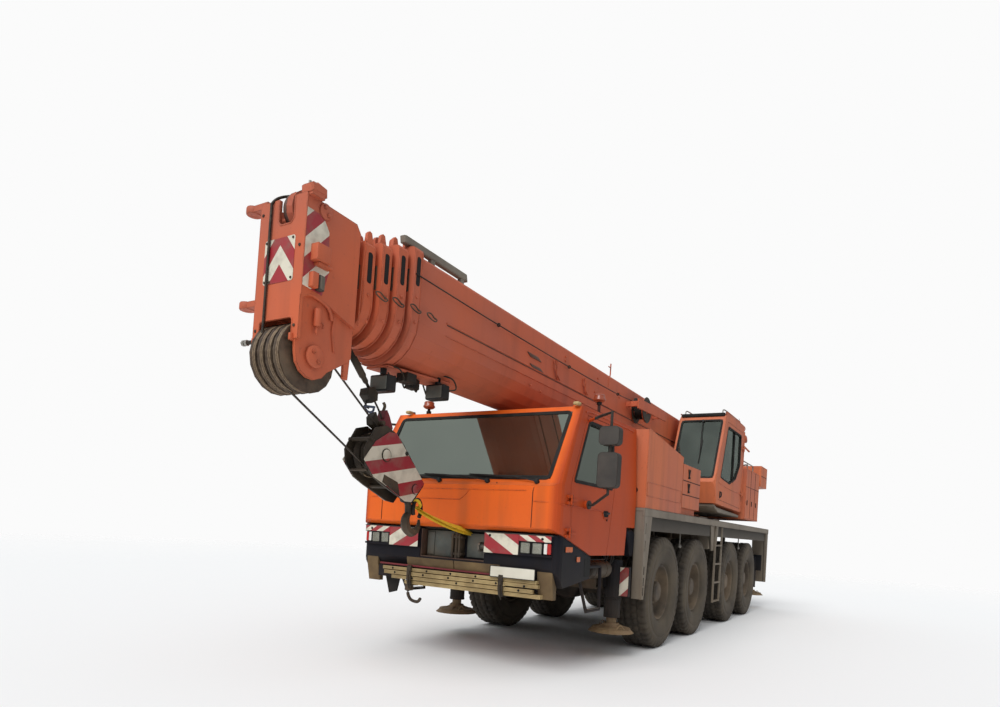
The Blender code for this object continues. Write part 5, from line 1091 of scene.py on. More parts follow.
def dress_plank_stack():
    """Sand boards carried across the nose under the bumper, strapped by dark brackets and bolted."""
    boards = [plank(-0.93, 1.06, 0.945, 0.983, 3.075), plank(-0.90, 0.70, 0.897, 0.938, 3.085),
              plank(0.62, 1.08, 0.905, 0.942, 3.080), plank(-0.80, 1.02, 0.850, 0.890, 3.070),
              plank(-0.62, 1.10, 0.802, 0.843, 3.055, 2.96)]
    piece("carried_planks", boards, SAND, "carrier")
    line = bar([(3.062, -0.98, 1.010), (3.066, 0.0, 1.006), (3.064, 0.62, 1.002)], 0.010, 8)
    piece("red_hose_line", line, CARGO_RED, "carrier", 60)
    bolts = []
    for z, places in ((0.964, (-0.78, -0.30, 0.02, 0.34)), (0.918, (-0.74, -0.34, 0.0, 0.32, 0.60, 0.93)),
                      (0.870, (-0.5, 0.1, 0.86))):
        for y in places:
            front = 3.075 if z > 0.95 else (3.085 if z > 0.9 else 3.070)
            bolts.append(turned([(0.0, front - 0.002), (0.012, front - 0.002), (0.012, front + 0.004),
                                 (0.007, front + 0.009), (0.0, front + 0.009)], (0.0, y, z), (1, 0, 0), 8))
    piece("plank_bolts", bolts, SHADOW, "carrier")
    straps = []
    for y in (-0.53, 0.66):
        straps.append(slab([(2.95, 1.03), (3.098, 1.01), (3.104, 0.99), (3.104, 0.86), (3.082, 0.79),
                            (2.95, 0.785), (2.95, 0.797), (3.072, 0.80), (3.090, 0.862), (3.090, 0.984),
                            (2.95, 1.018)], y - 0.028, y + 0.028, "y", 0.003))
        straps.append(rounded_box((3.098, y - 0.018, 0.905), (3.118, y + 0.018, 0.955), 0.006))
        straps.append(bar([(3.108, y, 0.905), (3.112, y + 0.01, 0.82), (3.100, y + 0.02, 0.76)], 0.007, 6,
                          bends=8))
    piece("plank_straps", straps, BLACK, "carrier")
    plate = slab(rounded_loop(0.53, 1.05, 0.985, 1.096, 0.010, 4), 3.0945, 3.098, "x", 0.001)
    rim = frame_strip(rounded_loop(0.53, 1.05, 0.985, 1.096, 0.010, 4), -0.004, 0.003, 3.092, 3.1002,
                      lambda p: np.stack([p[..., 2], p[..., 0], p[..., 1]], -1))
    holder = [rounded_box((3.04, y - 0.02, 1.02), (3.094, y + 0.02, 1.05), 0.004) for y in (0.62, 0.96)]
    piece("blank_plate", plate, PLATE_WHITE, "carrier")
    piece("blank_plate_rim", [rim, *holder], BLACK_PLASTIC, "carrier", 50)
    for side, sign in BOTH_SIDES:
        wedge = slab([(3.035, 0.992), (3.04, 1.085), (2.93, 0.925), (2.93, 0.80), (2.99, 0.80)],
                     *sorted((sign * 1.04, sign * 1.21)), "y", 0.006)
        piece(f"board_end_bracket_{side}", wedge, SAND_DARK, "carrier")
    hook = bar([(2.96, -0.62, 0.80), (2.97, -0.63, 0.70), (2.95, -0.60, 0.62), (2.93, -0.52, 0.60),
                (2.94, -0.47, 0.64)], 0.018, 8, bends=20)
    shank = rounded_box((2.93, -0.66, 0.72), (3.00, -0.58, 0.80), 0.012)
    piece("hanging_tow_hook", [hook, shank], IRON, "carrier", 50)
    bracket = slab([(-1.02, 0.875), (-0.80, 0.855), (-0.84, 0.69), (-0.95, 0.66)], 2.90, 2.925, "x", 0.004)
    piece("low_corner_bracket", bracket, BLACK, "carrier")


def dress_outriggers():
    """Guard boards' stripes, weld collars on the jack barrels, dished pads with handles."""
    for end, x, floor in (("front", 1.24, 0.8403), ("rear", -7.36, 0.9703)):
        for side, sign, lane in (("left", 1, -1), ("right", -1, 1)):
            middle = x + lane * 0.10
            jack = sign * 1.092
            body = f"outrigger_beam_{end}_{side}"
            ends = sorted((jack - sign * 0.066, jack + sign * 0.202))
            ahead_face = middle + 0.0303 if end == "front" else middle - 0.0343
            shape = slab(rounded_loop(ends[0], ends[1], floor - 0.094, floor + 0.254, 0.012, 4), ahead_face,
                         ahead_face + 0.004, "x", 0.001)
            piece(f"guard_stripes_{end}_{side}", shape, GUARD_STRIPES, body)
            rings = []
            for low, high, wide in ((0.475, 0.505, 0.1012), (0.70, 0.72, 0.108), (1.155, 1.184, 0.1010)):
                rings.append(turned([(wide - 0.006, low), (wide, low + 0.003), (wide, high - 0.003),
                                     (wide - 0.006, high), (wide - 0.006, low)], (middle, jack, 0),
                                    (0, 0, 1), 28))
            piece(f"jack_barrel_rings_{end}_{side}", rings, OUTRIGGER_PAINT, body)
            leg = f"jack_leg_{end}_{side}"
            pad = turned([(0.0, 0.3495), (0.075, 0.3495), (0.080, 0.405), (0.095, 0.41), (0.105, 0.372),
                          (0.215, 0.352), (0.232, 0.3535), (0.236, 0.347), (0.0, 0.347)], (middle, jack, 0),
                         (0, 0, 1), 36)
            ribs = []
            for k in range(6):
                a = k * math.tau / 6 + 0.3
                way = np.array([math.cos(a), math.sin(a)])
                side_way = np.array([-way[1], way[0]]) * 0.005
                foot = [(0.085, 0.352), (0.20, 0.352), (0.20, 0.357), (0.090, 0.395)]
                rows = [[(middle + way[0] * r + s * side_way[0], jack + way[1] * r + s * side_way[1], z)
                         for r, z in foot] for s in (-1, 1)]
                ribs.append(surface(np.array(rows), wrap_columns=True, caps=True))
            grips = []
            for turn in (0.9, 4.0):
                a = np.linspace(turn - 0.22, turn + 0.22, 10)
                lift = 0.05 * np.sin(np.linspace(0, math.pi, 10))
                grips.append(bar(np.stack([middle + 0.225 * np.cos(a), jack + 0.225 * np.sin(a), 0.352
                                           + lift], -1), 0.007, 8))
            piece(f"pad_dish_{end}_{side}", [pad, *ribs, *grips], PAD, leg, 35)


# Deck, covers and what hangs under them

def cover_top(x):
    """Height of the engine cover's sloping top at x."""
    return 2.825 - (0.88 - x) * (2.825 - 2.655) / 1.48


def dress_engine_covers():
    """Pressed lines, latches, hinges, knobs and grilles of the engine cover and the box behind it."""
    grooves, ribs, knobs, rubbers, shadows, caps = [], [], [], [], [], []
    for _, sign in BOTH_SIDES:
        y = sign * 1.3655
        for z, start, end in ((2.165, -0.55, 0.88), (1.992, -0.56, 0.88)):
            grooves.append(bar([(start, y, z), (0.2, y, z + 0.002), (end, y, z)], 0.0055, 6))
        for points in (((-0.56, 2.165), (-0.56, 1.992)), ((0.885, 2.165), (0.885, 1.992))):
            grooves.append(bar([(points[0][0], y, points[0][1]), (points[1][0], y, points[1][1])], 0.0045,
                               6))
        edge = [(0.925, y - sign * 0.004, 1.86), (0.925, y - sign * 0.004, 2.812)]
        ribs.append(bar(edge, 0.007, 6))
        top = np.array([(x, y - sign * 0.006, cover_top(x) - 0.004) for x in np.linspace(0.86, -0.58, 12)])
        ribs.append(bar(top, 0.008, 6))
        knobs.append(turned([(0.0, 0.93), (0.030, 0.93), (0.034, 0.938), (0.030, 0.956), (0.0, 0.960)],
                            (0.0, sign * 1.23, 2.06), (1, 0, 0), 18))
        knobs.append(rounded_box((0.930, sign * 1.02 - 0.05, 2.50), (0.944, sign * 1.02 + 0.05, 2.53),
                                 0.006))
        for z in (2.335, 2.130):
            shadows.append(bar([(-1.555, sign * 1.3602, z), (-0.645, sign * 1.3602, z)], 0.0065, 6))
            shadows.append(bar([(-0.6405, sign * (1.354), z), (-0.6405, sign * 0.67, z)], 0.005, 6,
                               guide=(1, 0, 0)))
        for z in (2.455, 2.245):
            for lean in (-1, 1):
                strap = slab([(-0.93 + lean * 0.028, z + 0.062), (-0.93 + lean * 0.055, z + 0.055),
                              (-0.93 + lean * 0.012, z - 0.062), (-0.93 - lean * 0.012, z - 0.062)],
                             *sorted((sign * 1.3603, sign * 1.372)), "y", 0.002)
                rubbers.append(strap)
            rubbers.append(rounded_box((-0.965, min(sign * 1.3603, sign * 1.376), z - 0.078),
                                       (-0.895, max(sign * 1.3603, sign * 1.376), z - 0.048), 0.005))
        shadows.append(bar([(-0.622, sign * 1.31, 1.86), (-0.622, sign * 1.31, 2.56)], 0.010, 6))
        for x in (-0.30, 0.15, 0.60):
            caps.append(rounded_box((x - 0.045, sign * 0.548 - 0.012, cover_top(x) - 0.04),
                                    (x + 0.045, sign * 0.548 + 0.012, cover_top(x) + 0.004), 0.006))
        for k in range(9):
            x = 0.10 + 0.06 * k
            height = cover_top(x)
            caps.append(slab([(x, height + 0.0005), (x + 0.040, height + 0.0045),
                              (x + 0.040, height + 0.012), (x + 0.030, height + 0.013)],
                             *sorted((sign * 0.72, sign * 1.20)), "y", 0.001))
    piece("engine_cover_pressings", [*grooves, *ribs], ORANGE, "carrier", 60)
    piece("engine_cover_knobs", knobs, BLACK_PLASTIC, "carrier")
    piece("box_lid_gaps", shadows, SHADOW, "carrier", 60)
    piece("box_rubber_latches", rubbers, TRIM, "carrier")
    piece("cover_hinges_and_louvres", caps, ORANGE, "carrier")
    pipe = bar([(-0.10, -0.34, 2.09), (-0.10, -0.34, 2.40), (-0.14, -0.36, 2.58), (-0.30, -0.42, 2.66)],
               0.055, 16, guide=(0, 1, 0), bends=18)
    shield = turned([(0.072, 0.0), (0.078, 0.004), (0.078, 0.296), (0.072, 0.30), (0.072, 0.0)],
                    (-0.10, -0.34, 2.105), (0, 0, 1), 24)
    piece("exhaust_stack", [pipe, shield], BARE_STEEL, "carrier")
    filler = turned([(0.0, 2.09), (0.13, 2.09), (0.135, 2.11), (0.135, 2.30), (0.12, 2.325), (0.0, 2.33)],
                    (0.45, 0.20, 0), (0, 0, 1), 28)
    hose = bar([(0.45, 0.20, 2.20), (0.25, 0.12, 2.24), (0.05, 0.0, 2.20), (-0.10, -0.10, 2.10)], 0.045, 12,
               bends=16)
    piece("air_filter_and_hose", [filler, hose], BLACK, "carrier")


def dress_deck():
    """Hooks between the wheels, weld lips, drain lips, tread pattern, and ladder treads."""
    hooks, lips, treads, rail = [], [], [], []
    for _, sign in BOTH_SIDES:
        y = sign * 1.305
        for x in (-0.83, -4.83):
            hooks.append(bar([(x, y, 1.60), (x, y, 1.40)], 0.010, 8, guide=(0, 1, 0)))
            hooks.append(turned([(0.0, 1.352), (0.020, 1.352), (0.028, 1.370), (0.024, 1.400),
                                 (0.0, 1.404)], (x, y, 0), (0, 0, 1), 12))
            hooks.append(bar([(x - 0.045, y, 1.372), (x + 0.045, y, 1.372)], 0.010, 8))
        edge = sign * 1.3755
        lips.append(bar([(-7.72, edge - sign * 0.004, 1.748), (0.70, edge - sign * 0.004, 1.748)], 0.006,
                        6))
        lips.append(bar([(-7.72, edge - sign * 0.004, 1.832), (0.93, edge - sign * 0.004, 1.832)], 0.005,
                        6))
        for z in (0.45, 0.77, 1.09, 1.41):
            for x in np.linspace(-3.16, -2.80, 10):
                treads.append(rounded_box((x - 0.008, sign * 1.355 - 0.018, z + 0.0105),
                                          (x + 0.008, sign * 1.355 + 0.018, z + 0.017), 0.003, 1))
        box = rounded_box((-2.94, min(sign * 1.10, sign * 1.30), 1.34),
                          (-2.56, max(sign * 1.10, sign * 1.30), 1.60), 0.02)
        rail.append(box)
        rail.append(bar([(-2.20, sign * 1.22, 1.845), (-2.20, sign * 1.22, 1.868),
                         (-2.62, sign * 1.22, 1.868), (-2.62, sign * 1.22, 1.845)], 0.009, 8,
                        guide=(0, 1, 0)))
        rail.append(bar([(-3.12, sign * 1.22, 1.845), (-3.12, sign * 1.22, 1.868),
                         (-3.50, sign * 1.22, 1.868), (-3.50, sign * 1.22, 1.845)], 0.009, 8,
                        guide=(0, 1, 0)))
    piece("hanging_hooks", hooks, BARE_STEEL, "carrier")
    piece("deck_edge_lips", lips, DECK_PAINT, "carrier", 60)
    piece("ladder_treads", treads, DECK_PAINT, "carrier")
    piece("deck_lockers_and_grips", rail, DECK_PAINT, "carrier")
    x, y = np.meshgrid(np.arange(-7.6, -2.9, 0.145), np.arange(-1.28, 1.29, 0.145), indexing="ij")
    far = np.hypot(x + 4.30, y) > 0.80
    studs = []
    for px, py in zip(x[far], y[far]):
        lean = 0.02 if (round(px / 0.145) + round(py / 0.145)) % 2 else -0.02
        studs.append(((px - 0.02, py - lean), (px + 0.02, py + lean)))
    studs = np.array(studs)
    along = studs[:, 1] - studs[:, 0]
    side = np.stack([-along[:, 1], along[:, 0]], -1) * 0.16
    ends = np.stack([studs[:, 0], studs[:, 0] * 0.5 + studs[:, 1] * 0.5 + side, studs[:, 1],
                     studs[:, 0] * 0.5 + studs[:, 1] * 0.5 - side], 1)
    count = len(studs)
    low = np.concatenate([ends, np.full((count, 4, 1), 1.8395)], -1)
    peak = np.concatenate([ends.mean(1), np.full((count, 1), 1.8455)], -1)
    points = np.concatenate([low.reshape(-1, 3), peak])
    base = np.arange(count)[:, None] * 4
    faces = [tuple(f) for k in range(4) for f in np.concatenate([base + k, base + (k + 1) % 4, 4 * count
                                                                 + base // 4], 1).tolist()]
    faces += [tuple(f) for f in (base + np.array([3, 2, 1, 0])).tolist()]
    piece("deck_tread_pattern", (points, faces), DECK_PAINT, "carrier", 20)
    slots = [bar([(0.8665, sign * 1.3752, z - 0.05), (0.8665, sign * 1.3752, z + 0.05)], 0.004, 6) for _,
             sign in BOTH_SIDES for z in (1.06, 0.92, 0.80)]
    piece("leg_bolt_slots", slots, SHADOW, "carrier")
    for side, sign in BOTH_SIDES:
        fairing = slab([(1.02, 1.56), (1.235, 1.56), (1.225, 1.50), (1.10, 1.36), (1.06, 1.245),
                        (0.985, 1.225), (0.955, 1.30), (0.952, 1.52)], *sorted((sign * 1.12, sign * 1.262)),
                       "y", 0.02)
        piece(f"cab_tail_fairing_{side}", fairing, BLUE, "carrier")
        hoses = []
        for k, (x, z) in enumerate(((1.52, 1.20), (1.60, 1.17), (1.70, 1.22))):
            hoses.append(bar([(x, sign * (0.60 + 0.1 * k), z), (x - 0.06, sign * 0.98, z - 0.12),
                              (x - 0.15, sign * 1.13, z - 0.06), (x - 0.18, sign * 1.16, z + 0.10)], 0.014,
                             8, bends=22))
        piece(f"cab_mount_hoses_{side}", hoses, TRIM, "carrier")
        tank = turned([(0.0, 1.46), (0.09, 1.46), (0.105, 1.475), (0.105, 2.03), (0.09, 2.045),
                       (0.0, 2.045)], (0, sign * 1.09, 1.075), (1, 0, 0), 26)
        caps = [turned([(0.1055, x), (0.109, x + 0.004), (0.109, x + 0.030), (0.1055, x + 0.034),
                        (0.1055, x)], (0, sign * 1.09, 1.075), (1, 0, 0), 26) for x in (1.58, 1.88)]
        piece(f"air_tank_{side}", [tank, *caps], BLACK, "carrier")


# Crane cab and turntable

CRANE_DOOR_WINDOW = [(-3.10, 2.62), (-3.50, 3.58), (-4.62, 3.58), (-4.62, 3.00), (-4.30, 2.70),
                     (-3.80, 2.56)]
CRANE_CAB_Y = 0.8875


def dress_crane_cab():
    """Rubbers, panes, roof edge, rails, door bar and handle, lamp box, under-tray, seat and antenna."""
    lift = side_lift(1, 1.30, 5.0)
    window = softened(CRANE_DOOR_WINDOW, 0.05)
    piece("crane_door_rubber", frame_strip(window, -0.016, 0.010, -0.045, 0.004, lift), TRIM,
          "crane_cab_door", 50)
    piece("crane_door_pane", pane_in(window, -0.008, -0.028, -0.022, lift), GLASS, "crane_cab_door")
    bars = [rounded_box((-4.085, 1.262, 2.60), (-4.060, 1.303, 3.585), 0.006)]
    piece("crane_door_window_bar", bars, TRIM, "crane_cab_door")
    recess = slab(rounded_loop(-3.155, -3.075, 2.245, 2.375, 0.025), 1.294, 1.3025, "y", 0.002)
    piece("crane_door_handle_recess", recess, SHADOW, "crane_cab_door")
    grip = bar([(-3.135, 1.298, 2.36), (-3.135, 1.322, 2.345), (-3.120, 1.322, 2.28),
                (-3.112, 1.298, 2.265)], 0.011, 8, guide=(1, 0, 0), bends=14)
    piece("crane_door_handle", grip, BLACK_PLASTIC, "crane_cab_door")
    pressing = bar([(-3.02, 1.3015, 2.515), (-3.60, 1.3015, 2.470), (-4.74, 1.3015, 2.440)], 0.0055, 6)
    piece("crane_door_pressing", pressing, ORANGE, "crane_cab_door", 60)
    # Painted shade: a near-black strip set into the crane door's shut line.
    shut = softened([(-3.00, 2.22), (-2.98, 2.52), (-3.46, 3.66), (-4.72, 3.66), (-4.78, 2.16)], 0.02, 4)
    piece("crane_door_gap_seal", frame_strip(shut, -0.0035, 0.0035, -0.035, -0.006, lift), SHADOW,
          "superstructure", 50)
    plane = slanted_lift((-2.735, 2.57), (-3.245, 3.67), CRANE_CAB_Y)
    height = math.hypot(0.51, 1.10)

    def on_plane(points):
        """(y, metres up the screen, out) as (x, y, z)."""
        points = np.array(points, float)
        points[..., 1] /= height
        return plane(points)
    loop = rounded_loop(-0.360, 0.360, 0.012, height - 0.012, 0.05)
    piece("crane_screen_rubber", frame_strip(loop, -0.014, 0.018, -0.014, 0.006, on_plane), TRIM,
          "superstructure", 50)
    arm = [bar(on_plane(np.array([(0.02, 1.19, 0.016), (0.05, 0.80, 0.022), (0.07, 0.55, 0.016)])), 0.007,
               8, bends=8), bar(on_plane(np.array([(0.07, 0.80, 0.010), (0.07, 0.30, 0.010)])), 0.008, 6),
           turned([(0.0, -0.01), (0.022, -0.01), (0.022, 0.024), (0.0, 0.028)],
                  on_plane(np.array((0.02, 1.19, 0.0))), (0.907, 0, 0.421), 12)]
    piece("crane_screen_wiper", arm, BLACK_PLASTIC, "superstructure")
    roof = [rounded_box((-3.43, 0.500, 3.735), (-3.255, 1.276, 3.8012), 0.018)]
    piece("crane_roof_front_trim", roof, TRIM, "superstructure")
    gutter = [bar([(-3.33, y, 3.792), (-3.40, y, 3.803), (-4.82, y, 3.803), (-4.885, y, 3.72)], 0.010, 8,
                  bends=20) for y in (0.482, 1.293)]
    piece("crane_roof_gutters", gutter, ORANGE, "superstructure", 60)
    rails = []
    for y in (0.56, 1.23):
        rails.append(bar([(-3.30, y, 3.80), (-3.34, y, 3.862), (-3.60, y, 3.880), (-4.20, y, 3.872),
                          (-4.72, y, 3.845), (-4.80, y, 3.80)], 0.011, 8, guide=(0, 1, 0), bends=34))
    piece("crane_roof_grab_rails", rails, GALVANISED, "superstructure")
    antenna = bar([(-4.86, 1.18, 3.76), (-4.87, 1.18, 3.86), (-4.90, 1.18, 3.975)], 0.004, 6,
                  guide=(0, 1, 0))
    piece("cab_antenna", antenna, BLACK_PLASTIC, "superstructure")
    case = rounded_box((-2.835, 1.02, 2.330), (-2.765, 1.20, 2.425), 0.012)
    lens = rounded_box((-2.775, 1.05, 2.345), (-2.758, 1.17, 2.410), 0.006)
    piece("cab_nose_lamp_box", case, BLACK_PLASTIC, "superstructure")
    piece("cab_nose_lamp_lens", lens, LAMP_BOWL, "superstructure")
    tray = slab([(-2.88, 2.085), (-2.87, 2.13), (-3.05, 2.085), (-4.86, 2.035), (-4.86, 1.985),
                 (-3.20, 1.995)], 0.52, 1.275, "y", 0.012)
    piece("cab_under_tray", tray, DECK_PAINT, "superstructure")
    frame_edges = [bar([(-4.885, 1.300, 2.12), (-4.885, 1.300, 3.70)], 0.012, 8, guide=(1, 0, 0)),
                   bar([(-2.860, 1.296, 2.16), (-2.735, 1.296, 2.50), (-2.80, 1.2975, 2.66),
                        (-3.27, 1.2975, 3.71)], 0.013, 8, guide=(0, 1, 0)),
                   bar([(-2.860, 0.480, 2.16), (-2.735, 0.480, 2.50), (-2.80, 0.4775, 2.66),
                        (-3.27, 0.4775, 3.71)], 0.013, 8, guide=(0, 1, 0))]
    piece("crane_cab_corner_tubes", frame_edges, ORANGE, "superstructure", 60)
    inner = side_lift(1, 0.475, 5.0)
    left = softened([(-3.15, 2.75), (-3.52, 3.55), (-4.6, 3.55), (-4.6, 2.75)], 0.05)
    piece("crane_side_pane", pane_in(left, -0.002, 0.012, 0.018, inner), GLASS, "superstructure")
    piece("crane_side_rubber", frame_strip(left, -0.016, 0.012, -0.006, 0.042, inner), TRIM,
          "superstructure", 50)

    def rear(points):
        """(y, z, out) on the rear wall as (x, y, z)."""
        return np.stack([-4.90 + points[..., 2], points[..., 0], points[..., 1]], -1)
    back = rounded_loop(CRANE_CAB_Y - 0.28, CRANE_CAB_Y + 0.28, 2.9, 3.5, 0.03)
    piece("crane_rear_pane", pane_in(back, -0.002, 0.012, 0.018, rear), GLASS, "superstructure")
    piece("crane_rear_rubber", frame_strip(back, -0.016, 0.012, -0.006, 0.042, rear), TRIM,
          "superstructure", 50)
    y = CRANE_CAB_Y
    seat = [rounded_box((-4.45, y - 0.225, 2.625), (-3.93, y + 0.225, 2.72), 0.045, 5),
            rounded_box((-4.56, y - 0.215, 2.66), (-4.40, y + 0.215, 3.27), 0.055, 5),
            rounded_box((-4.55, y - 0.12, 3.28), (-4.44, y + 0.12, 3.44), 0.04, 5)]
    piece("crane_seat_cushions", seat, UPHOLSTERY, "superstructure")
    boxes = [rounded_box((-4.25, y + s * 0.30 - 0.055, 2.62), (-3.72, y + s * 0.30 + 0.055, 2.80), 0.03, 4)
             for s in (-1, 1)]
    sticks = [bar([(-3.80, y + s * 0.30, 2.79), (-3.78, y + s * 0.30, 2.92)], 0.012, 8, guide=(0, 1, 0))
              for s in (-1, 1)]
    knobs = [rounded_box((-3.81, y + s * 0.30 - 0.022, 2.91), (-3.75, y + s * 0.30 + 0.022, 3.00), 0.02, 4)
             for s in (-1, 1)]
    panel = [slab([(-3.05, 2.14), (-2.92, 2.54), (-2.98, 2.60), (-3.10, 2.58), (-3.20, 2.14)], 0.55, 1.21,
                  "y", 0.012), rounded_box((-3.18, 0.56, 2.86), (-3.10, 0.76, 3.04), 0.015)]
    piece("crane_cab_controls", [*boxes, *sticks, *knobs, *panel], BLACK_PLASTIC, "superstructure")
    lamp = turned([(0.0, 3.525), (0.058, 3.525), (0.067, 3.545), (0.0675, 3.585), (0.058, 3.640),
                   (0.040, 3.672), (0.0, 3.684)], (-5.14, 1.24, 0), (0, 0, 1), 26)
    piece("rear_beacon_lens", lamp, BEACON, "superstructure")


def dress_turntable():
    """Covers' seams, handrails, hinges, hoses and the ring's bolts; the counterweight's seams and lugs."""
    gaps, ribs, grips, bolts = [], [], [], []
    y = 1.3705
    for x in (-5.42, -5.86):
        gaps.append(bar([(x, y, 1.985), (x, y, 2.965)], 0.0045, 6))
    gaps.append(bar([(-6.29, y, 2.62), (-4.98, y, 2.62)], 0.0045, 6))
    for x in (-4.40, -5.20, -5.85):
        gaps.append(bar([(x, -y, 1.985), (x, -y, 2.69)], 0.0045, 6))
    ribs += [bar([(x0, s * y, z), (x1, s * y, z)], 0.007, 6) for s, x0, x1,
             z in ((1, -6.28, -4.99, 2.972), (1, -6.28, -4.99, 1.975), (-1, -6.28, -3.62, 2.692),
                   (-1, -6.28, -3.62, 1.975))]
    for x, z in ((-5.10, 2.30), (-5.55, 2.30), (-6.0, 2.30)):
        grips.append(rounded_box((x - 0.012, 1.3703, z - 0.05), (x + 0.012, 1.384, z + 0.05), 0.005))
    for x, z in ((-4.0, 2.25), (-4.8, 2.25), (-5.5, 2.25)):
        grips.append(rounded_box((x - 0.012, -1.384, z - 0.05), (x + 0.012, -1.3703, z + 0.05), 0.005))
    angle = np.arange(40) * math.tau / 40
    for a in angle:
        bolts.append(turned([(0.0, 1.925), (0.018, 1.925), (0.018, 1.945), (0.013, 1.952), (0.0, 1.952)],
                            (-4.30 + 0.638 * math.cos(a), 0.638 * math.sin(a), 0.0), (0, 0, 1), 6, start=a))
    slots = []
    for k in range(10):
        z = 2.10 + 0.055 * k
        slots.append(slab([(-3.5995, z), (-3.588, z + 0.006), (-3.588, z + 0.014), (-3.5995, z + 0.034)],
                          -1.20, -0.60, "y", 0.001))
        slots.append(slab([(-6.3005, z), (-6.312, z + 0.006), (-6.312, z + 0.014), (-6.3005, z + 0.034)],
                          0.62, 1.20, "y", 0.001))
    piece("housing_panel_gaps", gaps, SHADOW, "superstructure", 60)
    piece("housing_folded_edges", [*ribs, *slots], ORANGE, "superstructure", 60)
    piece("housing_latches", grips, BLACK_PLASTIC, "superstructure")
    piece("slewing_ring_bolts", bolts, IRON, "superstructure", 30)
    rail = [bar([(-5.05, 1.24, 2.98), (-5.05, 1.24, 3.16), (-6.20, 1.24, 3.16), (-6.20, 1.24, 2.98)], 0.012,
                8, guide=(0, 1, 0)), bar([(-3.75, -1.24, 2.70), (-3.75, -1.24, 3.02), (-6.20, -1.24, 3.02),
                                          (-6.20, -1.24, 2.70)], 0.012, 8, guide=(0, 1, 0))]
    rail += [bar([(x, s * 1.24, low), (x, s * 1.24, high)], 0.010, 8, guide=(0, 1, 0)) for x, s, low,
             high in ((-5.62, 1, 2.98, 3.16), (-4.55, -1, 2.70, 3.02), (-5.40, -1, 2.70, 3.02))]
    piece("housing_handrails", rail, GALVANISED, "superstructure")
    hoses = []
    for k in range(4):
        y0 = 0.22 + 0.045 * k
        hoses.append(bar([(-3.60, y0, 2.07), (-3.95, y0, 2.12), (-4.35, y0, 2.20), (-4.75, y0 + 0.02, 2.34),
                          (-5.20, y0 + 0.02, 2.40), (-5.60, y0, 2.30)], 0.016, 8, bends=30))
    piece("turntable_hoses", hoses, TRIM, "superstructure")
    wrap = np.linspace(0.0, 12 * math.tau, 12 * 24)
    drum = np.stack([-6.66 + 0.152 * np.cos(wrap), -0.35 + 0.70 * wrap / wrap[-1], 2.44
                     + 0.152 * np.sin(wrap)], -1)
    piece("winch_rope_turns", carried(drum, circle(0.014, 6), guide=(0, 1, 0)), WIRE, "superstructure",
          60)
    details = [bar([(-6.4600, s * 1.20, 2.78), (-6.4600, s * 1.20, 3.17)], 0.006, 6, guide=(0, 1, 0))
               for s in (1, -1)]
    details.append(bar([(-7.16, 1.3702, 2.98), (-6.48, 1.3702, 2.98)], 0.006, 6))
    details.append(bar([(-7.16, -1.3702, 2.98), (-6.48, -1.3702, 2.98)], 0.006, 6))
    piece("counterweight_joint_lines", details, SHADOW, "superstructure", 60)
    eyes = []
    for s in (1, -1):
        a = np.linspace(0.0, math.pi, 14)
        eyes.append(bar(np.stack([-6.86 + 0 * a, s * 0.95 + 0.07 * np.cos(a), 3.195 + 0.075 * np.sin(a)],
                                 -1), 0.016, 8, guide=(1, 0, 0)))
        for x in (-6.62, -7.10):
            eyes.append(turned([(0.0, 3.198), (0.030, 3.198), (0.030, 3.212), (0.022, 3.222), (0.0, 3.222)],
                               (x, s * 0.95, 0), (0, 0, 1), 6))
    piece("counterweight_lifting_eyes", eyes, IRON, "superstructure")
    lamps, frames = [], []
    for _, s in BOTH_SIDES:
        lamps.append(slab(rounded_loop(s * 1.02 - 0.07, s * 1.02 + 0.07, 2.85, 2.93, 0.01, 3), -7.392,
                          -7.3803, "x", 0.003))
        frames.append(slab(rounded_loop(s * 1.02 - 0.08, s * 1.02 + 0.08, 2.84, 2.94, 0.012, 3), -7.386,
                           -7.3800, "x", 0.001))
    piece("counterweight_lamps", lamps, RED_LENS, "superstructure")
    piece("counterweight_lamp_frames", frames, BLACK_PLASTIC, "superstructure")


# Boom

COLLAR_PITCH = 0.155     # from one section's mouth to the next
COLLAR_PROUD = 0.0352    # collar's side off the section's side


def section_half(number):
    """Half width and half height of a telescopic section's outside, counted from the base section 0."""
    return BOOM_HALF - BOOM_STEP * number, BOOM_UP - BOOM_STEP * number


def section_outline(half, up, middle, steps=16):
    """Section of the boom in (y, v): flat top with small corners over a half round belly."""
    corner = 0.05
    turn = np.linspace(0.0, math.pi / 2, 6)
    right = np.stack([half - corner + corner * np.cos(turn), up - corner + corner * np.sin(turn)], -1)
    belly = np.linspace(math.pi, math.tau, steps)
    round_under = np.stack([half * np.cos(belly), middle + (up + middle) * np.sin(belly)], -1)
    left = (right * (-1, 1))[::-1]
    return np.concatenate([right, left, round_under])


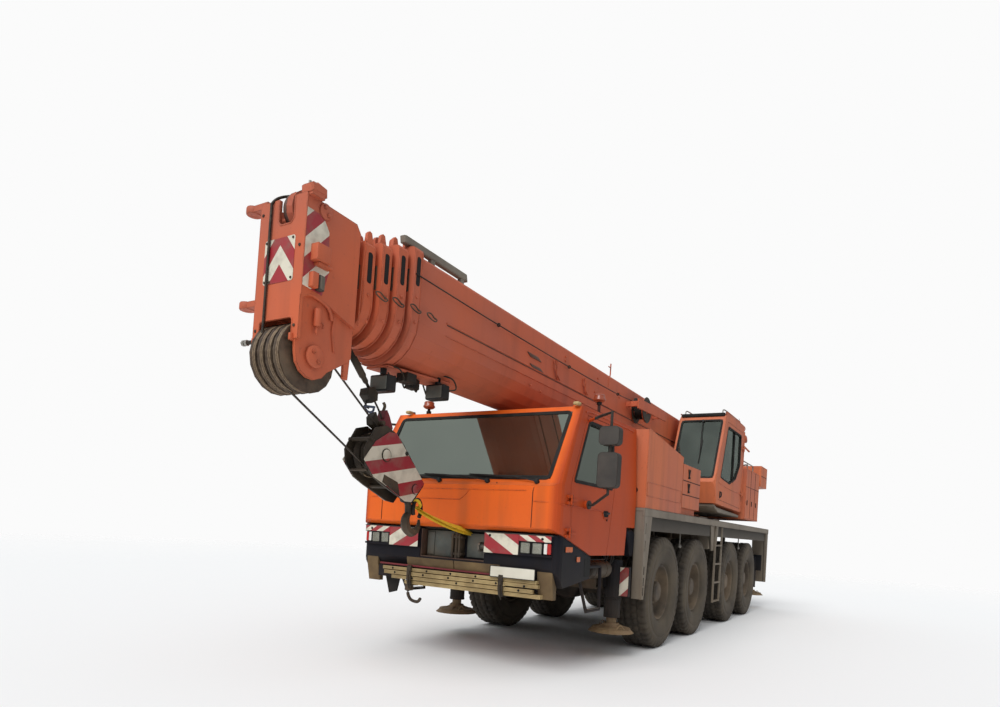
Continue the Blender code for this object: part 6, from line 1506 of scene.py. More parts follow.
def dress_boom():
    """Side moulding, lug plates, hose clips and seams of the base section; wear pads in each mouth."""
    trim, darker, clips = [], [], []
    pads, slots, bolts = ({number: [] for number in range(4)} for _ in range(3))
    for _, sign in BOTH_SIDES:
        side = sign * (BOOM_HALF + 0.0005)
        trim.append(bar([(9.75, side, 0.005), (5.6, side, 0.010), (0.35, side, 0.012)], 0.010, 8))
        trim.append(bar([(9.75, side, -0.115), (5.6, side, -0.112), (0.35, side, -0.110)], 0.006, 6))
        # Painted shadow: a thin brown line just under each side moulding.
        darker.append(bar([(9.74, side, -0.010), (5.6, side, -0.006), (0.36, side, -0.004)], 0.006, 6))
        for u, v in ((8.05, 0.14), (7.98, 0.025)):
            ends = sorted((side - sign * 0.002, side + sign * 0.010))
            darker.append(slab([(u - 0.17, v - 0.018), (u + 0.10, v - 0.018), (u + 0.17, v + 0.020),
                                (u - 0.08, v + 0.020)], *ends, "y", 0.002))
        for u, high in ((7.45, 0.26), (6.60, 0.23)):
            clips.append(bar([(u + 0.02, side, high), (u + 0.06, side + sign * 0.02, high - 0.05),
                              (u + 0.05, side + sign * 0.02, 0.05), (u - 0.03, side, 0.02)], 0.009, 8,
                             bends=16))
            clips.append(bar([(u + 0.12, side, high - 0.02), (u + 0.11, side + sign * 0.018, high - 0.10),
                              (u + 0.08, side + sign * 0.018, 0.10), (u - 0.08, side, 0.03)], 0.007, 8,
                             bends=16))
        for u, v in ((7.25, 0.36), (7.25, 0.31), (6.22, 0.33), (6.22, 0.28), (8.1, -0.20), (7.85, -0.22),
                     (6.3, 0.12), (5.4, 0.30), (5.4, 0.24), (3.2, 0.30), (2.2, 0.30)):
            clips.append(turned([(0.0, -0.002), (0.016, -0.002), (0.016, 0.008), (0.010, 0.013),
                                 (0.0, 0.013)], (u, side, v), (0, sign, 0), 6))
        for number in range(4):
            half, up = section_half(number)
            mouth = BOOM_FRONT + COLLAR_PITCH * number
            inner, outer = half - 0.014, half + COLLAR_PROUD
            near, far = sorted((sign * (inner - 0.001), sign * (inner - 0.026)))
            back, front = mouth - 0.05, mouth + 0.012
            pads[number].append(rounded_box((back, near, up - 0.36), (front, far, up - 0.16), 0.006))
            pads[number].append(rounded_box((back, sign * 0.09 - 0.06, up - 0.044),
                                            (front, sign * 0.09 + 0.06, up - 0.018), 0.006))
            slot = rounded_loop(mouth - 0.082, mouth - 0.030, up - 0.30, up - 0.045, 0.022, 4)
            slots[number].append(slab(slot, *sorted((sign * (outer - 0.001), sign * (outer + 0.002))), "y",
                                      0.001))
            for v in (up - 0.40, up - 0.62):
                bolts[number].append(turned([(0.0, 0.0), (0.015, 0.0), (0.015, 0.008), (0.009, 0.013),
                                             (0.0, 0.013)], (mouth - 0.055, sign * outer, v), (0, sign, 0),
                                            6))
    piece("boom_side_mouldings", on_boom(trim), BOOM_ORANGE, "boom", 60)
    piece("boom_side_shadow_lines", on_boom(darker), BROWN_COVER, "boom", 50)
    piece("boom_side_clips", on_boom(clips), BOOM_ORANGE, "boom")
    for number in range(4):
        body, tail = (f"boom_section_{number}", f"_{number}") if number else ("boom", "")
        piece("collar_slots" + tail, on_boom(slots[number]), SHADOW, body)
        piece("collar_bolts" + tail, on_boom(bolts[number]), BOOM_ORANGE, body)
        piece("wear_pads" + tail, on_boom(pads[number]), IRON, body)
    for number in range(4):
        body = "boom" if number == 0 else f"boom_section_{number}"
        half, up = section_half(number)
        mouth = BOOM_FRONT + COLLAR_PITCH * number
        outer = section_outline(half + 0.0355, up + 0.0355, BOOM_ROUND, 28)
        lips = [carried(np.column_stack([np.full(len(outer), mouth - behind), outer]), circle(0.006, 6),
                        guide=(1, 0, 0), closed=True) for behind in (0.004, 0.104)]
        piece(f"collar_rims_{number}", on_boom(lips), BOOM_ORANGE, body, 60)
        ear_v = up + 0.034
        ears = []
        for y in (-0.22, 0.24):
            ears.append(slab([(mouth - 0.10, ear_v - 0.01), (mouth - 0.012, ear_v - 0.01),
                              (mouth - 0.022, ear_v + 0.075), (mouth - 0.045, ear_v + 0.098),
                              (mouth - 0.070, ear_v + 0.090)], y - 0.018, y + 0.018, "y", 0.004))
        piece(f"collar_top_ears_{number}", on_boom(ears), BOOM_ORANGE, body)
    rail = slab([(9.40, 0.530), (10.36, 0.530), (10.37, 0.590), (10.34, 0.600), (9.42, 0.600)], 0.262,
                0.322, "y", 0.008)
    feet = [rounded_box((u - 0.03, 0.27, 0.470), (u + 0.03, 0.315, 0.535), 0.008) for u in (9.48, 9.95)]
    piece("jib_guide_rail", on_boom([rail, *feet]), DECK_PAINT, "boom")
    for k, (u, body) in enumerate(((10.62, "boom_section_2"), (10.46, "boom_section_1"), (10.28, "boom"),
                                   (10.05, "boom"))):
        y = (BOOM_HALF - BOOM_STEP * (2 - k if k < 2 else 0)) + 0.036
        loop = np.array([(u - 0.05, y, -0.02), (u - 0.07, y + 0.03, -0.045), (u - 0.02, y + 0.045, -0.075),
                         (u + 0.06, y + 0.045, -0.060), (u + 0.08, y + 0.035, -0.030),
                         (u + 0.02, y + 0.03, -0.015), (u - 0.04, y + 0.035, -0.05)])
        piece(f"wire_hook_{k}", on_boom(bar(loop, 0.006, 6, bends=34)), IRON, body, 50)
    lamps, bowls, cords = [], [], []
    for u, y, v in ((9.52, 0.12, -0.585), (10.24, 0.06, -0.660)):
        lamps.append(rounded_box((u - 0.07, y - 0.11, v - 0.075), (u + 0.05, y + 0.11, v + 0.075), 0.018,
                                 4))
        lamps.append(rounded_box((u - 0.03, y - 0.02, v + 0.06), (u + 0.02, y + 0.02, v + 0.17), 0.006))
        bowls.append(rounded_box((u + 0.045, y - 0.095, v - 0.060), (u + 0.058, y + 0.095, v + 0.058),
                                 0.006))
        cords.append(bar([(u - 0.05, y + 0.10, v + 0.02), (u - 0.11, y + 0.15, v + 0.05),
                          (u - 0.09, y + 0.12, v + 0.14), (u - 0.02, y + 0.05, v + 0.17)], 0.008, 6,
                         bends=20))
    gear = [rounded_box((9.70, -0.05, -0.600), (9.80, 0.05, -0.50), 0.012),
            rounded_box((9.88, 0.02, -0.590), (10.02, 0.16, -0.50), 0.012),
            rounded_box((9.40, -0.02, -0.57), (9.47, 0.08, -0.49), 0.012)]
    gear += [bar([(9.50 + 0.17 * k, 0.0, -0.53), (9.55 + 0.17 * k, 0.02, -0.615),
                  (9.63 + 0.17 * k, 0.03, -0.53)], 0.009, 6, bends=10) for k in range(4)]
    piece("boom_work_lamps", on_boom(lamps), BLACK_PLASTIC, "boom")
    piece("boom_work_lamp_lenses", on_boom(bowls), GREEN_GREY, "boom")
    piece("boom_lamp_cords_and_valves", on_boom([*cords, *gear]), BLACK, "boom")
    bracket = slab([(9.36, -0.475), (10.27, -0.520), (10.27, -0.500), (9.34, -0.440)], -0.12, 0.14, "y",
                   0.004)
    piece("boom_lamp_bracket", on_boom(bracket), BOOM_ORANGE, "boom")
    mast = [bar([(5.75, 0.335, 0.43), (5.75, 0.345, 0.50), (5.75, 0.345, 0.66)], 0.010, 8, guide=(1, 0, 0)),
            bar([(5.75, 0.345, 0.60), (5.83, 0.345, 0.60)], 0.007, 6, guide=(0, 0, 1)),
            bar([(5.83, 0.36, 0.44), (5.83, 0.36, 0.30)], 0.007, 6, guide=(1, 0, 0))]
    piece("wind_gauge_mast", on_boom(mast), BOOM_ORANGE, "boom")
    turns = np.linspace(0.0, 9 * math.tau, 9 * 22)
    coil = np.stack([4.72 + 0.134 * np.cos(turns), 0.398 + 0.122 * turns / turns[-1], 0.17
                     + 0.134 * np.sin(turns)], -1)
    flanges = [turned([(0.06, -0.004), (0.198, -0.004), (0.204, 0.0), (0.198, 0.006), (0.06, 0.006),
                       (0.06, -0.004)], (4.72, y, 0.17), (0, 1, 0), 32) for y in (0.386, 0.566)]
    piece("length_cable_turns", on_boom(carried(coil, circle(0.0075, 6), guide=(0, 1, 0))), TRIM, "boom",
          60)
    piece("cable_reel_flanges", on_boom(flanges), BLACK, "boom")
    lead = bar([(4.85, 0.44, 0.27), (5.6, 0.42, 0.24), (7.2, 0.395, 0.24), (8.9, 0.392, 0.25),
                (10.28, 0.402, 0.27)], 0.006, 6, bends=30)
    eyes = [turned([(0.010, -0.004), (0.022, -0.004), (0.022, 0.004), (0.010, 0.004), (0.010, -0.004)],
                   (u, y, v), (1, 0, 0), 14) for u, y, v in ((5.6, 0.42, 0.24), (7.2, 0.395, 0.24),
                                                             (8.9, 0.392, 0.25))]
    piece("length_cable_lead", on_boom([lead, *eyes]), BLACK, "boom", 50)
    pins = [turned([(0.0, 0.0), (0.095, 0.0), (0.095, 0.012), (0.080, 0.018), (0.0, 0.018)],
                   (BOOM_PIN[0], sign * 0.4552, BOOM_PIN[1]), (0, sign, 0), 24) for sign in (1, -1)]
    bolts = [turned([(0.0, 0.016), (0.014, 0.016), (0.014, 0.026), (0.0, 0.026)],
                    (BOOM_PIN[0] + 0.06 * math.cos(a), sign * 0.4552, BOOM_PIN[1] + 0.06 * math.sin(a)),
                    (0, sign, 0), 6) for sign in (1, -1) for a in np.arange(4) * math.pi / 2]
    piece("boom_foot_pin_caps", [*pins, *bolts], IRON, "superstructure")


# Boom head

HEAD_HALF = 0.2566
HEAD_LOW_PIN = (11.20, -0.69)
HEAD_TOP_PIN = (11.205, 0.415)


def pin_plate(centre, y, sign, radius):
    """A round keeper plate on a cheek: a disc of that radius with two hexagon bolt heads on a slant."""
    disc = turned([(0.0, 0.0), (radius, 0.0), (radius, 0.010), (radius - 0.012, 0.018), (0.0, 0.018)],
                  (centre[0], y, centre[1]), (0, sign, 0), 30)
    bolts = [turned([(0.0, 0.016), (0.017, 0.016), (0.017, 0.030), (0.011, 0.034), (0.0, 0.034)],
                    (centre[0] + s * radius * 0.30, y, centre[1] + s * radius * 0.42), (0, sign, 0), 6)
             for s in (1, -1)]
    return [disc, *bolts]


def dress_boom_head():
    """Arrow boards, pin plates, lamps, rope guard, arch rims, rope lead and bolts of the boom head."""
    face = HEAD_FRONT
    board = slab(rounded_loop(-0.175, 0.160, -0.155, 0.187, 0.020, 4), face + 0.0003, face + 0.004, "x",
                 0.001)
    piece("head_arrow_board", on_boom(board), HEAD_CHEVRONS, "boom_head")
    bolts = [turned([(0.0, 0.0), (0.010, 0.0), (0.010, 0.006), (0.0, 0.008)], (face + 0.0035, y, v),
                    (1, 0, 0), 8) for y in (-0.155, 0.14) for v in (-0.135, 0.167)]
    bolts += [turned([(0.0, 0.0), (0.012, 0.0), (0.012, 0.006), (0.0, 0.008)], (face, y, v), (1, 0, 0), 8)
              for y, v in ((-0.10, -0.14), (-0.225, 0.40), (0.21, -0.50), (-0.225, -0.50), (0.21, 0.10))]
    piece("head_face_bolts", on_boom(bolts), IRON, "boom_head")
    for side, sign in BOTH_SIDES:
        y = sign * HEAD_HALF
        sheet = [(face - 0.008, 0.38), (face - 0.008, -0.20), (face - 0.20, -0.22), (face - 0.255, -0.02),
                 (face - 0.23, 0.28), (face - 0.16, 0.375)]
        piece(f"head_cheek_stripes_{side}", on_boom(slab(sheet, *sorted((y + sign * 0.0003, y
                                                                         + sign * 0.0035)), "y", 0.001)),
              CHEEK_STRIPES, "boom_head")
        reach = [sorted((y, y + sign * out)) for out in (0.080, 0.060, 0.052, 0.062)]
        boxes = [rounded_box((face - 0.20, reach[0][0], 0.000), (face - 0.065, reach[0][1], 0.128), 0.006),
                 rounded_box((face - 0.24, reach[1][0], -0.022), (face - 0.10, reach[1][1], 0.000), 0.006),
                 rounded_box((face - 0.120, reach[2][0], -0.200), (face - 0.062, reach[2][1], -0.085),
                             0.006)]
        piece(f"head_side_boxes_{side}", on_boom(boxes), BOOM_ORANGE, "boom_head")
        lamp = rounded_box((face - 0.180, reach[2][0], -0.205), (face - 0.125, reach[2][1], -0.090), 0.008)
        glass = rounded_box((face - 0.172, reach[3][0], -0.195), (face - 0.133, reach[3][1], -0.100), 0.006)
        piece(f"head_side_lamp_{side}", on_boom(lamp), GREY_PLASTIC, "boom_head")
        piece(f"head_side_lamp_lens_{side}", on_boom(glass), GREEN_GREY, "boom_head")
        discs = pin_plate(HEAD_TOP_PIN, y, sign, 0.062)
        discs += pin_plate(HEAD_LOW_PIN, sign * (HEAD_HALF - 0.0146), sign, 0.085)
        piece(f"head_pin_plates_{side}", on_boom(discs), BOOM_ORANGE, "boom_head", 35)
        arch = np.array([(face - 0.006, -0.292), (face - 0.10, -0.243), (face - 0.24, -0.263),
                         (face - 0.30, -0.30), (face - 0.33, -0.37)])
        low = sign * (HEAD_HALF - 0.026)
        arch3 = np.stack([arch[:, 0], np.full(5, low + sign * 0.013), arch[:, 1]], -1)
        rim = [bar(arch3, 0.014, 8, guide=(0, 1, 0), bends=24)]
        recess_y = sign * (HEAD_HALF - 0.0290)
        outline = np.array([(face - 0.36, -0.335), (face - 0.355, -0.46), (face - 0.385, -0.60)])
        rim.append(bar(np.stack([outline[:, 0], np.full(3, recess_y + sign * 0.006), outline[:, 1]], -1),
                       0.010, 8, guide=(0, 1, 0), bends=14))
        piece(f"head_arch_rims_{side}", on_boom(rim), BOOM_ORANGE, "boom_head", 60)
        cylinder = [turned([(0.0, -0.465), (0.022, -0.465), (0.026, -0.455), (0.026, -0.335),
                            (0.018, -0.325), (0.0, -0.325)], (face - 0.175, recess_y + sign * 0.028, 0.0),
                           (0, 0, 1), 16), turned([(0.0, -0.52), (0.009, -0.52), (0.012, -0.50),
                                                   (0.009, -0.455), (0.0, -0.455)],
                                                  (face - 0.175, recess_y + sign * 0.028, 0.0), (0, 0, 1),
                                                  10), bar([(face - 0.21, recess_y + sign * 0.012, -0.42),
                                                            (face - 0.235, recess_y + sign * 0.03, -0.43),
                                                            (face - 0.24, recess_y + sign * 0.022, -0.46)],
                                                           0.008, 6, guide=(0, 1, 0), bends=8)]
        piece(f"head_lock_cylinder_{side}", on_boom(cylinder), BOOM_ORANGE, "boom_head")
        weld = [bar([(face - 0.005, y - sign * 0.002, 0.485), (face - 0.005, y - sign * 0.002, -0.275)],
                    0.006, 6, guide=(1, 0, 0)), bar([(face - 0.62, y - sign * 0.001, 0.40),
                                                     (face - 0.60, y - sign * 0.001, -0.33)], 0.006, 6,
                                                    guide=(1, 0, 0))]
        piece(f"head_weld_lines_{side}", on_boom(weld), BOOM_ORANGE, "boom_head", 60)
    loop = rounded_loop(-0.185, 0.185, -0.72, -0.43, 0.03, 4)
    upper = loop[(loop[:, 1] > -0.60)]
    path = np.concatenate([[(-0.187, -0.600)], upper[np.argsort(upper[:, 0])], [(0.187, -0.600)]])
    opening = carried(np.column_stack([np.full(len(path), face - 0.004), path]), circle(0.009, 6),
                      guide=(1, 0, 0))
    upper_hole = np.array([(-0.05, 0.485), (-0.05, 0.32), (-0.02, 0.286), (0.10, 0.286), (0.13, 0.32),
                           (0.13, 0.485)])
    top = carried(np.column_stack([np.full(6, face - 0.004), upper_hole]), circle(0.009, 6),
                  guide=(1, 0, 0))
    piece("head_opening_rims", on_boom([opening, top]), BOOM_ORANGE, "boom_head", 60)
    guard_x = face + 0.012
    guard = bar([(guard_x, -0.33, -0.587), (guard_x, 0.20, -0.587)], 0.016, 12)
    ends = [turned([(0.0, -0.012), (0.024, -0.012), (0.024, 0.012), (0.0, 0.012)], (guard_x, y, -0.587),
                   (0, 1, 0), 6) for y in (-0.335, -0.30)]
    ears = [rounded_box((face - 0.02, y - 0.012, -0.615), (face + 0.030, y + 0.012, -0.560), 0.006)
            for y in (-0.215, 0.200)]
    piece("rope_guard_bar", on_boom(guard), BLACK, "boom_head")
    piece("rope_guard_ends", on_boom(ends), GALVANISED, "boom_head")
    piece("rope_guard_ears", on_boom(ears), BOOM_ORANGE, "boom_head")
    rope = [(11.08, -0.030, 0.562), (11.21, -0.040, 0.590), (face - 0.055, -0.090, 0.545),
            (face + 0.012, -0.114, 0.475), (face + 0.016, -0.118, 0.40), (face + 0.016, -0.118, 0.0),
            (face + 0.014, -0.120, -0.40), (face + 0.012, -0.122, -0.60), (face - 0.004, -0.128, -0.72)]
    piece("winch_rope_down_the_face", on_boom(bar(rope, 0.0105, 10, guide=(0, 1, 0), bends=60)), WIRE,
          "boom_head", 60)
    turns, radius = [], 0.2560
    a = np.linspace(-2.4, 1.45, 40)
    for k in range(4):
        y = (k - 1.5) * 0.087
        for lay in (-0.008, 0.010):
            turns.append(bar(np.stack([HEAD_LOW_PIN[0] + radius * np.cos(a), y + lay + 0 * a,
                                       HEAD_LOW_PIN[1] + radius * np.sin(a)], -1), 0.0085, 6,
                             guide=(0, 1, 0)))
    piece("head_rope_turns", on_boom(turns), OLD_WIRE, "boom_head", 60)
    wheel = turned([(0.10, -0.030), (0.150, -0.026), (0.158, -0.010), (0.158, 0.010), (0.150, 0.026),
                    (0.10, 0.030), (0.10, -0.030)], (11.205, -0.018, 0.445), (0, 1, 0), 34)
    hub = turned([(0.0, -0.052), (0.045, -0.052), (0.052, -0.045), (0.052, 0.045), (0.045, 0.052),
                  (0.0, 0.052)], (11.205, -0.010, 0.440), (0, 1, 0), 24)
    piece("head_top_wheel_ring", on_boom(wheel), BROWN_COVER, "boom_head")
    piece("head_top_wheel_hub", on_boom(hub), IRON, "boom_head")
    lug = slab([(face - 0.155, 0.50), (face - 0.005, 0.49), (face + 0.000, 0.548), (face - 0.06, 0.575),
                (face - 0.15, 0.562)], 0.175, 0.305, "y", 0.012)
    piece("head_top_lug", on_boom(lug), BOOM_ORANGE, "boom_head")
    pin = bar([(face - 0.05, 0.215, 0.565), (face - 0.05, 0.215, 0.602)], 0.011, 10, guide=(1, 0, 0))
    piece("head_top_lug_pin", on_boom(pin), GALVANISED, "boom_head")
    rings = [turned([(0.022, -0.028), (0.058, -0.028), (0.062, -0.02), (0.062, 0.02), (0.058, 0.028),
                     (0.022, 0.028), (0.022, -0.028)], (face - 0.065, -0.43, v + 0.025), (0, 0, 1), 24)
             for v in (0.475, -0.29)]
    piece("jib_lug_rings", on_boom(rings), BOOM_ORANGE, "boom_head")


# Hook block and what hangs by it

HOOK_DRAW = math.radians(58.0)
SWING_ORIGIN = (5.309, 0.0, 2.688)
PLATE_OUTLINE = [(4.285, 2.282), (4.458, 2.176), (4.593, 2.001), (4.455, 1.859), (4.321, 1.810),
                 (4.024, 1.676), (3.927, 1.673), (3.748, 1.862), (3.838, 1.954), (4.027, 2.131),
                 (4.189, 2.285)]
ROPE_DOWN = (-math.sin(HOOK_DRAW), 0.0, -math.cos(HOOK_DRAW))
ROPE_SIDE = (math.cos(HOOK_DRAW), 0.0, -math.sin(HOOK_DRAW))


def drawn(points):
    """Points (side, y, down) beside the rope, counted from the head's lower pin, in the crane's frame."""
    points = np.asarray(points, float)
    side, y, down = points[..., :1], points[..., 1:2], points[..., 2:]
    return (np.array(SWING_ORIGIN) + side * np.array(ROPE_SIDE) + down * np.array(ROPE_DOWN)
            + y * np.array([0.0, 1.0, 0.0]))


def dress_hook_block():
    """Striped plates, wheel rims, spacer bolts, rope ends and wedge of the block, and the hook's collar."""
    for side, sign in BOTH_SIDES:
        plate = slab(PLATE_OUTLINE, *sorted((sign * 0.1253, sign * 0.131)), "y", 0.002)
        piece(f"block_striped_plate_{side}", plate, BLOCK_STRIPES, "hook_block")
        discs = [turned([(0.0, -0.012), (radius, -0.012), (radius, 0.002), (radius - 0.003, 0.004),
                         (0.0, 0.004)], drawn((0.0, sign * 0.141, down)), (0, sign, 0), 24) for down,
                 radius in ((1.17, 0.052), (1.68, 0.045))]
        piece(f"block_pin_covers_{side}", discs, BLOCK_STRIPES, "hook_block")
        notch = slab([(4.35, 1.825), (4.33, 1.895), (4.14, 1.842), (4.10, 1.715)],
                     *sorted((sign * 0.1311, sign * 0.134)), "y", 0.001)
        caps = [notch]
        for across, down in ((0.19, 1.38), (-0.19, 1.38), (0.0, 0.945)):
            caps.append(turned([(0.0, -0.004), (0.022, -0.004), (0.022, 0.012), (0.014, 0.018),
                                (0.0, 0.018)], drawn((across, sign * 0.126, down)), (0, sign, 0), 6))
        piece(f"block_bolt_heads_{side}", caps, BLACK, "hook_block", 35)
        edge = [(-0.10, 0.935), (0.10, 0.935), (0.205, 1.025), (0.238, 1.17), (0.225, 1.30), (0.165, 1.63)]
        rim = bar(drawn(np.array([(a, sign * 0.115, d) for a, d in edge])), 0.008, 6, guide=(0, 1, 0),
                  bends=30)
        piece(f"block_cheek_rims_{side}", rim, BLACK, "hook_block", 60)
    turns = []
    for y in (-0.0435, 0.0435):
        a = np.linspace(math.pi * 0.55, math.pi * 1.75, 30)
        loop = np.stack([0.194 * np.sin(a), y + 0 * a, 1.17 - 0.194 * np.cos(a)], -1)
        turns.append(bar(drawn(loop + (0, -0.013, 0)), 0.0085, 6, guide=(0, 1, 0)))
    piece("block_rope_turns", turns, OLD_WIRE, "hook_block", 60)
    guards = [bar(drawn(np.array([(a, -0.10, d), (a, 0.10, d)])), 0.012, 10) for a,
              d in ((0.235, 1.08), (-0.235, 1.08))]
    piece("block_rope_guards", guards, IRON, "hook_block")
    wedge = slab([(4.25, 2.305), (4.315, 2.335), (4.275, 2.41), (4.260, 2.485), (4.243, 2.492),
                  (4.205, 2.44), (4.154, 2.337), (4.17, 2.300)], -0.055, 0.055, "y", 0.010)
    frame_top = slab([(4.29, 2.29), (4.40, 2.335), (4.41, 2.40), (4.36, 2.455), (4.33, 2.40)], -0.06, 0.03,
                     "y", 0.010)
    piece("block_top_eye", frame_top, BLACK, "hook_block")
    piece("rope_wedge_socket", wedge, CARGO_RED, "hook_block")
    wedge_pin = [turned([(0.0, -0.075), (0.022, -0.075), (0.022, 0.075), (0.0, 0.075)], (4.31, 0.0, 2.36),
                        (0, 1, 0), 14), bar([(4.25, 0.0, 2.48), (4.23, 0.0, 2.53), (4.25, 0.0, 2.56)],
                                            0.014, 8, guide=(0, 1, 0), bends=8)]
    piece("rope_wedge_pin", wedge_pin, IRON, "hook_block")
    trunnion = drawn((0.0, 0.0, 1.68))
    lean = math.radians(25.0)
    down = np.array([-math.sin(lean), 0.0, -math.cos(lean)])
    collar = turned([(0.0, 0.050), (0.060, 0.052), (0.066, 0.062), (0.066, 0.105), (0.058, 0.118),
                     (0.0, 0.120)], trunnion, down, 8)
    piece("hook_nut_and_collar", collar, BLACK, "crane_hook", 30)
    side = np.array([math.cos(lean), 0.0, -math.sin(lean)])
    bowl = trunnion + down * 0.34
    latch = np.stack([bowl - side * 0.010 + down * -0.165, bowl + side * 0.05 + down * -0.10, bowl
                      + side * 0.098 + down * -0.015])
    piece("hook_latch", bar(latch, 0.011, 8, guide=(0, 1, 0), bends=10), BARE_STEEL, "crane_hook")


def dress_anti_two_block():
    """Switch rod, weight and shackle that hang from the head beside the rope."""
    top, low = np.array([4.77, 0.02, 2.949]), np.array([4.44, 0.02, 2.615])
    way = (low - top) / np.linalg.norm(low - top)
    length = float(np.linalg.norm(low - top))
    strut = turned([(0.0, 0.0), (0.020, 0.0), (0.024, 0.02), (0.024, 0.12), (0.032, 0.13), (0.032, 0.30),
                    (0.024, 0.32), (0.024, 0.36), (0.014, 0.38), (0.014, length - 0.02), (0.0, length)],
                   top, way, 18)
    clevis = [rounded_box((4.745, y - 0.006, 2.915), (4.800, y + 0.006, 2.985), 0.006)
              for y in (-0.004, 0.044)]
    clevis.append(bar([(4.772, -0.012, 2.950), (4.772, 0.052, 2.950)], 0.009, 8))
    piece("limit_switch_strut", [strut, *clevis], BLACK, "boom_head")
    weight = [slab([(4.45, 2.66), (4.53, 2.63), (4.54, 2.57), (4.47, 2.51), (4.40, 2.545), (4.40, 2.61)],
                   -0.035, 0.075, "y", 0.010), bar([(4.44, 0.02, 2.60), (4.34, 0.02, 2.49),
                                                    (4.235, 0.01, 2.36)], 0.009, 8, guide=(0, 1, 0)),
              bar([(4.48, 0.02, 2.55), (4.50, 0.02, 2.49), (4.46, 0.02, 2.47)], 0.010, 8, guide=(0, 1, 0),
                  bends=8)]
    piece("limit_switch_weight", weight, BLACK, "boom_head")
    a = np.linspace(-0.2, math.pi + 0.2, 22)
    bow = np.stack([4.45 + 0.055 * np.cos(a), 0.02 + 0 * a, 2.475 - 0.038 * np.sin(a)], -1)
    shackle = [bar(bow, 0.010, 8, guide=(0, 1, 0)), bar([(4.385, 0.02, 2.492), (4.515, 0.02, 2.478)], 0.011,
                                                        10, guide=(0, 1, 0))]
    piece("blue_shackle", shackle, BLUE_STEEL, "boom_head")


def dress_sling():
    """Doubled yellow webbing sling from the hook down into the bumper's recess: two flat ribbons.

    Each ribbon runs straight between its ends and bellies by sag * 4t(1-t); its section is a thin
    rounded strip that turns slowly along it.
    """
    ribbons = []
    t = np.linspace(0.0, 1.0, 26)
    for offset, lift, turn in ((0.0, 0.012, 0.2), (0.02, -0.014, 0.7)):
        start = np.array([3.700, 0.0 + offset, 1.628 + lift])
        end = np.array([2.955, 0.165, 1.425 + lift * 0.4])
        path = start + (end - start) * t[:, None]
        path[:, 2] -= 0.03 * 4 * t * (1 - t)
        tangent = np.gradient(path, axis=0)
        tangent /= np.linalg.norm(tangent, axis=1, keepdims=True)
        side = np.cross([0.0, 0.0, 1.0], tangent)
        side /= np.linalg.norm(side, axis=1, keepdims=True)
        up = np.cross(tangent, side)
        angle = turn + 0.5 * t
        wide = np.cos(angle)[:, None] * side + np.sin(angle)[:, None] * up
        thin = -np.sin(angle)[:, None] * side + np.cos(angle)[:, None] * up
        half = 0.042
        across = np.array([-1.0, -0.5, 0.0, 0.5, 1.0, 1.0, 0.5, 0.0, -0.5, -1.0]) * half
        thick = np.array([-0.002, -0.004, -0.003, -0.004, -0.002, 0.002, 0.004, 0.003, 0.004, 0.002])
        section = np.stack([across, thick], -1)
        points = path[:, None] + section[None, :, :1] * wide[:, None] + section[None, :, 1:] * thin[:, None]
        ribbons.append(surface(points, wrap_columns=True, caps=True))
    piece("webbing_sling", ribbons, SLING_YELLOW, "crane_hook", 50)
    hoop = [(3.80, 0.01, 1.69), (3.74, 0.05, 1.70), (3.68, 0.04, 1.66), (3.66, 0.0, 1.63),
            (3.70, -0.05, 1.64), (3.78, -0.05, 1.68)]
    piece("sling_eye_on_the_hook", bar(hoop, 0.016, 8, bends=24), SLING_YELLOW, "crane_hook", 50)
    a = np.linspace(-0.6, math.pi + 0.9, 26)
    bow = np.stack([3.70 + 0.085 * np.cos(a), 0.02 + 0.02 * np.cos(a), 1.615 + 0.095 * np.sin(a)], -1)
    piece("sling_shackle", bar(bow, 0.020, 10, guide=(0, 1, 0)), BLACK, "crane_hook", 50)


NODE_FINISHES = {"orange": ORANGE, "deck": DECK_PAINT, "frame": FRAME_PAINT, "iron": IRON, "black": BLACK,
                 "bumper": BLUE, "wheel": WHEEL, "tyre": PAD, "pad": PAD, "glass": GLASS, "rod": CHROME,}
OWN_FINISHES = {"driver_cab_shell": CAB_ORANGE, "driver_door_left": CAB_ORANGE,
                "driver_door_right": CAB_ORANGE, "driver_cab_screen": DARK_GLASS, "boom_base": BOOM_ORANGE,
                "boom_section_1": BOOM_ORANGE, "boom_section_2": BOOM_ORANGE, "boom_section_3": BOOM_ORANGE,
                "boom_head_section": BOOM_ORANGE, "head_sheaves": ROPE_IRON, "rope_falls": WIRE,
                "outrigger_beam_front_left": OUTRIGGER_PAINT, "outrigger_beam_front_right": OUTRIGGER_PAINT,
                "outrigger_beam_rear_left": OUTRIGGER_PAINT, "outrigger_beam_rear_right": OUTRIGGER_PAINT,}


def finish_nodes():
    """Every CAD node takes the finish of its slot, or its own."""
    slots = {row["node"]: row["material_slot"] for row in frame["record"]["subparts"]}
    for name, obj in frame["nodes"].items():
        finish = OWN_FINISHES.get(name, NODE_FINISHES[slots[name]])
        obj.data.materials.clear()
        obj.data.materials.append(finish)


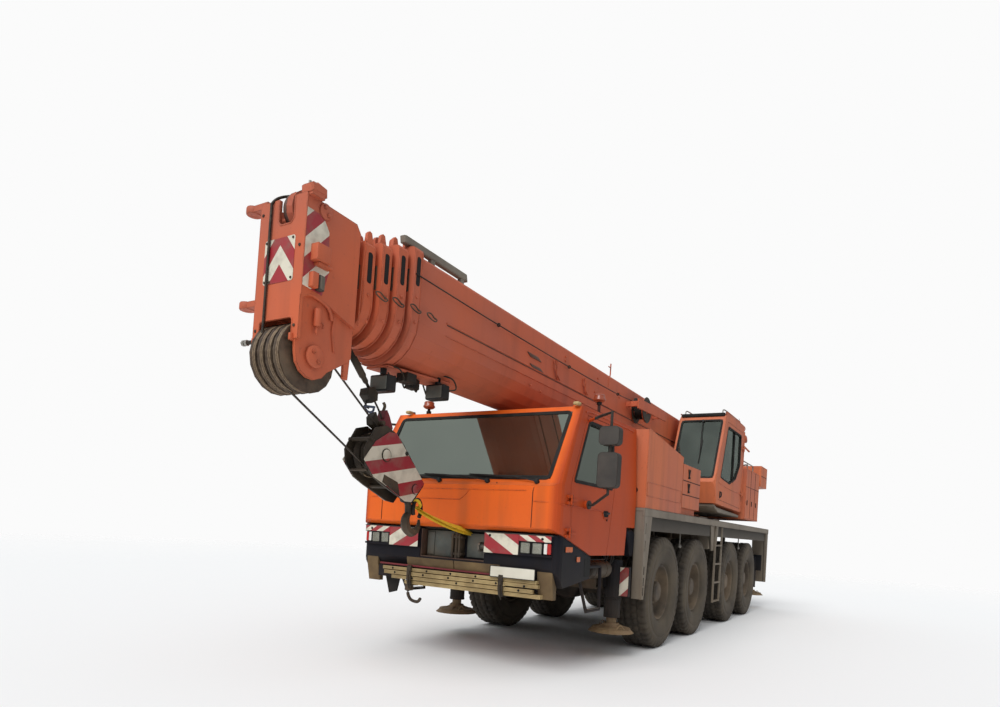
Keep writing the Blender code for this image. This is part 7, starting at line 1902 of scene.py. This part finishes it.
def floor_and_light():
    """Pale floor that fades into a pale sky, and a wide soft light from above."""
    floor_reach, fade_from, fade_to = 32.0, 14.0, 30.0
    sky_strength, sun_strength, sun_width, sun_way = 0.88, 2.0, math.radians(35), (-11, -0.3, -10.5)
    finish, tree, shader = new_finish("studio_floor")
    tree.nodes.remove(shader)
    place = add_node(tree, "ShaderNodeTexCoord").outputs["Object"]
    reach = add_node(tree, "ShaderNodeVectorMath", {0: place}, operation="LENGTH").outputs["Value"]
    fade = ramp(tree, reach, fade_from, fade_to)
    ground = add_node(tree, "ShaderNodeBsdfDiffuse", {"Color": linear("#f2f1ef")})
    clear = add_node(tree, "ShaderNodeBsdfTransparent")
    mixed = add_node(tree, "ShaderNodeMixShader", {0: fade, 1: ground.outputs[0], 2: clear.outputs[0]})
    tree.links.new(mixed.outputs[0], tree.nodes["Material Output"].inputs["Surface"])
    mesh = bpy.data.meshes.new("studio_floor")
    mesh.from_pydata(np.column_stack([circle(floor_reach, 64), np.zeros(64)]).tolist(), [],
                     [tuple(range(64))])
    floor = bpy.data.objects.new("studio_floor", mesh)
    mesh.materials.append(finish)
    bpy.context.scene.collection.objects.link(floor)

    world = bpy.data.worlds.new("studio")
    bpy.context.scene.world = world
    world.use_nodes = True
    tree = world.node_tree
    tree.nodes.clear()
    path = add_node(tree, "ShaderNodeLightPath")
    seen = most(tree, path.outputs["Is Camera Ray"], path.outputs["Is Transmission Ray"])
    up = add_node(tree, "ShaderNodeSeparateXYZ",
                  {0: add_node(tree, "ShaderNodeTexCoord").outputs["Generated"]}).outputs["Z"]
    sky = blend(tree, ramp(tree, up, -0.1, 0.9), "#8d8f92", "#e9edf2")
    light = add_node(tree, "ShaderNodeBackground", {"Color": sky, "Strength": sky_strength})
    shown = add_node(tree, "ShaderNodeBackground", {"Color": linear("#fbfbfb"), "Strength": 1.0})
    both = add_node(tree, "ShaderNodeMixShader", {0: seen, 1: light.outputs[0], 2: shown.outputs[0]})
    add_node(tree, "ShaderNodeOutputWorld", {"Surface": both.outputs[0]})

    data = bpy.data.lights.new("soft_sun", "SUN")
    data.energy = sun_strength
    data.angle = sun_width
    sun = bpy.data.objects.new("soft_sun", data)
    bpy.context.scene.collection.objects.link(sun)
    sun.rotation_euler = Vector(sun_way).to_track_quat("-Z", "Y").to_euler()


def camera_of_the_photograph():
    """Camera of the fitted view: right, up and back from yaw, pitch and roll, shifted to its centre."""
    yaw, pitch, roll = 3.6912, 0.0121, 0.0598
    wide, high, focal, centre = 1000.0, 707.0, 655.6, (502.68, 521.42)    # the photograph, in pixels
    sensor = 36.0
    forward = np.array([math.cos(pitch) * math.cos(yaw), math.cos(pitch) * math.sin(yaw), math.sin(pitch)])
    right = np.cross(forward, [0.0, 0.0, 1.0])
    right /= np.linalg.norm(right)
    up = np.cross(right, forward)
    across = math.cos(roll) * right + math.sin(roll) * up
    above = -math.sin(roll) * right + math.cos(roll) * up
    data = bpy.data.cameras.new("photograph_view")
    data.sensor_width = sensor
    data.lens = focal * sensor / wide
    data.shift_x = (wide / 2 - centre[0]) / wide
    data.shift_y = (centre[1] - high / 2) / wide
    camera = bpy.data.objects.new("photograph_view", data)
    bpy.context.scene.collection.objects.link(camera)
    turn = Matrix([list(row) for row in np.column_stack([across, above, -forward])]).to_4x4()
    turn.translation = (8.7506 + FIRST_AXLE, 4.1082, 1.4689)
    camera.matrix_world = turn
    bpy.context.scene.camera = camera


bpy.context.scene.view_settings.view_transform = "Standard"
camera_of_the_photograph()
floor_and_light()
cab_finish()
deck_finish()
finish_nodes()
dress_wheels()
dress_windscreen()
dress_cab_nose()
dress_driver_doors()
dress_lamp_boards()
dress_bumper()
dress_plank_stack()
dress_outriggers()
dress_engine_covers()
dress_deck()
dress_crane_cab()
dress_turntable()
dress_boom()
dress_boom_head()
dress_hook_block()
dress_anti_two_block()
dress_sling()
